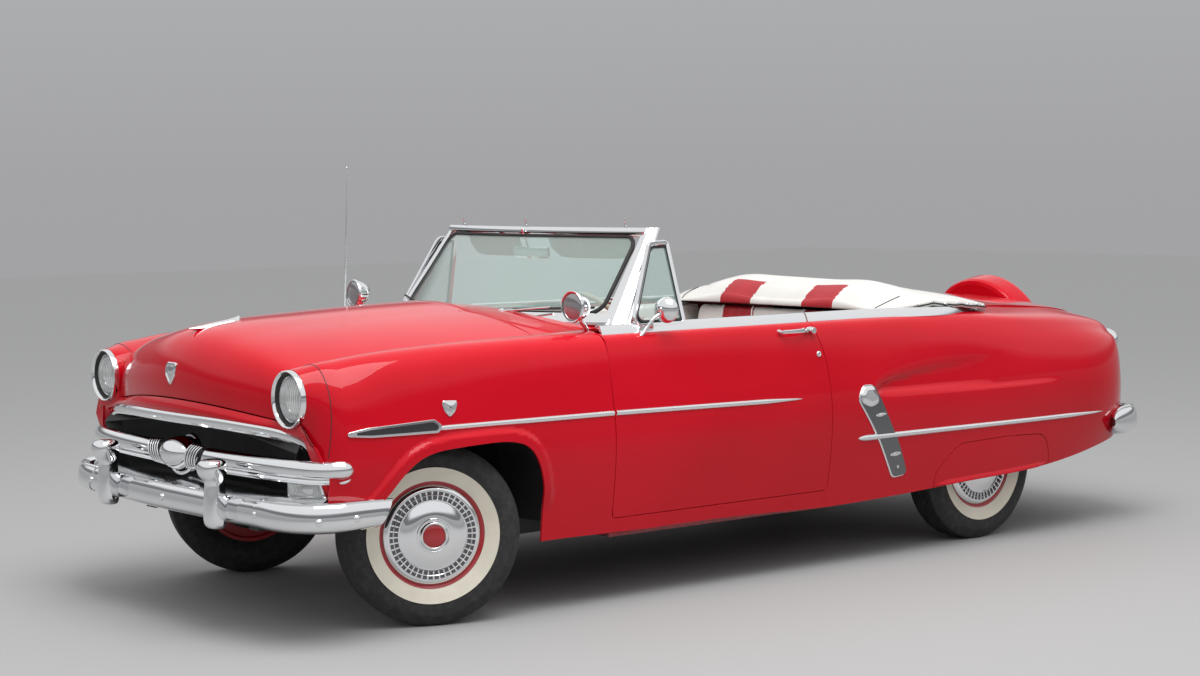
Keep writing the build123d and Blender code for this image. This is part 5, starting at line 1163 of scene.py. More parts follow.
bar_core = sweep(across([(NOSE_X - 0.178, 0, BAR_Z), (NOSE_X - 0.182, 0.26, BAR_Z)]), (1, 0, 0),
                 mm((30, -20), (24, 4), (0, 10), (-26, 4), (-34, -20)))
piece("grille_bar", *joined(*pair(bar_half)), chrome, "root", "bright_metal", 40)
piece("grille_core", *bar_core, frame_black, "root", "chassis_black", 40)
EGG = mm((56, -45), (60, -15), (61, 0), (59.5, 20), (54, 40), (44, 57), (30, 70), (15, 77), (0, 79))
egg_x = NOSE_X - 0.158
verts, faces = lathe(EGG, 48, (0, 0, 0), (1, 0, 0))
verts = [Vector((egg_x + v[0], v[1] * 1.50, BAR_Z + 0.006
                 + v[2] * (1.0 if v[2] > 0 else 1.10 - 1.6 * abs(v[1])))) for v in verts]
egg = (verts, faces)
ring_turns = np.radians(np.linspace(-172, -8, 40))
ring_path = [(egg_x - 0.012 + 0.022 * math.sin(-t), 0.106 * math.cos(t),
              BAR_Z + 0.006 + 0.078 * math.sin(t)) for t in ring_turns]
ROUND = [(math.cos(a), math.sin(a)) for a in np.linspace(0, 2 * math.pi, 12, endpoint=False)]
ring_size = 0.0072 * np.sqrt(np.clip(np.sin(np.linspace(0.04, 0.96, 40) * math.pi), 0, 1))
boss_ring = sweep(ring_path, (1, 0, 0), ROUND, ring_size)
boss_disc = lathe(mm((40, 0), (72, 0), (74, 6), (70, 14), (50, 20)), 48,
                  (egg_x - 0.050, 0, BAR_Z), (1, 0, 0))
ribs = []
for k in range(5):
    y = 0.108 + 0.0180 * k
    reach_up = 0.047 - 0.0010 * k
    arc = [(NOSE_X - 0.150 + 0.033 * math.cos(t) + 0.004, y + 0.016 * math.sin(t),
            BAR_Z + reach_up * math.sin(t)) for t in np.radians(np.linspace(105, -120, 22))]
    rib = sweep(arc, (0, 1, 0), ROUND,
                0.0038 * np.sqrt(np.sin(np.linspace(0.06, 0.94, 22) * math.pi)))
    ribs += pair(rib)
piece("grille_boss", *joined(egg, boss_ring, boss_disc, *ribs), chrome, "root", "bright_metal", 45)

# Parking lamps: clear ridged lenses in bright cast frames, one screwed in under each end
# of the bar, where it rounds the corner.
clear_lens, wire = finish("clear_lens", (0.80, 0.83, 0.82), 0.12, Alpha=0.62, Coat_Weight=1.0,
                          Coat_Roughness=0.03)
flutes = wire.node("TexWave", {"bands_direction": "Y"}, {"Vector": wire.place(), "Scale": 38.0})
# The flutes also make the lens's colour lighter and darker in bands: painted light and shade of the
# ridged glass.
connect(clear_lens, Normal=flutes.bump(0.9, 0.003),
        Base_Color=flutes.tint((0.62, 0.66, 0.65), (0.90, 0.92, 0.91)))
PARKING = outline(*mm((26, -36, 6), (26, 95, 6), (-26, 108, 6), (-26, -36, 6)))


def finer(line, step, least=2, whole=round):
    """A closed line with its sides cut into lengths of about one step."""
    points = []
    for here, after in zip(line, np.roll(line, -1, axis=0)):
        parts = max(least, whole(np.linalg.norm(after - here) / step))
        points += [here + (after - here) * share for share in np.arange(parts) / parts]
    return np.array(points)


def parking_part(levels):
    """A part of both lamps through levels (how far back, size), rounding the corner."""
    rings = [[(NOSE_X - back - 0.030 * (y + 0.05) / 0.10 - 0.35 * max(0.0, y - 0.045),
               0.745 + y * grow, 0.552 + z * grow) for z, y in finer(PARKING, 0.012)]
             for back, grow in levels]
    return joined(*pair(tube(rings)))


parking_frames = parking_part([(0.262, 1.0), (0.196, 1.0), (0.188, 0.97), (0.186, 0.90),
                               (0.190, 0.86), (0.200, 0.84)])
parking_lenses = parking_part([(0.196, 0.86), (0.190, 0.84), (0.185, 0.70), (0.183, 0.35)])
piece("parking_frames", *parking_frames, chrome, "root", "bright_metal", 30)
piece("parking_lenses", *parking_lenses, clear_lens, "root", "lamp_lens", 30)

# Air duct: black sheet between the mouth of the grille and the radiator.
# The duct is a black sheet and also painted shade: it darkens the inside of the mouth behind the
# grille.
duct_rings = []
for x, half, low, top in ((2.300, 0.800, 0.500, 0.690), (2.250, 0.780, 0.490, 0.760),
                          (2.200, 0.640, 0.450, 0.790), (2.150, 0.330, 0.420, 0.880)):
    duct_rings.append([(x, y, z) for y, z in ((half * 0.87, low), (half * 0.87, (low + top) / 2),
                                              (half * 0.93, top - 0.01), (half * 0.5, top + 0.03),
                                              (0, top + 0.04), (-half * 0.5, top + 0.03),
                                              (-half * 0.93, top - 0.01),
                                              (-half * 0.87, (low + top) / 2), (-half * 0.87, low),
                                              (0, low))])
inner_rings = [[(p[0], p[1] * 0.995, p[2] + (0.003 if p[2] < 0.6 else -0.003)) for p in ring]
               for ring in duct_rings]
duct = tube(duct_rings + inner_rings[::-1], False)
size = len(duct_rings[0])
last = 2 * len(duct_rings) - 1
duct[1].extend((last * size + k, last * size + (k + 1) % size, (k + 1) % size, k)
               for k in range(size))
piece("air_duct", *duct, frame_black, "root", "chassis_black", 30)

# Headlamps: a thin bright ring on a black gasket holds a fluted sealed lamp, with its
# bowl and bulb, in the mouth of each nacelle.
RING = mm(
    (80, -16), (83, -13.5), (85, -15), (95, 6), (97.5, 10), (100, 11.2), (102.5, 9.5), (103.8, 4),
    (104.3, -4), (104.5, -14), (100, -18), (80, -16))
BOWL = mm((81, -16), (80, -24), (70, -48), (45, -68), (20, -78), (0, -80))
BOWL_BACK = mm((81, -16), (89, -18), (86, -30), (73, -54), (47, -76), (0, -88))
lens_line = ([(0.0805, -0.017)] + [(0.0800 * math.sin(t), 0.026 * math.cos(t) - 0.016)
                                  for t in np.radians(np.linspace(88, 8, 9))] + [(0, 0.0103)])
head_lens, wire = finish("fluted_lens", (0.86, 0.88, 0.87), 0.10, Alpha=0.50, Coat_Weight=1.0,
                         Coat_Roughness=0.02)
at = wire.place()
flutes = wire.node("TexWave", {"bands_direction": "Y"}, {"Vector": at, "Scale": 30.0})
bars = wire.node("TexWave", {"bands_direction": "Z"}, {"Vector": at, "Scale": 9.0})
# The flutes also make the lens's colour lighter and darker in bands: painted light and shade of the
# ridged glass.
connect(head_lens, Normal=(flutes + bars * 0.6).bump(0.8, 0.004),
        Base_Color=flutes.tint((0.72, 0.75, 0.74), (0.93, 0.94, 0.93)), Alpha=flutes * 0.25 + 0.42)
GASKET = mm((83.5, -15), (85, -11.5), (91.5, 1.8), (92.8, 0.4), (87, -12), (83.5, -15))
BULB = mm((12, -70), (16, -58), (15, -40), (9, -30), (0, -27))


def in_lamps(name, profiles, steps, material, slot):
    """Turned parts in both headlamps."""
    parts = [lathe(profile, steps, (LAMP_X + 0.010, side * LAMP_Y, LAMP_Z), (1, 0, 0))
             for side in (1, -1) for profile in profiles]
    return piece(name, *joined(*parts), material, "root", slot, 40)


in_lamps("headlamp_gaskets", [GASKET], 72, frame_black, "chassis_black")
rings = in_lamps("headlamp_rings", [RING], 72, chrome, "bright_metal")
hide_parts("headlamps")
in_lamps("headlamp_bowls", [BOWL, BOWL_BACK], 48, bright_trim, "bright_metal")
in_lamps("headlamp_lenses", [lens_line], 64, head_lens, "lamp_lens")
in_lamps("headlamp_bulbs", [BULB], 24, clear_lens, "lamp_lens")
line = [(LAMP_X + 0.0185 - 0.020 * s * s, LAMP_Y + 0.078 * s, LAMP_Z)
        for s in np.linspace(-1, 1, 14)]
divider = sweep(line, (1, 0, 0), ROUND[::2], 0.0016)
piece("headlamp_dividers", *joined(*pair(divider)), bright_trim, "root", "lamp_lens", 40)
# The seam: a thin black line swept over each nacelle, painted shade standing in for the seam's
# groove.
seam = sweep(nacelle_skin(np.full(40, 0.42), np.linspace(0.10, 0.55, 40))[::-1], (0, 1, 0.5),
             ROUND[::2], 0.0016)
piece("nacelle_seams", *joined(*pair(seam)), frame_black, "root", "body_paint", 60)

# Windshield: one bowed pane in a rubber seal, inside a plated frame of header and side
# posts, with two wipers on the cowl and the latch pins of the folded top.
SHIELD_FOOT_Z = 1.060
SHIELD_RISE = 0.365
SHIELD_HALF = 0.728
SHIELD_TAPER = 0.056
SHIELD_OUT = (0.83, 0, 0.55)


def shield(up, across_share, lift=0.0):
    """Points of the windshield: up from 0 at the foot to 1, and from -1 at the right to 1."""
    t, s = np.broadcast_arrays(np.asarray(up, float), np.asarray(across_share, float))
    return np.stack([0.868 - 0.246 * t + (0.236 - 0.150 * t) * (1 - s ** 2) + lift * SHIELD_OUT[0],
                     (SHIELD_HALF - SHIELD_TAPER * t) * s,
                     SHIELD_FOOT_Z + SHIELD_RISE * t + lift * SHIELD_OUT[2]], axis=-1)


class Pane(Skin):
    """The windshield's skin: u is the way up and v the way across."""

    def __init__(self):
        pass

    def __call__(self, u, v):
        return shield(u, v)


glass, wire = finish("tinted_glass", (0.42, 0.60, 0.55), 0.03, Alpha=0.30, Coat_Weight=1.0,
                     Coat_Roughness=0.01)
connect(glass, Alpha=wire.noise(3.0, 2.0) * 0.06 + 0.24)
GLASS_EDGE = outline(*mm((-668, 1106, 40), (-636, 1396, 50), (636, 1396, 50), (668, 1106, 40)))
pane = panel("windshield_pane", Pane(), np.linspace(0.05, 0.97, 14), np.linspace(-0.97, 0.97, 60),
             [lambda p: -reach(p[:, 1:], GLASS_EDGE)], glass, "root", "clear_glass",
             outward=(1, 0, 0.5), wall=0.005, hem=0.0005)
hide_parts("windshield_glass")


def loop(path, outs, section):
    """A closed section of (up, out) carried round a closed path."""
    path = np.asarray(path, float)
    ahead = unit(np.roll(path, -1, axis=0) - np.roll(path, 1, axis=0))
    ups = unit(np.cross(np.broadcast_to(np.asarray(outs, float), path.shape), ahead))
    outs = np.cross(ahead, ups)
    return tube([[p + u * a + o * b for a, b in section] for p, u, o in zip(path, ups, outs)],
                False, True)


edge_line = outline(*mm((-671, 1103, 45), (-639, 1399, 55), (639, 1399, 55), (671, 1103, 45)))
seal_path = []
for y, z in finer(edge_line, 0.03, whole=int):
    t = (z - SHIELD_FOOT_Z) / SHIELD_RISE
    seal_path.append(shield(t, y / (SHIELD_HALF - SHIELD_TAPER * t)))
seal = loop(seal_path, SHIELD_OUT, mm((6, -8), (8, 0), (4, 5.5), (-4, 5.5), (-8, 0), (-6, -8)))
piece("windshield_seal", *seal, black_rubber, "root", "chassis_black", 50)
HEADER = mm(
    (-15, -16), (-16.5, 6), (-15, 13), (-9, 16.5), (0, 18), (7, 16.5), (12, 10), (13.5, 0),
    (11.5, -16), (4, -17.5), (-9, -17.5))
header = sweep(shield(0.985, np.linspace(-1.0, 1.0, 50)), SHIELD_OUT, HEADER)
sill = sweep(shield(0.075, np.linspace(-0.99, 0.99, 50), -0.004), SHIELD_OUT,
             mm((-42, -12), (-42, 16), (-34, 22), (-6, 16), (14, 14), (18, 8), (18, -12)))
# A post's outline at the foot, from the glass edge, forward and outward; it narrows to the top
POST = mm(
    (10, -36), (20, -30), (21, 0), (16, 14), (2, 30), (-22, 48), (-48, 62), (-58, 64), (-60, 56),
    (-40, 36), (-22, 10), (-14, -36))
post_rings, seam_path = [], []
for share in np.linspace(0, 1, 16):
    foot = shield(-0.04 + 1.065 * share, 1.0)
    grow = 1 - 0.48 * share ** 0.8
    post_rings.append([foot + (x * grow, y * grow, 0) for x, y in POST])
    seam_path.append(foot + np.array([-0.020, 0.0475, 0]) * grow)
post = tube(post_rings)
posts = joined(header, sill, *pair(post))
made = piece("windshield_surround", *posts, chrome, "root", "bright_metal", 42)
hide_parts("windshield_frame")
seams = sweep(seam_path, (0.6, 1, 0),
              [(math.cos(a) * 0.0022, math.sin(a) * 0.0022) for a in np.linspace(0, 6.28, 7)[:-1]])
piece("post_seams", *joined(*pair(seams)), black_rubber, "root", "chassis_black", 60)
pins = []
for y in (-0.56, -0.03, 0.56):
    top = shield(1.02, y / 0.672)
    pins.append(lathe(mm((0, -4), (6.5, -2), (6.5, 8), (4.5, 12), (4.5, 26), (6, 30), (4, 38),
                         (0, 39)), 20, top, (0.1, 0, 1)))
piece("latch_pins", *joined(*pins), chrome, "root", "bright_metal", 50)
wipers, blades = [], []
for y in (-0.36, 0.30):
    foot = shield(0.06, y / 0.72, 0.030)
    knuckle = foot + (0.012, 0, 0.010)
    tip = shield(0.145, (y - 0.40) / 0.72 if y < 0 else (y + 0.36) / 0.72, 0.026)
    half = shield(0.13, (y - 0.21) / 0.72 if y < 0 else (y + 0.19) / 0.72, 0.034)
    wipers += [lathe(mm((0, -20), (14, -18), (14, 0), (10, 8), (0, 10)), 20, knuckle, (0.5, 0, 1)),
               sweep([knuckle, half] if y < 0 else [half, knuckle], (1, 0, 0.6), ROUND, 0.0035)]
    low_end = shield(0.115, (y - 0.02) / 0.72 if y < 0 else (y + 0.02) / 0.72, 0.022)
    line = [tip, low_end] if y < 0 else [low_end, tip]
    blades.append(sweep(line, (1, 0, 0.6), mm((4, -3), (4, 3), (-4, 2), (-4, -3))))
piece("wiper_arms", *joined(*wipers), bright_trim, "root", "stainless", 50)
piece("wiper_blades", *joined(*blades), black_rubber, "root", "chassis_black", 40)

# Sun visors and mirror: two padded boards in grey cloth hang from the header, with the
# plated mirror on its stay between them.
visor_cloth, wire = finish("visor_cloth", (0.52, 0.51, 0.48), 0.85, Sheen_Weight=0.2)
connect(visor_cloth, Normal=wire.noise(900.0, 2.0).bump(0.3, 0.0003),
        Base_Color=wire.noise(20.0).tint((0.55, 0.54, 0.51), (0.47, 0.46, 0.43)))
visors = []
for side in (1, -1):
    rings = []
    for share in np.linspace(0, 1, 12):
        y = side * (0.10 + 0.46 * share)
        grow = 0.55 + 0.45 * math.sqrt(max(0, 1 - (2 * share - 1) ** 6))
        base = shield(0.90, y / 0.67)
        rings.append([base + (-0.062 + 0.62 * a * grow, 0, b * grow)
                      for a, b in ((0.010, 0.040), (0.022, 0.030), (-0.040, -0.075),
                                   (-0.052, -0.083), (-0.062, -0.075), (-0.006, 0.034))])
    visors.append(tube(rings))
piece("sun_visors", *joined(*visors), visor_cloth, "root", "seat_trim", 50)
mirror_place = shield(0.86, 0)
glass_box = [[(mirror_place[0] - 0.055 - abs(y) * 0.12 + a, y, mirror_place[2] - 0.045 + b)
              for a, b in ((0.006, 0.022), (0.010, 0.010), (0.008, -0.020), (-0.004, -0.026),
                           (-0.008, -0.020), (-0.006, 0.018))]
             for y in np.linspace(-0.115, 0.115, 9)]
stay = sweep([mirror_place + (-0.060, 0, -0.045), mirror_place + (-0.018, 0, 0.052)], (1, 0, 0.2),
             ROUND, 0.005)
piece("inside_mirror", *joined(tube(glass_box), stay), chrome, "root", "bright_metal", 40)

# Vent windows: fixed triangles of glass, sealed in plated frames that are screwed to the
# tops of the doors.
VENT_LEAN = math.radians(15)
VENT = mm((822, 22, 30), (664, 350, 30), (575, 352, 10), (560, 22, 12))


def on_vent(x, h):
    """A point of the vent window's plane, which leans in over the door."""
    return np.array([x, 0.8195 - h * math.sin(VENT_LEAN), 1.036 + h * math.cos(VENT_LEAN)])


vent_line = finer(outline(*VENT), 0.03, whole=int)
centre = vent_line.mean(axis=0)
vent_path = [on_vent(x, h) for x, h in vent_line]
pane_path = np.array([on_vent(x, h) for x, h in centre + (vent_line - centre) * 0.90])
vent_out = np.array([0, math.cos(VENT_LEAN), math.sin(VENT_LEAN)])
rim = loop(vent_path, vent_out, mm((9, -8), (9.5, 4), (6, 8.5), (-4, 9), (-8.5, 5), (-9, -8)))
seal = loop(pane_path, vent_out, mm((5, -6), (5, 6), (-4, 5), (-5, -6)))
vent_pane = tube([pane_path + vent_out * off for off in (-0.0025, 0.0025)])
SIDES = (("left", 1), ("right", -1))
for name, side in SIDES:
    door = "door_" + name
    made = piece("vent_frame_" + name, *mirrored(rim, side), chrome, door, "bright_metal", 45)
    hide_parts("vent_glass_" + name)
    piece("vent_seal_" + name, *mirrored(seal, side), black_rubber, door, "chassis_black", 45)
    piece("vent_pane_" + name, *mirrored(vent_pane, side), glass, door, "clear_glass", 30)

# Belt mouldings: a bright capping along the top edge of each door and on round the quarter
# to the rear of the top's well, with a turned-down outer flange.
BELT = mm(
    (16, -30), (20.5, -18), (19.5, -8), (15, -1), (4, 5), (-10, 11), (-18, 13), (-21, 10.5),
    (-20.5, 4), (-8, -2), (4, -7), (8, -30))


def belt_path(first, last, count):
    us = np.linspace(rear_side.along(first), rear_side.along(last), count)
    return rear_side(us, np.full(count, 5.0)) + (0, 0.006, 0.012)


door_belt = belt_path(DOOR_FRONT_X - 0.012, DOOR_REAR_X + DOOR_LEAN + 0.004, 50)
quarter_belt = belt_path(DOOR_REAR_X + DOOR_LEAN - 0.004, DECK_FRONT_X + 0.010, 60)
for name, side in SIDES:
    part = sweep(door_belt, (0, 1, 0), BELT)
    piece("door_belt_" + name, *mirrored(part, side), bright_trim, "door_" + name, "stainless", 40)
    part = sweep(quarter_belt, out_from(quarter_belt, (0.2, 0)), BELT)
    piece("quarter_belt_" + name, *mirrored(part, side), bright_trim, "root", "stainless", 40)


# Side trim: a spear from a bare arrow-shaped badge on the fender to a point on the door, a
# gravel shield behind the door, and a long spear across it to the tail.
def spot_on(skin, x, z, lift=0.0, guess=2.5):
    """The points of a side's skin at places and heights, raised by lift, and the ways out."""
    x, z = np.broadcast_arrays(np.asarray(x, float), np.asarray(z, float))
    target = np.column_stack([x.ravel(), z.ravel()])
    u = np.array([skin.along(place) for place in target[:, 0]])
    v = np.full(len(u), guess)
    step = 1e-3
    for _ in range(25):
        here = skin(u, v)[:, [0, 2]]
        by_u = (skin(u + step, v)[:, [0, 2]] - here) / step
        by_v = (skin(u, v + step)[:, [0, 2]] - here) / step
        miss = target - here
        scale = by_u[:, 0] * by_v[:, 1] - by_u[:, 1] * by_v[:, 0]
        along = (miss[:, 0] * by_v[:, 1] - miss[:, 1] * by_v[:, 0]) / scale
        upward = (by_u[:, 0] * miss[:, 1] - by_u[:, 1] * miss[:, 0]) / scale
        u = u + np.clip(along, -0.2, 0.2)
        v = np.clip(v + np.clip(upward, -0.5, 0.5), 0, 5)
    ways = skin.normal(u, v)
    ways *= np.sign(ways[:, 1:2])
    return skin(u, v) + ways * np.reshape(lift, (-1, 1)), ways


SPEAR = mm(
    (10.5, -3), (10, 1), (7, 5), (3, 7.5), (0, 8.2), (-4, 7), (-8.5, 3.5), (-10.5, 0.5),
    (-10.5, -3))


def body_of(body, name):
    """The body a part rides on: the root, or the door of its side."""
    return body if body == "root" else body + name


def spear(name, skin, ends, body, sizes, count=60):
    """A trim strip on both sides of the car, between two points (x, z) of a side's skin."""
    (x1, z1), (x2, z2) = ends
    share = np.linspace(0, 1, count)
    path, ways = spot_on(skin, x1 + (x2 - x1) * share, z1 + (z2 - z1) * share)
    part = sweep(path, ways, SPEAR, np.interp(share, *sizes), 0)
    for end, side in SIDES:
        piece(name + "_" + end, *mirrored(part, side), bright_trim, body_of(body, end), "stainless",
              40)


class Raised(Skin):
    """A skin raised by lift, and by a crown that grows in over 20 mm from a closed line."""

    def __init__(self, skin, line, lift, crown):
        self.skin, self.line, self.lift, self.crown = skin, line, lift, crown

    def __call__(self, u, v):
        points, ways = self.skin(u, v), self.skin.normal(u, v)
        ways = ways * np.sign(ways[..., 1:2])
        flat = points[..., [0, 2]].reshape(-1, 2)
        inner = np.clip(-reach(flat, self.line) / 0.02, 0, 1).reshape(points.shape[:-1])[..., None]
        return points + ways * (self.lift + self.crown * np.sqrt(inner))


def plate(name, skin, line, lift, material, slot, cell=0.008, hem=0.0025, crown=0.0):
    """A raised plate on both sides of the car, with a face that follows the skin."""
    low, high = line[:, 0].min(), line[:, 0].max()
    us = skin.steps(low - 0.02, high + 0.02, cell)
    vs = np.linspace(0, 5, 5 * max(12, round(0.25 / cell)) + 1)
    for end in ("left", "right"):
        panel(name + "_" + end, Raised(skin, line, lift, crown), us, vs,
              [lambda p: -reach(p[:, [0, 2]], line)], material, "root", slot, mirror=end == "right",
              wall=lift + 0.002, hem=hem)


# The end of the hinge gap between fender and door is at the door's front edge
spear("fender_spear", fender_side, ((1.812, 0.7445), (DOOR_FRONT_X + PANEL_GAP, 0.7392)), "root",
      ([0, 0.03, 1], [0.8, 1, 1]))
spear("door_spear", rear_side, ((DOOR_FRONT_X - PANEL_GAP, 0.7392), (0.016, 0.7250)), "door_",
      ([0, 0.80, 0.97, 1], [1, 1, 0.35, 0.06]))
BADGE = outline(*mm(
    (2232, 748, 6), (2110, 766.5, 100), (1835, 776.5, 12), (1800, 751, 12), (1823, 731, 10),
    (2100, 735, 100)))
plate("fender_badge", fender_side, BADGE, 0.0065, chrome, "bright_metal", 0.006)
field_black, wire = finish("badge_field", (0.020, 0.020, 0.024), 0.25, Coat_Weight=0.6)
connect(field_black, Roughness=wire.noise(60.0) * 0.2 + 0.2)
BADGE_FIELD = outline(*mm(
    (2196, 749, 4), (2102, 760, 100), (1842, 769, 10), (1812, 751, 10), (1828, 739, 8),
    (2096, 741.5, 100)))
plate("badge_field", fender_side, BADGE_FIELD, 0.0075, field_black, "chassis_black", 0.006, 0.0008)
CREST_SMALL = outline(*mm(
    (1795, 842, 8), (1724, 838, 8), (1740, 800, 20), (1764, 783, 6), (1782, 802, 20)))
plate("fender_crest", fender_side, CREST_SMALL, 0.004, chrome, "bright_metal", 0.005, 0.002, 0.006)
shield_finish, wire = finish("brushed_shield", (0.20, 0.205, 0.21), 0.32, 1.0)
brushed = wire.node("TexNoise", {},
                    {"Vector": wire.node("Mapping", {},
                                         {"Vector": wire.place(), "Scale": (1.0, 1.0, 0.04)}),
                     "Scale": 380.0})
connect(shield_finish, Roughness=brushed * 0.25 + 0.22, Normal=brushed.bump(0.15, 0.0004))
SHIELD = outline(*mm(
    (-300, 700, 34), (-335, 756, 32), (-395, 756, 36), (-428, 690, 100), (-482, 590, 800),
    (-540, 500, 800), (-612, 356, 16), (-528, 348, 30), (-432, 510, 800)))
plate("shield_rim", quarter_side, SHIELD, 0.0045, chrome, "bright_metal", 0.007, 0.003)
inner_shield = SHIELD.mean(axis=0) + (SHIELD - SHIELD.mean(axis=0)) * 0.985 - (0.006, 0)
plate("gravel_shield", quarter_side, inner_shield, 0.0060, shield_finish, "bright_metal", 0.007,
      0.001)
CAP = outline(*mm(
    (-302, 694, 30), (-337, 754, 31), (-393, 754, 35), (-423, 684, 20), (-372, 664, 50)))
plate("shield_cap", quarter_side, CAP, 0.0075, chrome, "bright_metal", 0.006, 0.0025, 0.009)
for number, (x, z) in enumerate(((-0.426, 0.628), (-0.531, 0.452))):
    RIB = outline((x + 0.040, z - 0.004, 0.002), (x, z + 0.009, 0.06),
                  (x - 0.044, z + 0.002, 0.002), (x, z - 0.010, 0.06))
    plate("shield_rib_%d" % number, quarter_side, RIB, 0.0075, chrome, "bright_metal", 0.005, 0.001,
          0.006)
spear("quarter_spear", quarter_side, ((-0.3065, 0.5350), (-1.9075, 0.5330)), "root",
      ([0, 0.012, 0.03, 0.85, 0.97, 1], [0.25, 1.0, 1.30, 1.0, 0.45, 0.10]), 120)
screws = []
for x, z in ((-0.360, 0.712), (-0.552, 0.395)):
    spots, ways = spot_on(quarter_side, [x], [z], 0.0075 if z < 0.5 else 0.014)
    head = dome(spots[0], ways[0], 0.0065, 0.0022)
    screws += pair(head)
piece("shield_screws", *joined(*screws), bright_trim, "root", "stainless", 50)

# Skirt lips: a flared steel edge rolled along the foot of each skirt and painted with
# it.
foot_places = np.linspace(-0.815, -1.532, 50)
foot_path = quarter_side([quarter_side.along(x) for x in foot_places], np.full(50, 0.03))
lip_part = sweep(foot_path, (0, 1, 0),
                 mm((20, -2), (10, 4), (0, 10.5), (-6, 11.5), (-8, 9), (-4, 0), (6, -10)),
                 np.interp(np.arange(50), [0, 4, 45, 49], [0.25, 1, 1, 0.25]))
piece("skirt_lips", *joined(*pair(lip_part)), paint, "root", "body_paint", 50)

# Door handles: a plated cast bar on two feet with a push button, and a key lock in the
# skin below it.
HANDLE_Z = 1.000
HANDLE_FOOT = mm((0, -4), (10, -2), (10, 6), (6, 12), (6, 26), (0, 26))
BUTTON = mm((0, -4), (15, -2), (15.5, 10), (14, 15), (14, 26), (12.5, 29), (0, 30))
LOCK = mm((0, -3), (12.5, -2), (12.5, 3), (10.5, 5), (6, 5.5), (5, 4), (0, 4))
path, ways = spot_on(rear_side, np.linspace(0.098, -0.062, 24), HANDLE_Z, 0.0, 3.2)
level = unit(ways * (1, 1, 0))
bow = 0.010 + 0.022 * np.sin(np.clip(np.linspace(0.02, 1.10, 24), 0, 1) * math.pi) ** 0.5
grip = sweep(path + level * bow[:, None], level,
             mm((7.5, -3), (6, 4), (0, 6), (-6, 4), (-7.5, -3), (0, -5)),
             np.interp(np.linspace(0, 1, 24), [0, 0.1, 0.9, 1], [0.6, 1, 1.25, 1.3]))
feet = [lathe(HANDLE_FOOT, 16, path[at], level[at]) for at in (1, 21)]
button_at, button_way = spot_on(rear_side, [-0.082], [HANDLE_Z - 0.002], 0.0, 3.2)
button = lathe(BUTTON, 28, button_at[0], unit(button_way * (1, 1, 0))[0])
lock_at, lock_way = spot_on(rear_side, [-0.108], [0.900])
handle = joined(grip, *feet, button, lathe(LOCK, 24, lock_at[0], lock_way[0]))
for name, side in SIDES:
    piece("door_handle_" + name, *mirrored(handle, side), chrome, "door_" + name, "bright_metal",
          45)

# Door mirror: a plated round head on a bent stalk, screwed down by a long oval foot on
# the left door only.
MIRROR_AT, MIRROR_WAY = (0.694, 0.8715, 1.118), (0.93, 0.30, 0.0)
head = lathe(mm((50, -4), (52, 0), (52.5, 6), (50, 14), (43, 26), (31, 36), (15, 41), (0, 42)), 48,
             MIRROR_AT, MIRROR_WAY)
face = lathe(mm((0, -2), (44, -3), (50, -4)), 48, MIRROR_AT, MIRROR_WAY)
stalk = sweep(smooth_line(mm((818, 846, 1014), (790, 852, 1040), (752, 862, 1088),
                             (712, 871, 1108)), 14), (0, 1, 0), ROUND, 0.0065)
foot_line = outline(*mm((905, 828, 12), (905, 858, 12), (720, 862, 12), (720, 832, 12)))
foot = tube([[(0.8125 + (x - 0.8125) * grow, 0.845 + (y - 0.845) * grow, z) for x, y in foot_line]
             for grow, z in ((1.0, 1.000), (1.0, 1.006), (0.93, 1.012), (0.5, 1.017),
                             (0.2, 1.018))])
made = piece("door_mirror_shell", *joined(head, face, stalk, foot), chrome, "door_left",
             "bright_metal", 50)
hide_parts("door_mirror")

# Spot lamps: a plated shell with a clear face on each side of the cowl, on a bent arm
# that comes up through the cowl.
SPOT_SHELL = mm(
    (0, -6), (18, -2), (36, 14), (50, 36), (57, 56), (60, 66), (62, 70), (62, 78), (59.5, 81.5),
    (56, 80), (54.5, 74))
SPOT_FACE = mm((55, 73.5), (54, 76), (40, 81.5), (20, 84.5), (0, 85))
ARM_LINE = mm((1042, 768, 1088), (1024, 764, 1070), (1003, 752, 1052), (990, 742, 1038))
arm = sweep(smooth_line(ARM_LINE, 10), (0, 1, 0), ROUND, 0.009)
shells, faces_of = [], []
for side in (1, -1):
    place, way = (1.012, side * 0.770, 1.141), (1, side * 0.06, 0.03)
    shells += [lathe(SPOT_SHELL, 48, place, way), mirrored(arm, side)]
    faces_of.append(lathe(SPOT_FACE, 40, place, way))
made = piece("spot_shells", *joined(*shells), chrome, "root", "bright_metal", 50)
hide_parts("spot_lamps")
spot_lens, wire = finish("spot_lens", (0.30, 0.31, 0.32), 0.08, 0.6, Coat_Weight=1.0)
connect(spot_lens, Normal=wire.noise(70.0, 1.0).bump(0.2, 0.002))
piece("spot_lenses", *joined(*faces_of), spot_lens, "root", "lamp_lens", 50)

# Antenna: a steel whip of three thin stages that slide into each other, on a bright foot
# bolted to the right of the cowl.
foot_at = Vector((1.152, -0.750, 1.028))
whip_way = Vector((-0.030, -0.010, 0.615)).normalized()
whip = lathe(mm((14, 0), (14.5, 10), (12.5, 22), (8.5, 30), (6.5, 52), (4.2, 58), (4, 250),
                (3, 255), (2.8, 450), (2, 455), (1.8, 655), (3.4, 659), (3.6, 664), (2, 668),
                (0, 669)), 16, foot_at, whip_way)
made = piece("antenna_whip", *whip, bright_trim, "root", "stainless", 50)
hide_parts("antenna")

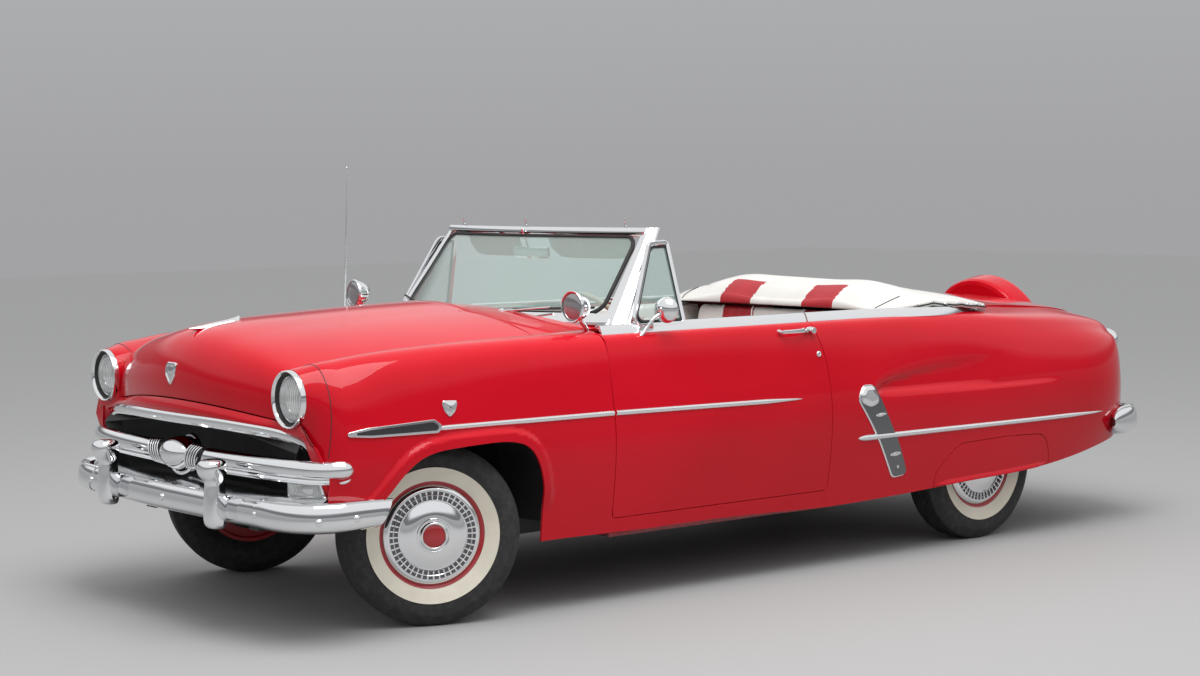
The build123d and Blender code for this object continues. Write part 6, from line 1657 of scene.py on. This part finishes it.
# Hood ornament: a flat cast and plated dart, bolted down by a short foot, and a blank
# plated crest on the hood's front.
dart_rings = []
for x, half, low, high_z in ((2.312, 0.003, 1.083, 1.088), (2.290, 0.010, 1.078, 1.092),
                             (2.250, 0.016, 1.076, 1.098), (2.200, 0.020, 1.080, 1.106),
                             (2.150, 0.023, 1.088, 1.113), (2.115, 0.022, 1.094, 1.120),
                             (2.098, 0.012, 1.096, 1.126), (2.092, 0.004, 1.100, 1.122)):
    middle = (low + high_z) / 2
    dart_rings.append([(x, half * math.cos(t) * (1 if abs(math.sin(t)) < 0.5 else 0.8),
                        middle + (high_z - middle) * math.sin(t))
                       for t in np.linspace(0, 2 * math.pi, 12, endpoint=False)])
dart_foot = tube([[(2.185 + a * g, b * g * 0.5, z)
                   for a, b in ((0.034, 0), (0.02, 0.018), (-0.02, 0.020), (-0.036, 0),
                                (-0.02, -0.020), (0.02, -0.018))]
                  for g, z in ((1.15, 1.072), (1.0, 1.080), (0.8, 1.096))])
made = piece("ornament_dart", *joined(tube(dart_rings), dart_foot), chrome, "hood", "bright_metal",
             45)
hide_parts("hood_ornament")
crest_line = outline(*mm((38, 42, 10), (-38, 42, 10), (-35, -6, 25), (0, -46, 10), (35, -6, 25)))
crest_rings = []
for grow, lift in ((1.0, -0.002), (1.0, 0.004), (0.90, 0.008), (0.78, 0.008), (0.72, 0.005),
                   (0.3, 0.008)):
    ring = []
    for y, z in crest_line:
        v = y * grow
        height_now = 0.922 + z * grow
        low_u, high_u = 0.0, 4.0
        for _ in range(30):
            mid = (low_u + high_u) / 2
            below = float(hood_skin(mid, v)[2]) < height_now
            low_u, high_u = (mid, high_u) if below else (low_u, mid)
        ring.append(hood_skin(mid, v) + np.array([0.98, 0, 0.15]) * lift)
    crest_rings.append(ring)
piece("hood_crest", *tube(crest_rings), chrome, "hood", "bright_metal", 30)

# Seats: vinyl over foam on spring frames, in two pieces each. The ends and the middle are
# white and the two inserts red with sewn channels; a piped seam runs between the colours.
def vinyl(name, colour, second, grain=600.0):
    made, wire = finish(name, colour, 0.46, Coat_Weight=0.12, Coat_Roughness=0.3)
    fine = wire.node("TexVoronoi", {}, {"Vector": wire.place(), "Scale": grain})
    connect(made, Normal=fine.bump(0.25, 0.0005), Roughness=wire.noise(11.0, 4.0) * 0.14 + 0.40,
            Base_Color=wire.noise(7.0, 4.0).ramp(0.35, 0.8).tint(colour, second))
    return made


white_vinyl = vinyl("white_vinyl", (0.72, 0.71, 0.68), (0.65, 0.63, 0.59))
red_vinyl = vinyl("red_vinyl", (0.42, 0.006, 0.014), (0.34, 0.005, 0.012))
PUFF_FRAMES = 14


def puffed(made, cap):
    """Rounds a closed pad by air pressure in the cloth solver, within a cap, and keeps it."""
    rest_at = np.array([v.co for v in made.data.vertices])
    cloth = made.modifiers.new("puff", "CLOTH")
    cloth.settings.use_pressure = True
    cloth.settings.uniform_pressure_force = 4.0
    cloth.settings.quality = 4
    cloth.settings.tension_stiffness = 40.0
    cloth.settings.compression_stiffness = 40.0
    cloth.settings.effector_weights.gravity = 0.0
    cloth.point_cache.frame_start = 1
    cloth.point_cache.frame_end = PUFF_FRAMES
    for number in range(1, PUFF_FRAMES + 1):
        bpy.context.scene.frame_set(number)
    ready = made.evaluated_get(bpy.context.evaluated_depsgraph_get())
    moved = np.array([v.co for v in ready.data.vertices]) - rest_at
    far = np.linalg.norm(moved, axis=1, keepdims=True)
    moved *= np.minimum(1.0, cap / np.maximum(far, 1e-9))
    made.modifiers.remove(cloth)
    made.data.vertices.foreach_set("co", (rest_at + moved).ravel())
    made.data.update()
    bpy.context.scene.frame_set(1)


def pad(name, line, half, inserts, face, channels=0.058, puff=0.010):
    """A seat pad: a rounded outline (x, z) carried across the car from -half to half, with
    soft ends. Inserts are the spans of |y| in red, and face is the way its channels look."""
    middle = line.mean(axis=0)
    dense = finer(line, 0.017, least=1)
    ahead = unit(np.roll(dense, -1, axis=0) - np.roll(dense, 1, axis=0))
    out = np.column_stack([ahead[:, 1], -ahead[:, 0]])
    if np.sum(out * (dense - middle)) < 0:
        out = -out
    looks = np.clip(out @ unit(np.array(face, float)), 0, 1)
    rings, ys = [], []
    for y in np.linspace(-half, half, int(2 * half / 0.014) + 1):
        end = min(1.0, (half - abs(y)) / 0.045)
        grow = 0.055 * (1 - math.sqrt(max(0, 1 - (1 - end) ** 2)))
        lift = 0.0
        for first, last in inserts:
            if first <= abs(y) <= last:
                phase = (abs(y) - first) / channels
                lift = -0.007 * abs(math.cos(phase * math.pi)) ** 6
        sag = 0.010 * math.sin(math.pi * min(1, max(0, (half - abs(y)) / half * 2)) / 2) - 0.006
        flat = dense - unit(dense - middle) * grow + out * (looks * (lift + sag * 0.4))[:, None]
        rings.append([(x, y, z) for x, z in flat])
        ys.append(y)
    verts, faces = tube(rings)
    caps = faces[-2:]
    faces = faces[:-2]
    for cap, y in zip(caps, (-half, half)):
        verts.append(np.mean([verts[i] for i in cap], axis=0) + (0, 0.012 * np.sign(y), 0))
        faces += [(cap[k - 1], cap[k], len(verts) - 1) for k in range(len(cap))]
    made = piece(name, verts, faces, white_vinyl, "root", "seat_trim", 70)
    made.data.materials.append(red_vinyl)
    for poly in made.data.polygons:
        y = abs(sum(verts[i][1] for i in poly.vertices) / len(poly.vertices))
        spot = np.mean([(verts[i][0], verts[i][2]) for i in poly.vertices], axis=0)
        near = int(np.argmin(np.sum((dense - spot) ** 2, axis=1)))
        if looks[near] > 0.15 and any(first < y < last for first, last in inserts):
            poly.material_index = 1
    puffed(made, puff)
    fine = made.modifiers.new("fine", "SUBSURF")
    fine.levels = fine.render_levels = 1
    # The piping follows the seam between the colours, over the face from edge to edge
    seam_runs = []
    on_face = [k for k in range(len(dense)) if looks[k] > 0.30]
    start = next(k for k in on_face if (k - 1) % len(dense) not in on_face)
    order = [(start + k) % len(dense) for k in range(len(on_face))]
    for first, last in inserts:
        for y in (first, last, -first, -last):
            path = [(dense[k][0] + out[k][0] * 0.002, y, dense[k][1] + out[k][1] * 0.002)
                    for k in order[2:-3]]
            seam_runs.append(sweep(path, (0, 1, 0), ROUND[::2], 0.0030))
    piece(name + "_piping", *joined(*seam_runs), white_vinyl, "root", "seat_trim", 60)
    return made


FRONT_HALF, FRONT_INSERTS = 0.706, [(0.10, 0.565)]
REAR_HALF, REAR_INSERTS = 0.578, [(0.17, 0.375)]
FRONT_CUSHION = outline(*mm(
    (522, 482, 10), (530, 598, 30), (498, 637, 30), (120, 622, 20), (108, 482, 10)))
FRONT_BACK = outline(*mm(
    (100, 640, 20), (13, 1027, 28), (-50, 1022, 28), (-22, 482, 10), (86, 482, 10)))
REAR_CUSHION = outline(*mm(
    (-262, 482, 10), (-250, 598, 30), (-282, 637, 30), (-652, 622, 20), (-662, 482, 10)))
REAR_BACK = outline(*mm(
    (-655, 636, 20), (-716, 1037, 28), (-820, 1030, 24), (-790, 482, 10), (-684, 482, 10)))
front_pad = pad("front_cushion", FRONT_CUSHION, FRONT_HALF, FRONT_INSERTS, (0.2, 1))
pad("front_backrest", FRONT_BACK, FRONT_HALF, FRONT_INSERTS, (1, 0.2))
rear_pad = pad("rear_cushion", REAR_CUSHION, REAR_HALF, REAR_INSERTS, (0.2, 1))
pad("rear_backrest", REAR_BACK, REAR_HALF, REAR_INSERTS, (1, 0.2))
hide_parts("front_seat")
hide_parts("rear_seat")

# Boot: a white vinyl cover stretched and snapped down over the folded roof, with the roof's
# bows standing under it as soft ridges and a black-piped welt along its hem. Its front
# slopes down behind the rear seat and carries that seat's red inserts on.
BOOT_ROWS = mm(
    (-716, 688, 1046, 1074), (-748, 722, 1058, 1106), (-790, 752, 1070, 1134),
    (-840, 776, 1080, 1152), (-900, 789, 1084, 1158), (-980, 792, 1080, 1150),
    (-1071, 788, 1072, 1130), (-1190, 768, 1063, 1116), (-1270, 744, 1056, 1104),
    (-1306, 728, 1050, 1096))
boot_rows = []
for x, half, edge, crown in BOOT_ROWS:
    front_share = 1 - blend(-x, 0.84, 1.25)
    row = []
    for s in np.linspace(-1, 1, 15):
        shoulder = 0.016 * math.exp(-((abs(s) - 0.52) / 0.20) ** 2) * front_share
        z = edge + (crown - edge) * (1 - abs(s) ** 2.6) + shoulder
        row.append((x - 0.020 * (1 - s * s) * blend(-x, 1.20, 1.31) + 0.030 * (abs(s) ** 3)
                    * (1 - blend(-x, 0.72, 0.85)), half * s, z))
    boot_rows.append(row)


# The bows under the cover: rise, place behind the middle of the car, and width
BOWS = ((0.0045, 0.905, 0.022), (0.0035, 1.085, 0.026))


def boot_form(points):
    """Soft ridges over the bows, small puckers at the hem, and a pulled fold at each side."""
    x, y, z = points.T
    ridge = sum(rise * np.exp(-((x + at) / wide) ** 2) for rise, at, wide in BOWS)
    aside = np.abs(y)
    hem = blend(aside, 0.60, 0.78)
    pucker = 0.0007 * np.sin(x * 57 + np.sign(y)) * hem + 0.0003 * np.sin(x * 121 + 2 * y) * hem
    slack = 0.004 * np.sin(5.1 * y + 7 * x) * np.sin(3.0 * x + 1.0) * (1 - hem)
    crease = (x + 0.87 + (aside - 0.66) * 0.8) / 0.012
    fold = -0.006 * np.exp(-crease ** 2) * blend(aside, 0.50, 0.62)
    return points + np.column_stack([x * 0, x * 0, ridge + pucker + slack + fold])


boot_skin = Skin(boot_rows, boot_form)
us = np.linspace(0, boot_skin.places[-1], 66)
grid = boot_skin(*np.meshgrid(us, np.linspace(0, 14, 150), indexing="ij"))
# The hem turns down over the belt moulding and is bound there
hem_rings = []
for row in grid:
    side_drop = [row[0] + (0, -0.004, -0.010), row[0] + (0, -0.005, -0.026)]
    other_drop = [row[-1] + (0, 0.005, -0.026), row[-1] + (0, 0.004, -0.010)]
    hem_rings.append(np.vstack([side_drop[::-1], row, other_drop[::-1]]))
first, last = hem_rings[0], hem_rings[-1]
front_lip = []
for share in np.linspace(1, 0, 9)[:-1]:
    drop = first.copy()
    drop[:, 0] += 0.022 * math.sin(share * math.pi / 2) - 0.006 * share
    drop[:, 2] -= np.maximum(drop[:, 2] - 1.043, 0) * share ** 1.6
    front_lip.append(drop)
rear_lip = [last + np.array((-0.003, 0, -0.010)) * k for k in (1, 1.9)]
sheet_rows = np.array(front_lip + hem_rings + rear_lip)
count, wide = sheet_rows.shape[:2]
outer = sheet_rows.reshape(-1, 3)
quads = [(i * wide + j, i * wide + j + 1, (i + 1) * wide + j + 1, (i + 1) * wide + j)
         for i in range(count - 1) for j in range(wide - 1)]
boot = piece("boot_cover", outer, quads, white_vinyl, "root", "boot_vinyl", 80)
boot.data.materials.append(red_vinyl)
for poly in boot.data.polygons:
    spot = np.mean([outer[i] for i in poly.vertices], axis=0)
    if spot[0] > -0.805 and REAR_INSERTS[0][0] < abs(spot[1]) < REAR_INSERTS[0][1]:
        poly.material_index = 1
thick = boot.modifiers.new("thickness", "SOLIDIFY")
thick.thickness = 0.0022
thick.offset = -1.0
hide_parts("top_boot")
stack_rings = []
for x, half, edge, crown in mm((-822, 735, 1054, 1112), (-900, 770, 1062, 1132),
                               (-1070, 768, 1050, 1108), (-1285, 710, 1042, 1078)):
    ring = [(x, half * s, edge + (crown - edge) * (1 - abs(s) ** 2.6))
            for s in np.linspace(-1, 1, 25)]
    stack_rings.append(ring + [(x, half * s, 1.0375) for s in np.linspace(1, -1, 25)])
piece("top_stack", *tube(stack_rings),
      worn("folded_top_cloth", (0.10, 0.095, 0.09), 0.9, grain=500.0), "root", "boot_vinyl", 60)
welt_path = [row[-3] + np.array((0, 0.0065, -0.016)) for row in hem_rings]
welt = sweep(welt_path, (0, 1, 0.2), ROUND, 0.0034)
flap = sweep(boot_skin(np.linspace(us[0], us[14], 16), np.linspace(13.55, 13.10, 16))
             + (0, 0, 0.001), (0, 0.3, 1), ROUND[::2], 0.0022)
piece("boot_welt", *joined(*pair(welt), *pair(flap)), black_rubber, "root", "boot_vinyl", 60)
snaps = []
for k in range(6, 64, 8):
    row = hem_rings[k]
    head = dome(row[-2] + (0, 0.0015, 0), (0, 1, 0.15), 0.0075, 0.0035, 16)
    snaps += pair(head)
piece("boot_snaps", *joined(*snaps), chrome, "root", "bright_metal", 50)


# Cabin sides: trim boards on the doors and the quarters, white with a red field between two
# bright strips, with an arm rest and a window crank on each door.
def board(line, y, thick, edge=0.005):
    """A flat board on the left side: an outline (x, z) whose inner face is at y, thick outwards."""
    line = np.asarray(line)
    middle = line.mean(axis=0)
    rings = []
    for shrink, off in ((edge, 0.0), (edge * 0.3, edge * 0.3), (0, edge), (0, thick)):
        flat = line - unit(line - middle) * shrink
        rings.append([(x, y + off, z) for x, z in flat])
    return tube(rings)


def oblong(front, rear, low, high, radius, top_radius=None):
    """The outline (x, z) of an upright oblong with rounded corners."""
    above = radius if top_radius is None else top_radius
    return outline((front, low, radius), (front, high, above), (rear, high, above),
                   (rear, low, radius))


CARD_FRONT, CARD_REAR = DOOR_FRONT_X - 0.045, DOOR_REAR_X + 0.060
FIELD_FRONT, FIELD_REAR, FIELD_LOW, FIELD_HIGH = CARD_FRONT - 0.05, CARD_REAR + 0.05, 0.560, 0.900
card = board(oblong(CARD_FRONT, CARD_REAR, 0.400, 1.010, 0.02), CABIN_Y - 0.003, 0.006)
field = board(oblong(FIELD_FRONT, FIELD_REAR, FIELD_LOW, FIELD_HIGH, 0.03), CABIN_Y - 0.009, 0.008)
rest_pad = board(oblong(0.52, 0.16, 0.735, 0.790, 0.02, 0.025), CABIN_Y - 0.050, 0.046, 0.014)
CRANK_X, CRANK_Z, KNOB_X, KNOB_Z = 0.35, 0.86, 0.27, 0.845
brightwork = [lathe(mm((0, -4), (18, -4), (16, -14), (8, -22), (0, -23)), 20,
                    (CRANK_X, CABIN_Y - 0.006, CRANK_Z)),
              sweep([(CRANK_X, CABIN_Y - 0.026, CRANK_Z), (KNOB_X, CABIN_Y - 0.028, KNOB_Z)],
                    (0, -1, 0), ROUND, 0.005),
              lathe(mm((0, -52), (10, -50), (11, -34), (0, -26)), 16,
                    (KNOB_X, CABIN_Y - 0.002, KNOB_Z))]
brightwork += [sweep([(FIELD_FRONT, CABIN_Y - 0.010, z), (FIELD_REAR, CABIN_Y - 0.010, z)],
                     (0, -1, 0), ROUND, 0.004) for z in (FIELD_LOW, FIELD_HIGH)]
inner = board(oblong(-0.070, -0.800, 0.470, 1.016, 0.01, 0.02), 0.6465, 0.012)
shelf = tube([[(x, y, z) for y, z in ((0.650, 1.004), (0.655, 1.020), (0.795 - drop, 1.026),
                                      (0.795 - drop, 1.014))]
              for x, drop in ((-0.105, 0.0), (-0.500, 0.010), (-0.800, 0.018))])
quarter_field = board(oblong(-0.11, -0.62, 0.66, 0.93, 0.03), 0.6425, 0.004, 0.003)
for name, side in SIDES:
    door = "door_" + name
    piece("door_card_" + name, *mirrored(card, side), white_vinyl, door, "seat_trim", 40)
    piece("door_field_" + name, *mirrored(field, side), red_vinyl, door, "seat_trim", 40)
    made = piece("arm_rest_" + name, *mirrored(rest_pad, side), white_vinyl, door, "seat_trim", 60)
    piece("door_brightwork_" + name, *mirrored(joined(*brightwork), side), chrome, door,
          "bright_metal", 45)
    made = piece("quarter_trim_" + name, *mirrored(joined(inner, shelf), side), white_vinyl, "root",
                 "seat_trim", 40)
    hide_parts("quarter_panels")
    piece("quarter_field_" + name, *mirrored(quarter_field, side), red_vinyl, "root", "seat_trim",
          40)

# Hidden body steel: black wheelhouses over all four wheels, the firewall, the bulkhead behind the
# rear seat, the pillars that the doors latch on, and a sheet at the back of the grille's mouth.
HOUSE_R, HOUSE_Y = 0.395, 0.735


def strip(inward, outward):
    """The section of a sheet 4 mm thick, from a distance inward of its path to one outward."""
    return [(0.002, -inward), (0.002, outward), (-0.002, outward), (-0.002, -inward)]


def house_arc(first, last, count):
    """Points (x, z) of the rear wheelhouse's arc, between two angles."""
    turn = np.radians(np.linspace(first, last, count))
    return np.column_stack([REAR_X + HOUSE_R * np.cos(turn), AXLE_Z + HOUSE_R * np.sin(turn)])


house = sweep([(x, HOUSE_Y, z) for x, z in house_arc(176, 4, 40)], (0, 1, 0), strip(0.115, 0.125))
half_disc = board(house_arc(4, 176, 30), 0.618, 0.003, 0.001)
# The front liner's line: its distance ahead of the axle, and its height
LINER = mm(
    (-395, 345), (-398, 560), (-350, 665), (-230, 722), (-60, 738), (120, 722), (270, 650),
    (372, 505), (382, 430))
liner_path = smooth_line([(FRONT_X + ahead, HOUSE_Y, z) for ahead, z in LINER], 40)
liner = sweep(liner_path[::-1], (0, 1, 0), strip(0.150, 0.128))
rear_post = board(outline(*mm((-118, 300, 10), (-100, 990, 10), (-160, 990, 10), (-160, 300, 10))),
                  0.665, 0.165)
hidden = [half for part in (house, half_disc, liner, rear_post) for half in pair(part)]
hidden.append(tube([[(x, y, z) for x, y in ((1.302, -0.600), (1.302, 0.600), (1.296, 0.600),
                                            (1.296, -0.600))] for z in (0.46, 1.00)]))
hidden.append(tube([[(x, y, z) for x, y in ((-1.289, -0.640), (-1.289, 0.640), (-1.301, 0.640),
                                            (-1.301, -0.640))] for z in (0.545, 1.010)]))
# A black sheet across the back of the grille's mouth, before the radiator: painted shade for the
# mouth's dark inside.
hidden.append(tube([[(x, y, z) for y, z in ((-0.50, 0.44), (0.50, 0.44), (0.50, 0.74), (0.30, 0.85),
                                            (-0.30, 0.85), (-0.50, 0.74))]
                    for x in (2.146, 2.150)]))
piece("inner_steel", *joined(*hidden), frame_black, "root", "chassis_black", 40)
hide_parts("cowl")

# Dashboard: a red pressed panel across the cabin, with two bright instrument bezels, a row
# of knobs and a bright strip.
DASH = outline(*mm(
    (1012, 982, 10), (1012, 1044, 14), (912, 1050, 30), (812, 1012, 26), (822, 930, 12),
    (842, 902, 12), (908, 902, 12), (935, 960, 12)))
dash_ends = [(-0.672, 0.985), (-0.664, 1.0), (0.664, 1.0), (0.672, 0.985)]
middle = DASH.mean(axis=0)
dash_rings = [[(middle[0] + (x - middle[0]) * grow, y, middle[1] + (z - middle[1]) * grow)
               for x, z in DASH] for y, grow in dash_ends]
made = piece("dash_panel", *tube(dash_rings), paint, "root", "dash_paint", 35)
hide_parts("dashboard")
GAUGE = mm((48, 0), (52, 4), (52, 10), (47, 12), (45, 8), (45, 3), (0, 2))
KNOB = mm((0, 0), (10, 0), (9, 10), (12, 13), (11, 19), (0, 20))
DASH_WAY = (-0.99, 0, 0.12)
gauges = [lathe(GAUGE, 40, (0.8215, y, 0.972), DASH_WAY) for y in (0.300, 0.460)]
gauges += [lathe(KNOB, 20, (0.8195, y, 0.955), DASH_WAY) for y in (-0.10, -0.04, 0.02, 0.12, 0.18)]
gauges.append(sweep([(0.8165, -0.62, 0.925), (0.8165, 0.62, 0.925)], (-1, 0, 0), ROUND, 0.004))
piece("dash_brightwork", *joined(*gauges), chrome, "root", "bright_metal", 45)

# Steering: an ivory wheel moulded over two spokes, with a bright horn ring, on a painted
# column with two plated levers.
ivory, wire = finish("ivory_plastic", (0.62, 0.56, 0.44), 0.34, Coat_Weight=0.3)
connect(ivory, Roughness=wire.noise(40.0) * 0.12 + 0.28)
hub, axis = Vector((0.630, 0.380, 0.985)), Vector((-0.866, 0, 0.5)).normalized()
side_way, up_way = Vector((0, 1, 0)), axis.cross(Vector((0, 1, 0)))
SPOKE_TURNS = (math.radians(8), math.radians(172))


def way_at(turn):
    """The way out from the steering axis at an angle, 0 to the left."""
    return side_way * math.cos(turn) + up_way * math.sin(turn)


def ring_of(radius, thick, off, waves=0.0):
    """A round hoop about the steering axis, with finger waves on its back."""
    rings = []
    for t in np.linspace(0, 2 * math.pi, 96, endpoint=False):
        ring = []
        for a in np.linspace(0, 2 * math.pi, 12, endpoint=False):
            wave = 1 + waves * math.cos(30 * t) * (math.sin(a) < -0.3)
            ring.append(hub + axis * (off + thick * math.sin(a) * wave) + way_at(t)
                        * (radius + thick * math.cos(a)))
        rings.append(ring)
    return tube(rings, False, True)


# A spoke's stations: distance from the axis, drop and half width
SPOKE = mm((30, -30, 26), (100, -16, 17), (170, -3, 14), (210, 0, 15))
spokes = []
for turn in SPOKE_TURNS:
    way, rings = way_at(turn), []
    for r, drop, w in SPOKE:
        section = ((0.007, 0.0), (0.003, w), (-0.005, w * 0.8), (-0.007, 0), (-0.005, -w * 0.8),
                   (0.003, -w))
        rings.append([hub + way * r + axis * (drop + a) + axis.cross(way) * b for a, b in section])
    spokes.append(tube(rings))
hub_part = lathe(mm((0, -50), (30, -48), (34, -30), (40, -16), (36, -6), (0, -4)), 40, hub, axis)
made = piece("steering_rim", *joined(ring_of(0.2045, 0.0115, 0.0, 0.12), hub_part, *spokes), ivory,
             "steering_wheel", "wheel_plastic", 50)
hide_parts("steering_wheel")
HORN_R = 0.118
horn = [ring_of(HORN_R, 0.0032, -0.006),
        lathe(mm((34, -6), (32, 2), (24, 8), (10, 11), (0, 11.5)), 32, hub, axis)]
for turn in SPOKE_TURNS:
    ends = [hub + way_at(turn) * 0.030 - axis * 0.004, hub + way_at(turn) * HORN_R - axis * 0.006]
    horn.append(sweep(ends, tuple(axis), ROUND[::2], 0.0030))
piece("horn_ring", *joined(*horn), chrome, "steering_wheel", "bright_metal", 50)
column = lathe(mm((0, 52), (26, 53), (28, 60), (28, 110), (26, 116), (25.5, 600), (24, 618),
                  (0, 619)), 32, hub, -axis)
made = piece("column_jacket", *column, frame_black, "root", "dash_paint", 40)
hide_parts("steering_column")
lever_at = hub - axis * 0.085
levers = [sweep([lever_at + side_way * near, lever_at + side_way * far + axis * rise], (0, 0, 1),
                ROUND, thick) for near, far, rise, thick in ((-0.028, -0.130, 0.020, 0.0045),
                                                             (0.028, 0.100, 0.016, 0.0035))]
piece("column_levers", *joined(*levers), chrome, "root", "bright_metal", 50)

# Rear bumper: a plated pressed blade, wrapped round to deep rounded ends, bolted to two
# black arms under a pair of cast guards.
REAR_LINE = mm(
    (-2426, 0), (-2408, 300), (-2372, 560), (-2322, 730), (-2262, 830), (-2190, 890), (-2100, 922),
    (-1985, 930))
rear_half = smooth_line([(x, y, BUMPER_MID_Z + 0.002 + 0.012 * blend(y, 0.5, 0.93))
                         for x, y in REAR_LINE], 90)
rear_path = across(rear_half)[::-1]
number = np.arange(len(rear_path))
near_end = np.minimum(number, number[::-1])
closing = 1 - np.clip((near_end + 0.25) / 9.0, 0, 1)
rear_size = (1 + 0.26 * (1 - blend(near_end, 12, 42))) * np.sqrt(1 - closing ** 2) ** 0.8
rear_blade = sweep(rear_path, out_from(rear_path, (-1.4, 0)), BLADE_SECTION, rear_size)
made = piece("rear_blade", *rear_blade, chrome, "root", "bright_metal", 30)
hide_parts("rear_bumper")
REAR_GUARD = [(z * 0.62 + 0.156, -2.430 - (front - 2.44) * 0.85,
               -2.430 - (back - 2.44) * 0.8 + 0.02, w * 0.85) for z, front, back, w in GUARD]
piece("rear_guards", *guards(GUARD_Y, REAR_GUARD), chrome, "root", "bright_metal", 50)
stays = [sweep([(-2.225, y, 0.464), (-2.392, y, 0.464)], (0, 1, 0),
               mm((21, -4), (21, 4), (-21, 4), (-21, -4))) for y in (BRACKET_Y, -BRACKET_Y)]
piece("rear_bumper_arms", *joined(*stays), frame_black, "root", "bright_metal", 30)
rear_bolts = []
for y, x in ((0.0, -2.4305), (0.640, -2.353)):
    head = dome((x, y, 0.464), (-1, y * 0.5, 0.1), 0.0135, 0.010)
    rear_bolts += pair(head) if y else [head]
piece("rear_bolts", *joined(*rear_bolts), chrome, "root", "bright_metal", 60)

# Tail lamps: ribbed red lenses with a bright jewel in the middle, in deep plated bezels
# screwed to the ends of the quarters.
tail_red, wire = finish("tail_lens_red", (0.50, 0.004, 0.006), 0.12, Coat_Weight=1.0,
                        Coat_Roughness=0.03)
rings_of = wire.node("TexWave", {"wave_type": "RINGS", "rings_direction": "X"},
                     {"Vector": wire.place(), "Scale": 40.0})
connect(tail_red, Normal=rings_of.bump(0.5, 0.002),
        Base_Color=rings_of.tint((0.55, 0.005, 0.008), (0.30, 0.002, 0.004)))
BEZEL = mm(
    (44, 30), (47, 0), (62, -4), (65, 20), (64, 44), (61, 60), (56, 67), (51, 64), (48, 52),
    (44, 30))
JEWEL = mm((18, 71), (17.5, 76), (13, 80), (0, 81))
RED = mm((47.5, 40), (47, 50), (40, 62), (26, 70), (18, 72))


def on_tail(profile, steps):
    """A turned part on both tail lamps, which face a little outward and up."""
    return [lathe(profile, steps, (-2.232, side * 0.640, 0.822), (-1, side * 0.10, 0.05))
            for side in (1, -1)]


made = piece("tail_bezels", *joined(*on_tail(BEZEL, 48), *on_tail(JEWEL, 32)), chrome, "root",
             "bright_metal", 45)
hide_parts("tail_lamps")
piece("tail_lenses", *joined(*on_tail(RED, 40)), tail_red, "root", "tail_lens", 45)

# Spare cover: a painted steel drum over the outside spare, with a bright ring round its
# domed face and a plated button, carried by the trunk lid.
cover_way = Vector((-math.cos(math.radians(12)), 0, math.sin(math.radians(12))))
cover_at = Vector((-2.167, 0, 0.807))
DRUM = mm(
    (300, -66.5), (318, -64), (324.5, -54), (325, -40), (325, 35), (322.5, 50), (314, 62),
    (300, 67.5), (285, 70), (262, 85), (220, 112), (160, 140), (90, 158), (40, 164), (0, 165))
DRUM_BACK = mm((0, -60), (150, -62), (290, -64), (300, -66.5))
TRIM_RING = mm((292, 68.5), (294, 73), (289, 76.5), (283, 74.5), (281, 70.5), (292, 68.5))
SPARE_BUTTON = mm((46, 163.5), (46, 168), (40, 172), (20, 174.5), (0, 175))


def on_spare(low, *profiles, steps=112):
    """Turned parts of the cover, cut flat at a height above the bumper."""
    verts, faces = joined(*(lathe(profile, steps, cover_at, cover_way) for profile in profiles))
    return [(x, y, max(z, low)) for x, y, z in verts], faces


made = piece("spare_drum", *on_spare(0.5605, DRUM, DRUM_BACK), paint, "trunk_lid", "body_paint", 40)
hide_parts("spare_cover")
piece("spare_ring", *on_spare(0.5625, TRIM_RING), chrome, "trunk_lid", "bright_metal", 50)
piece("spare_button", *on_spare(0, SPARE_BUTTON, steps=40), chrome, "trunk_lid", "bright_metal", 50)

# Sizes: the box of the finished model, beside the box of the CAD found at the start.
low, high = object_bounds()
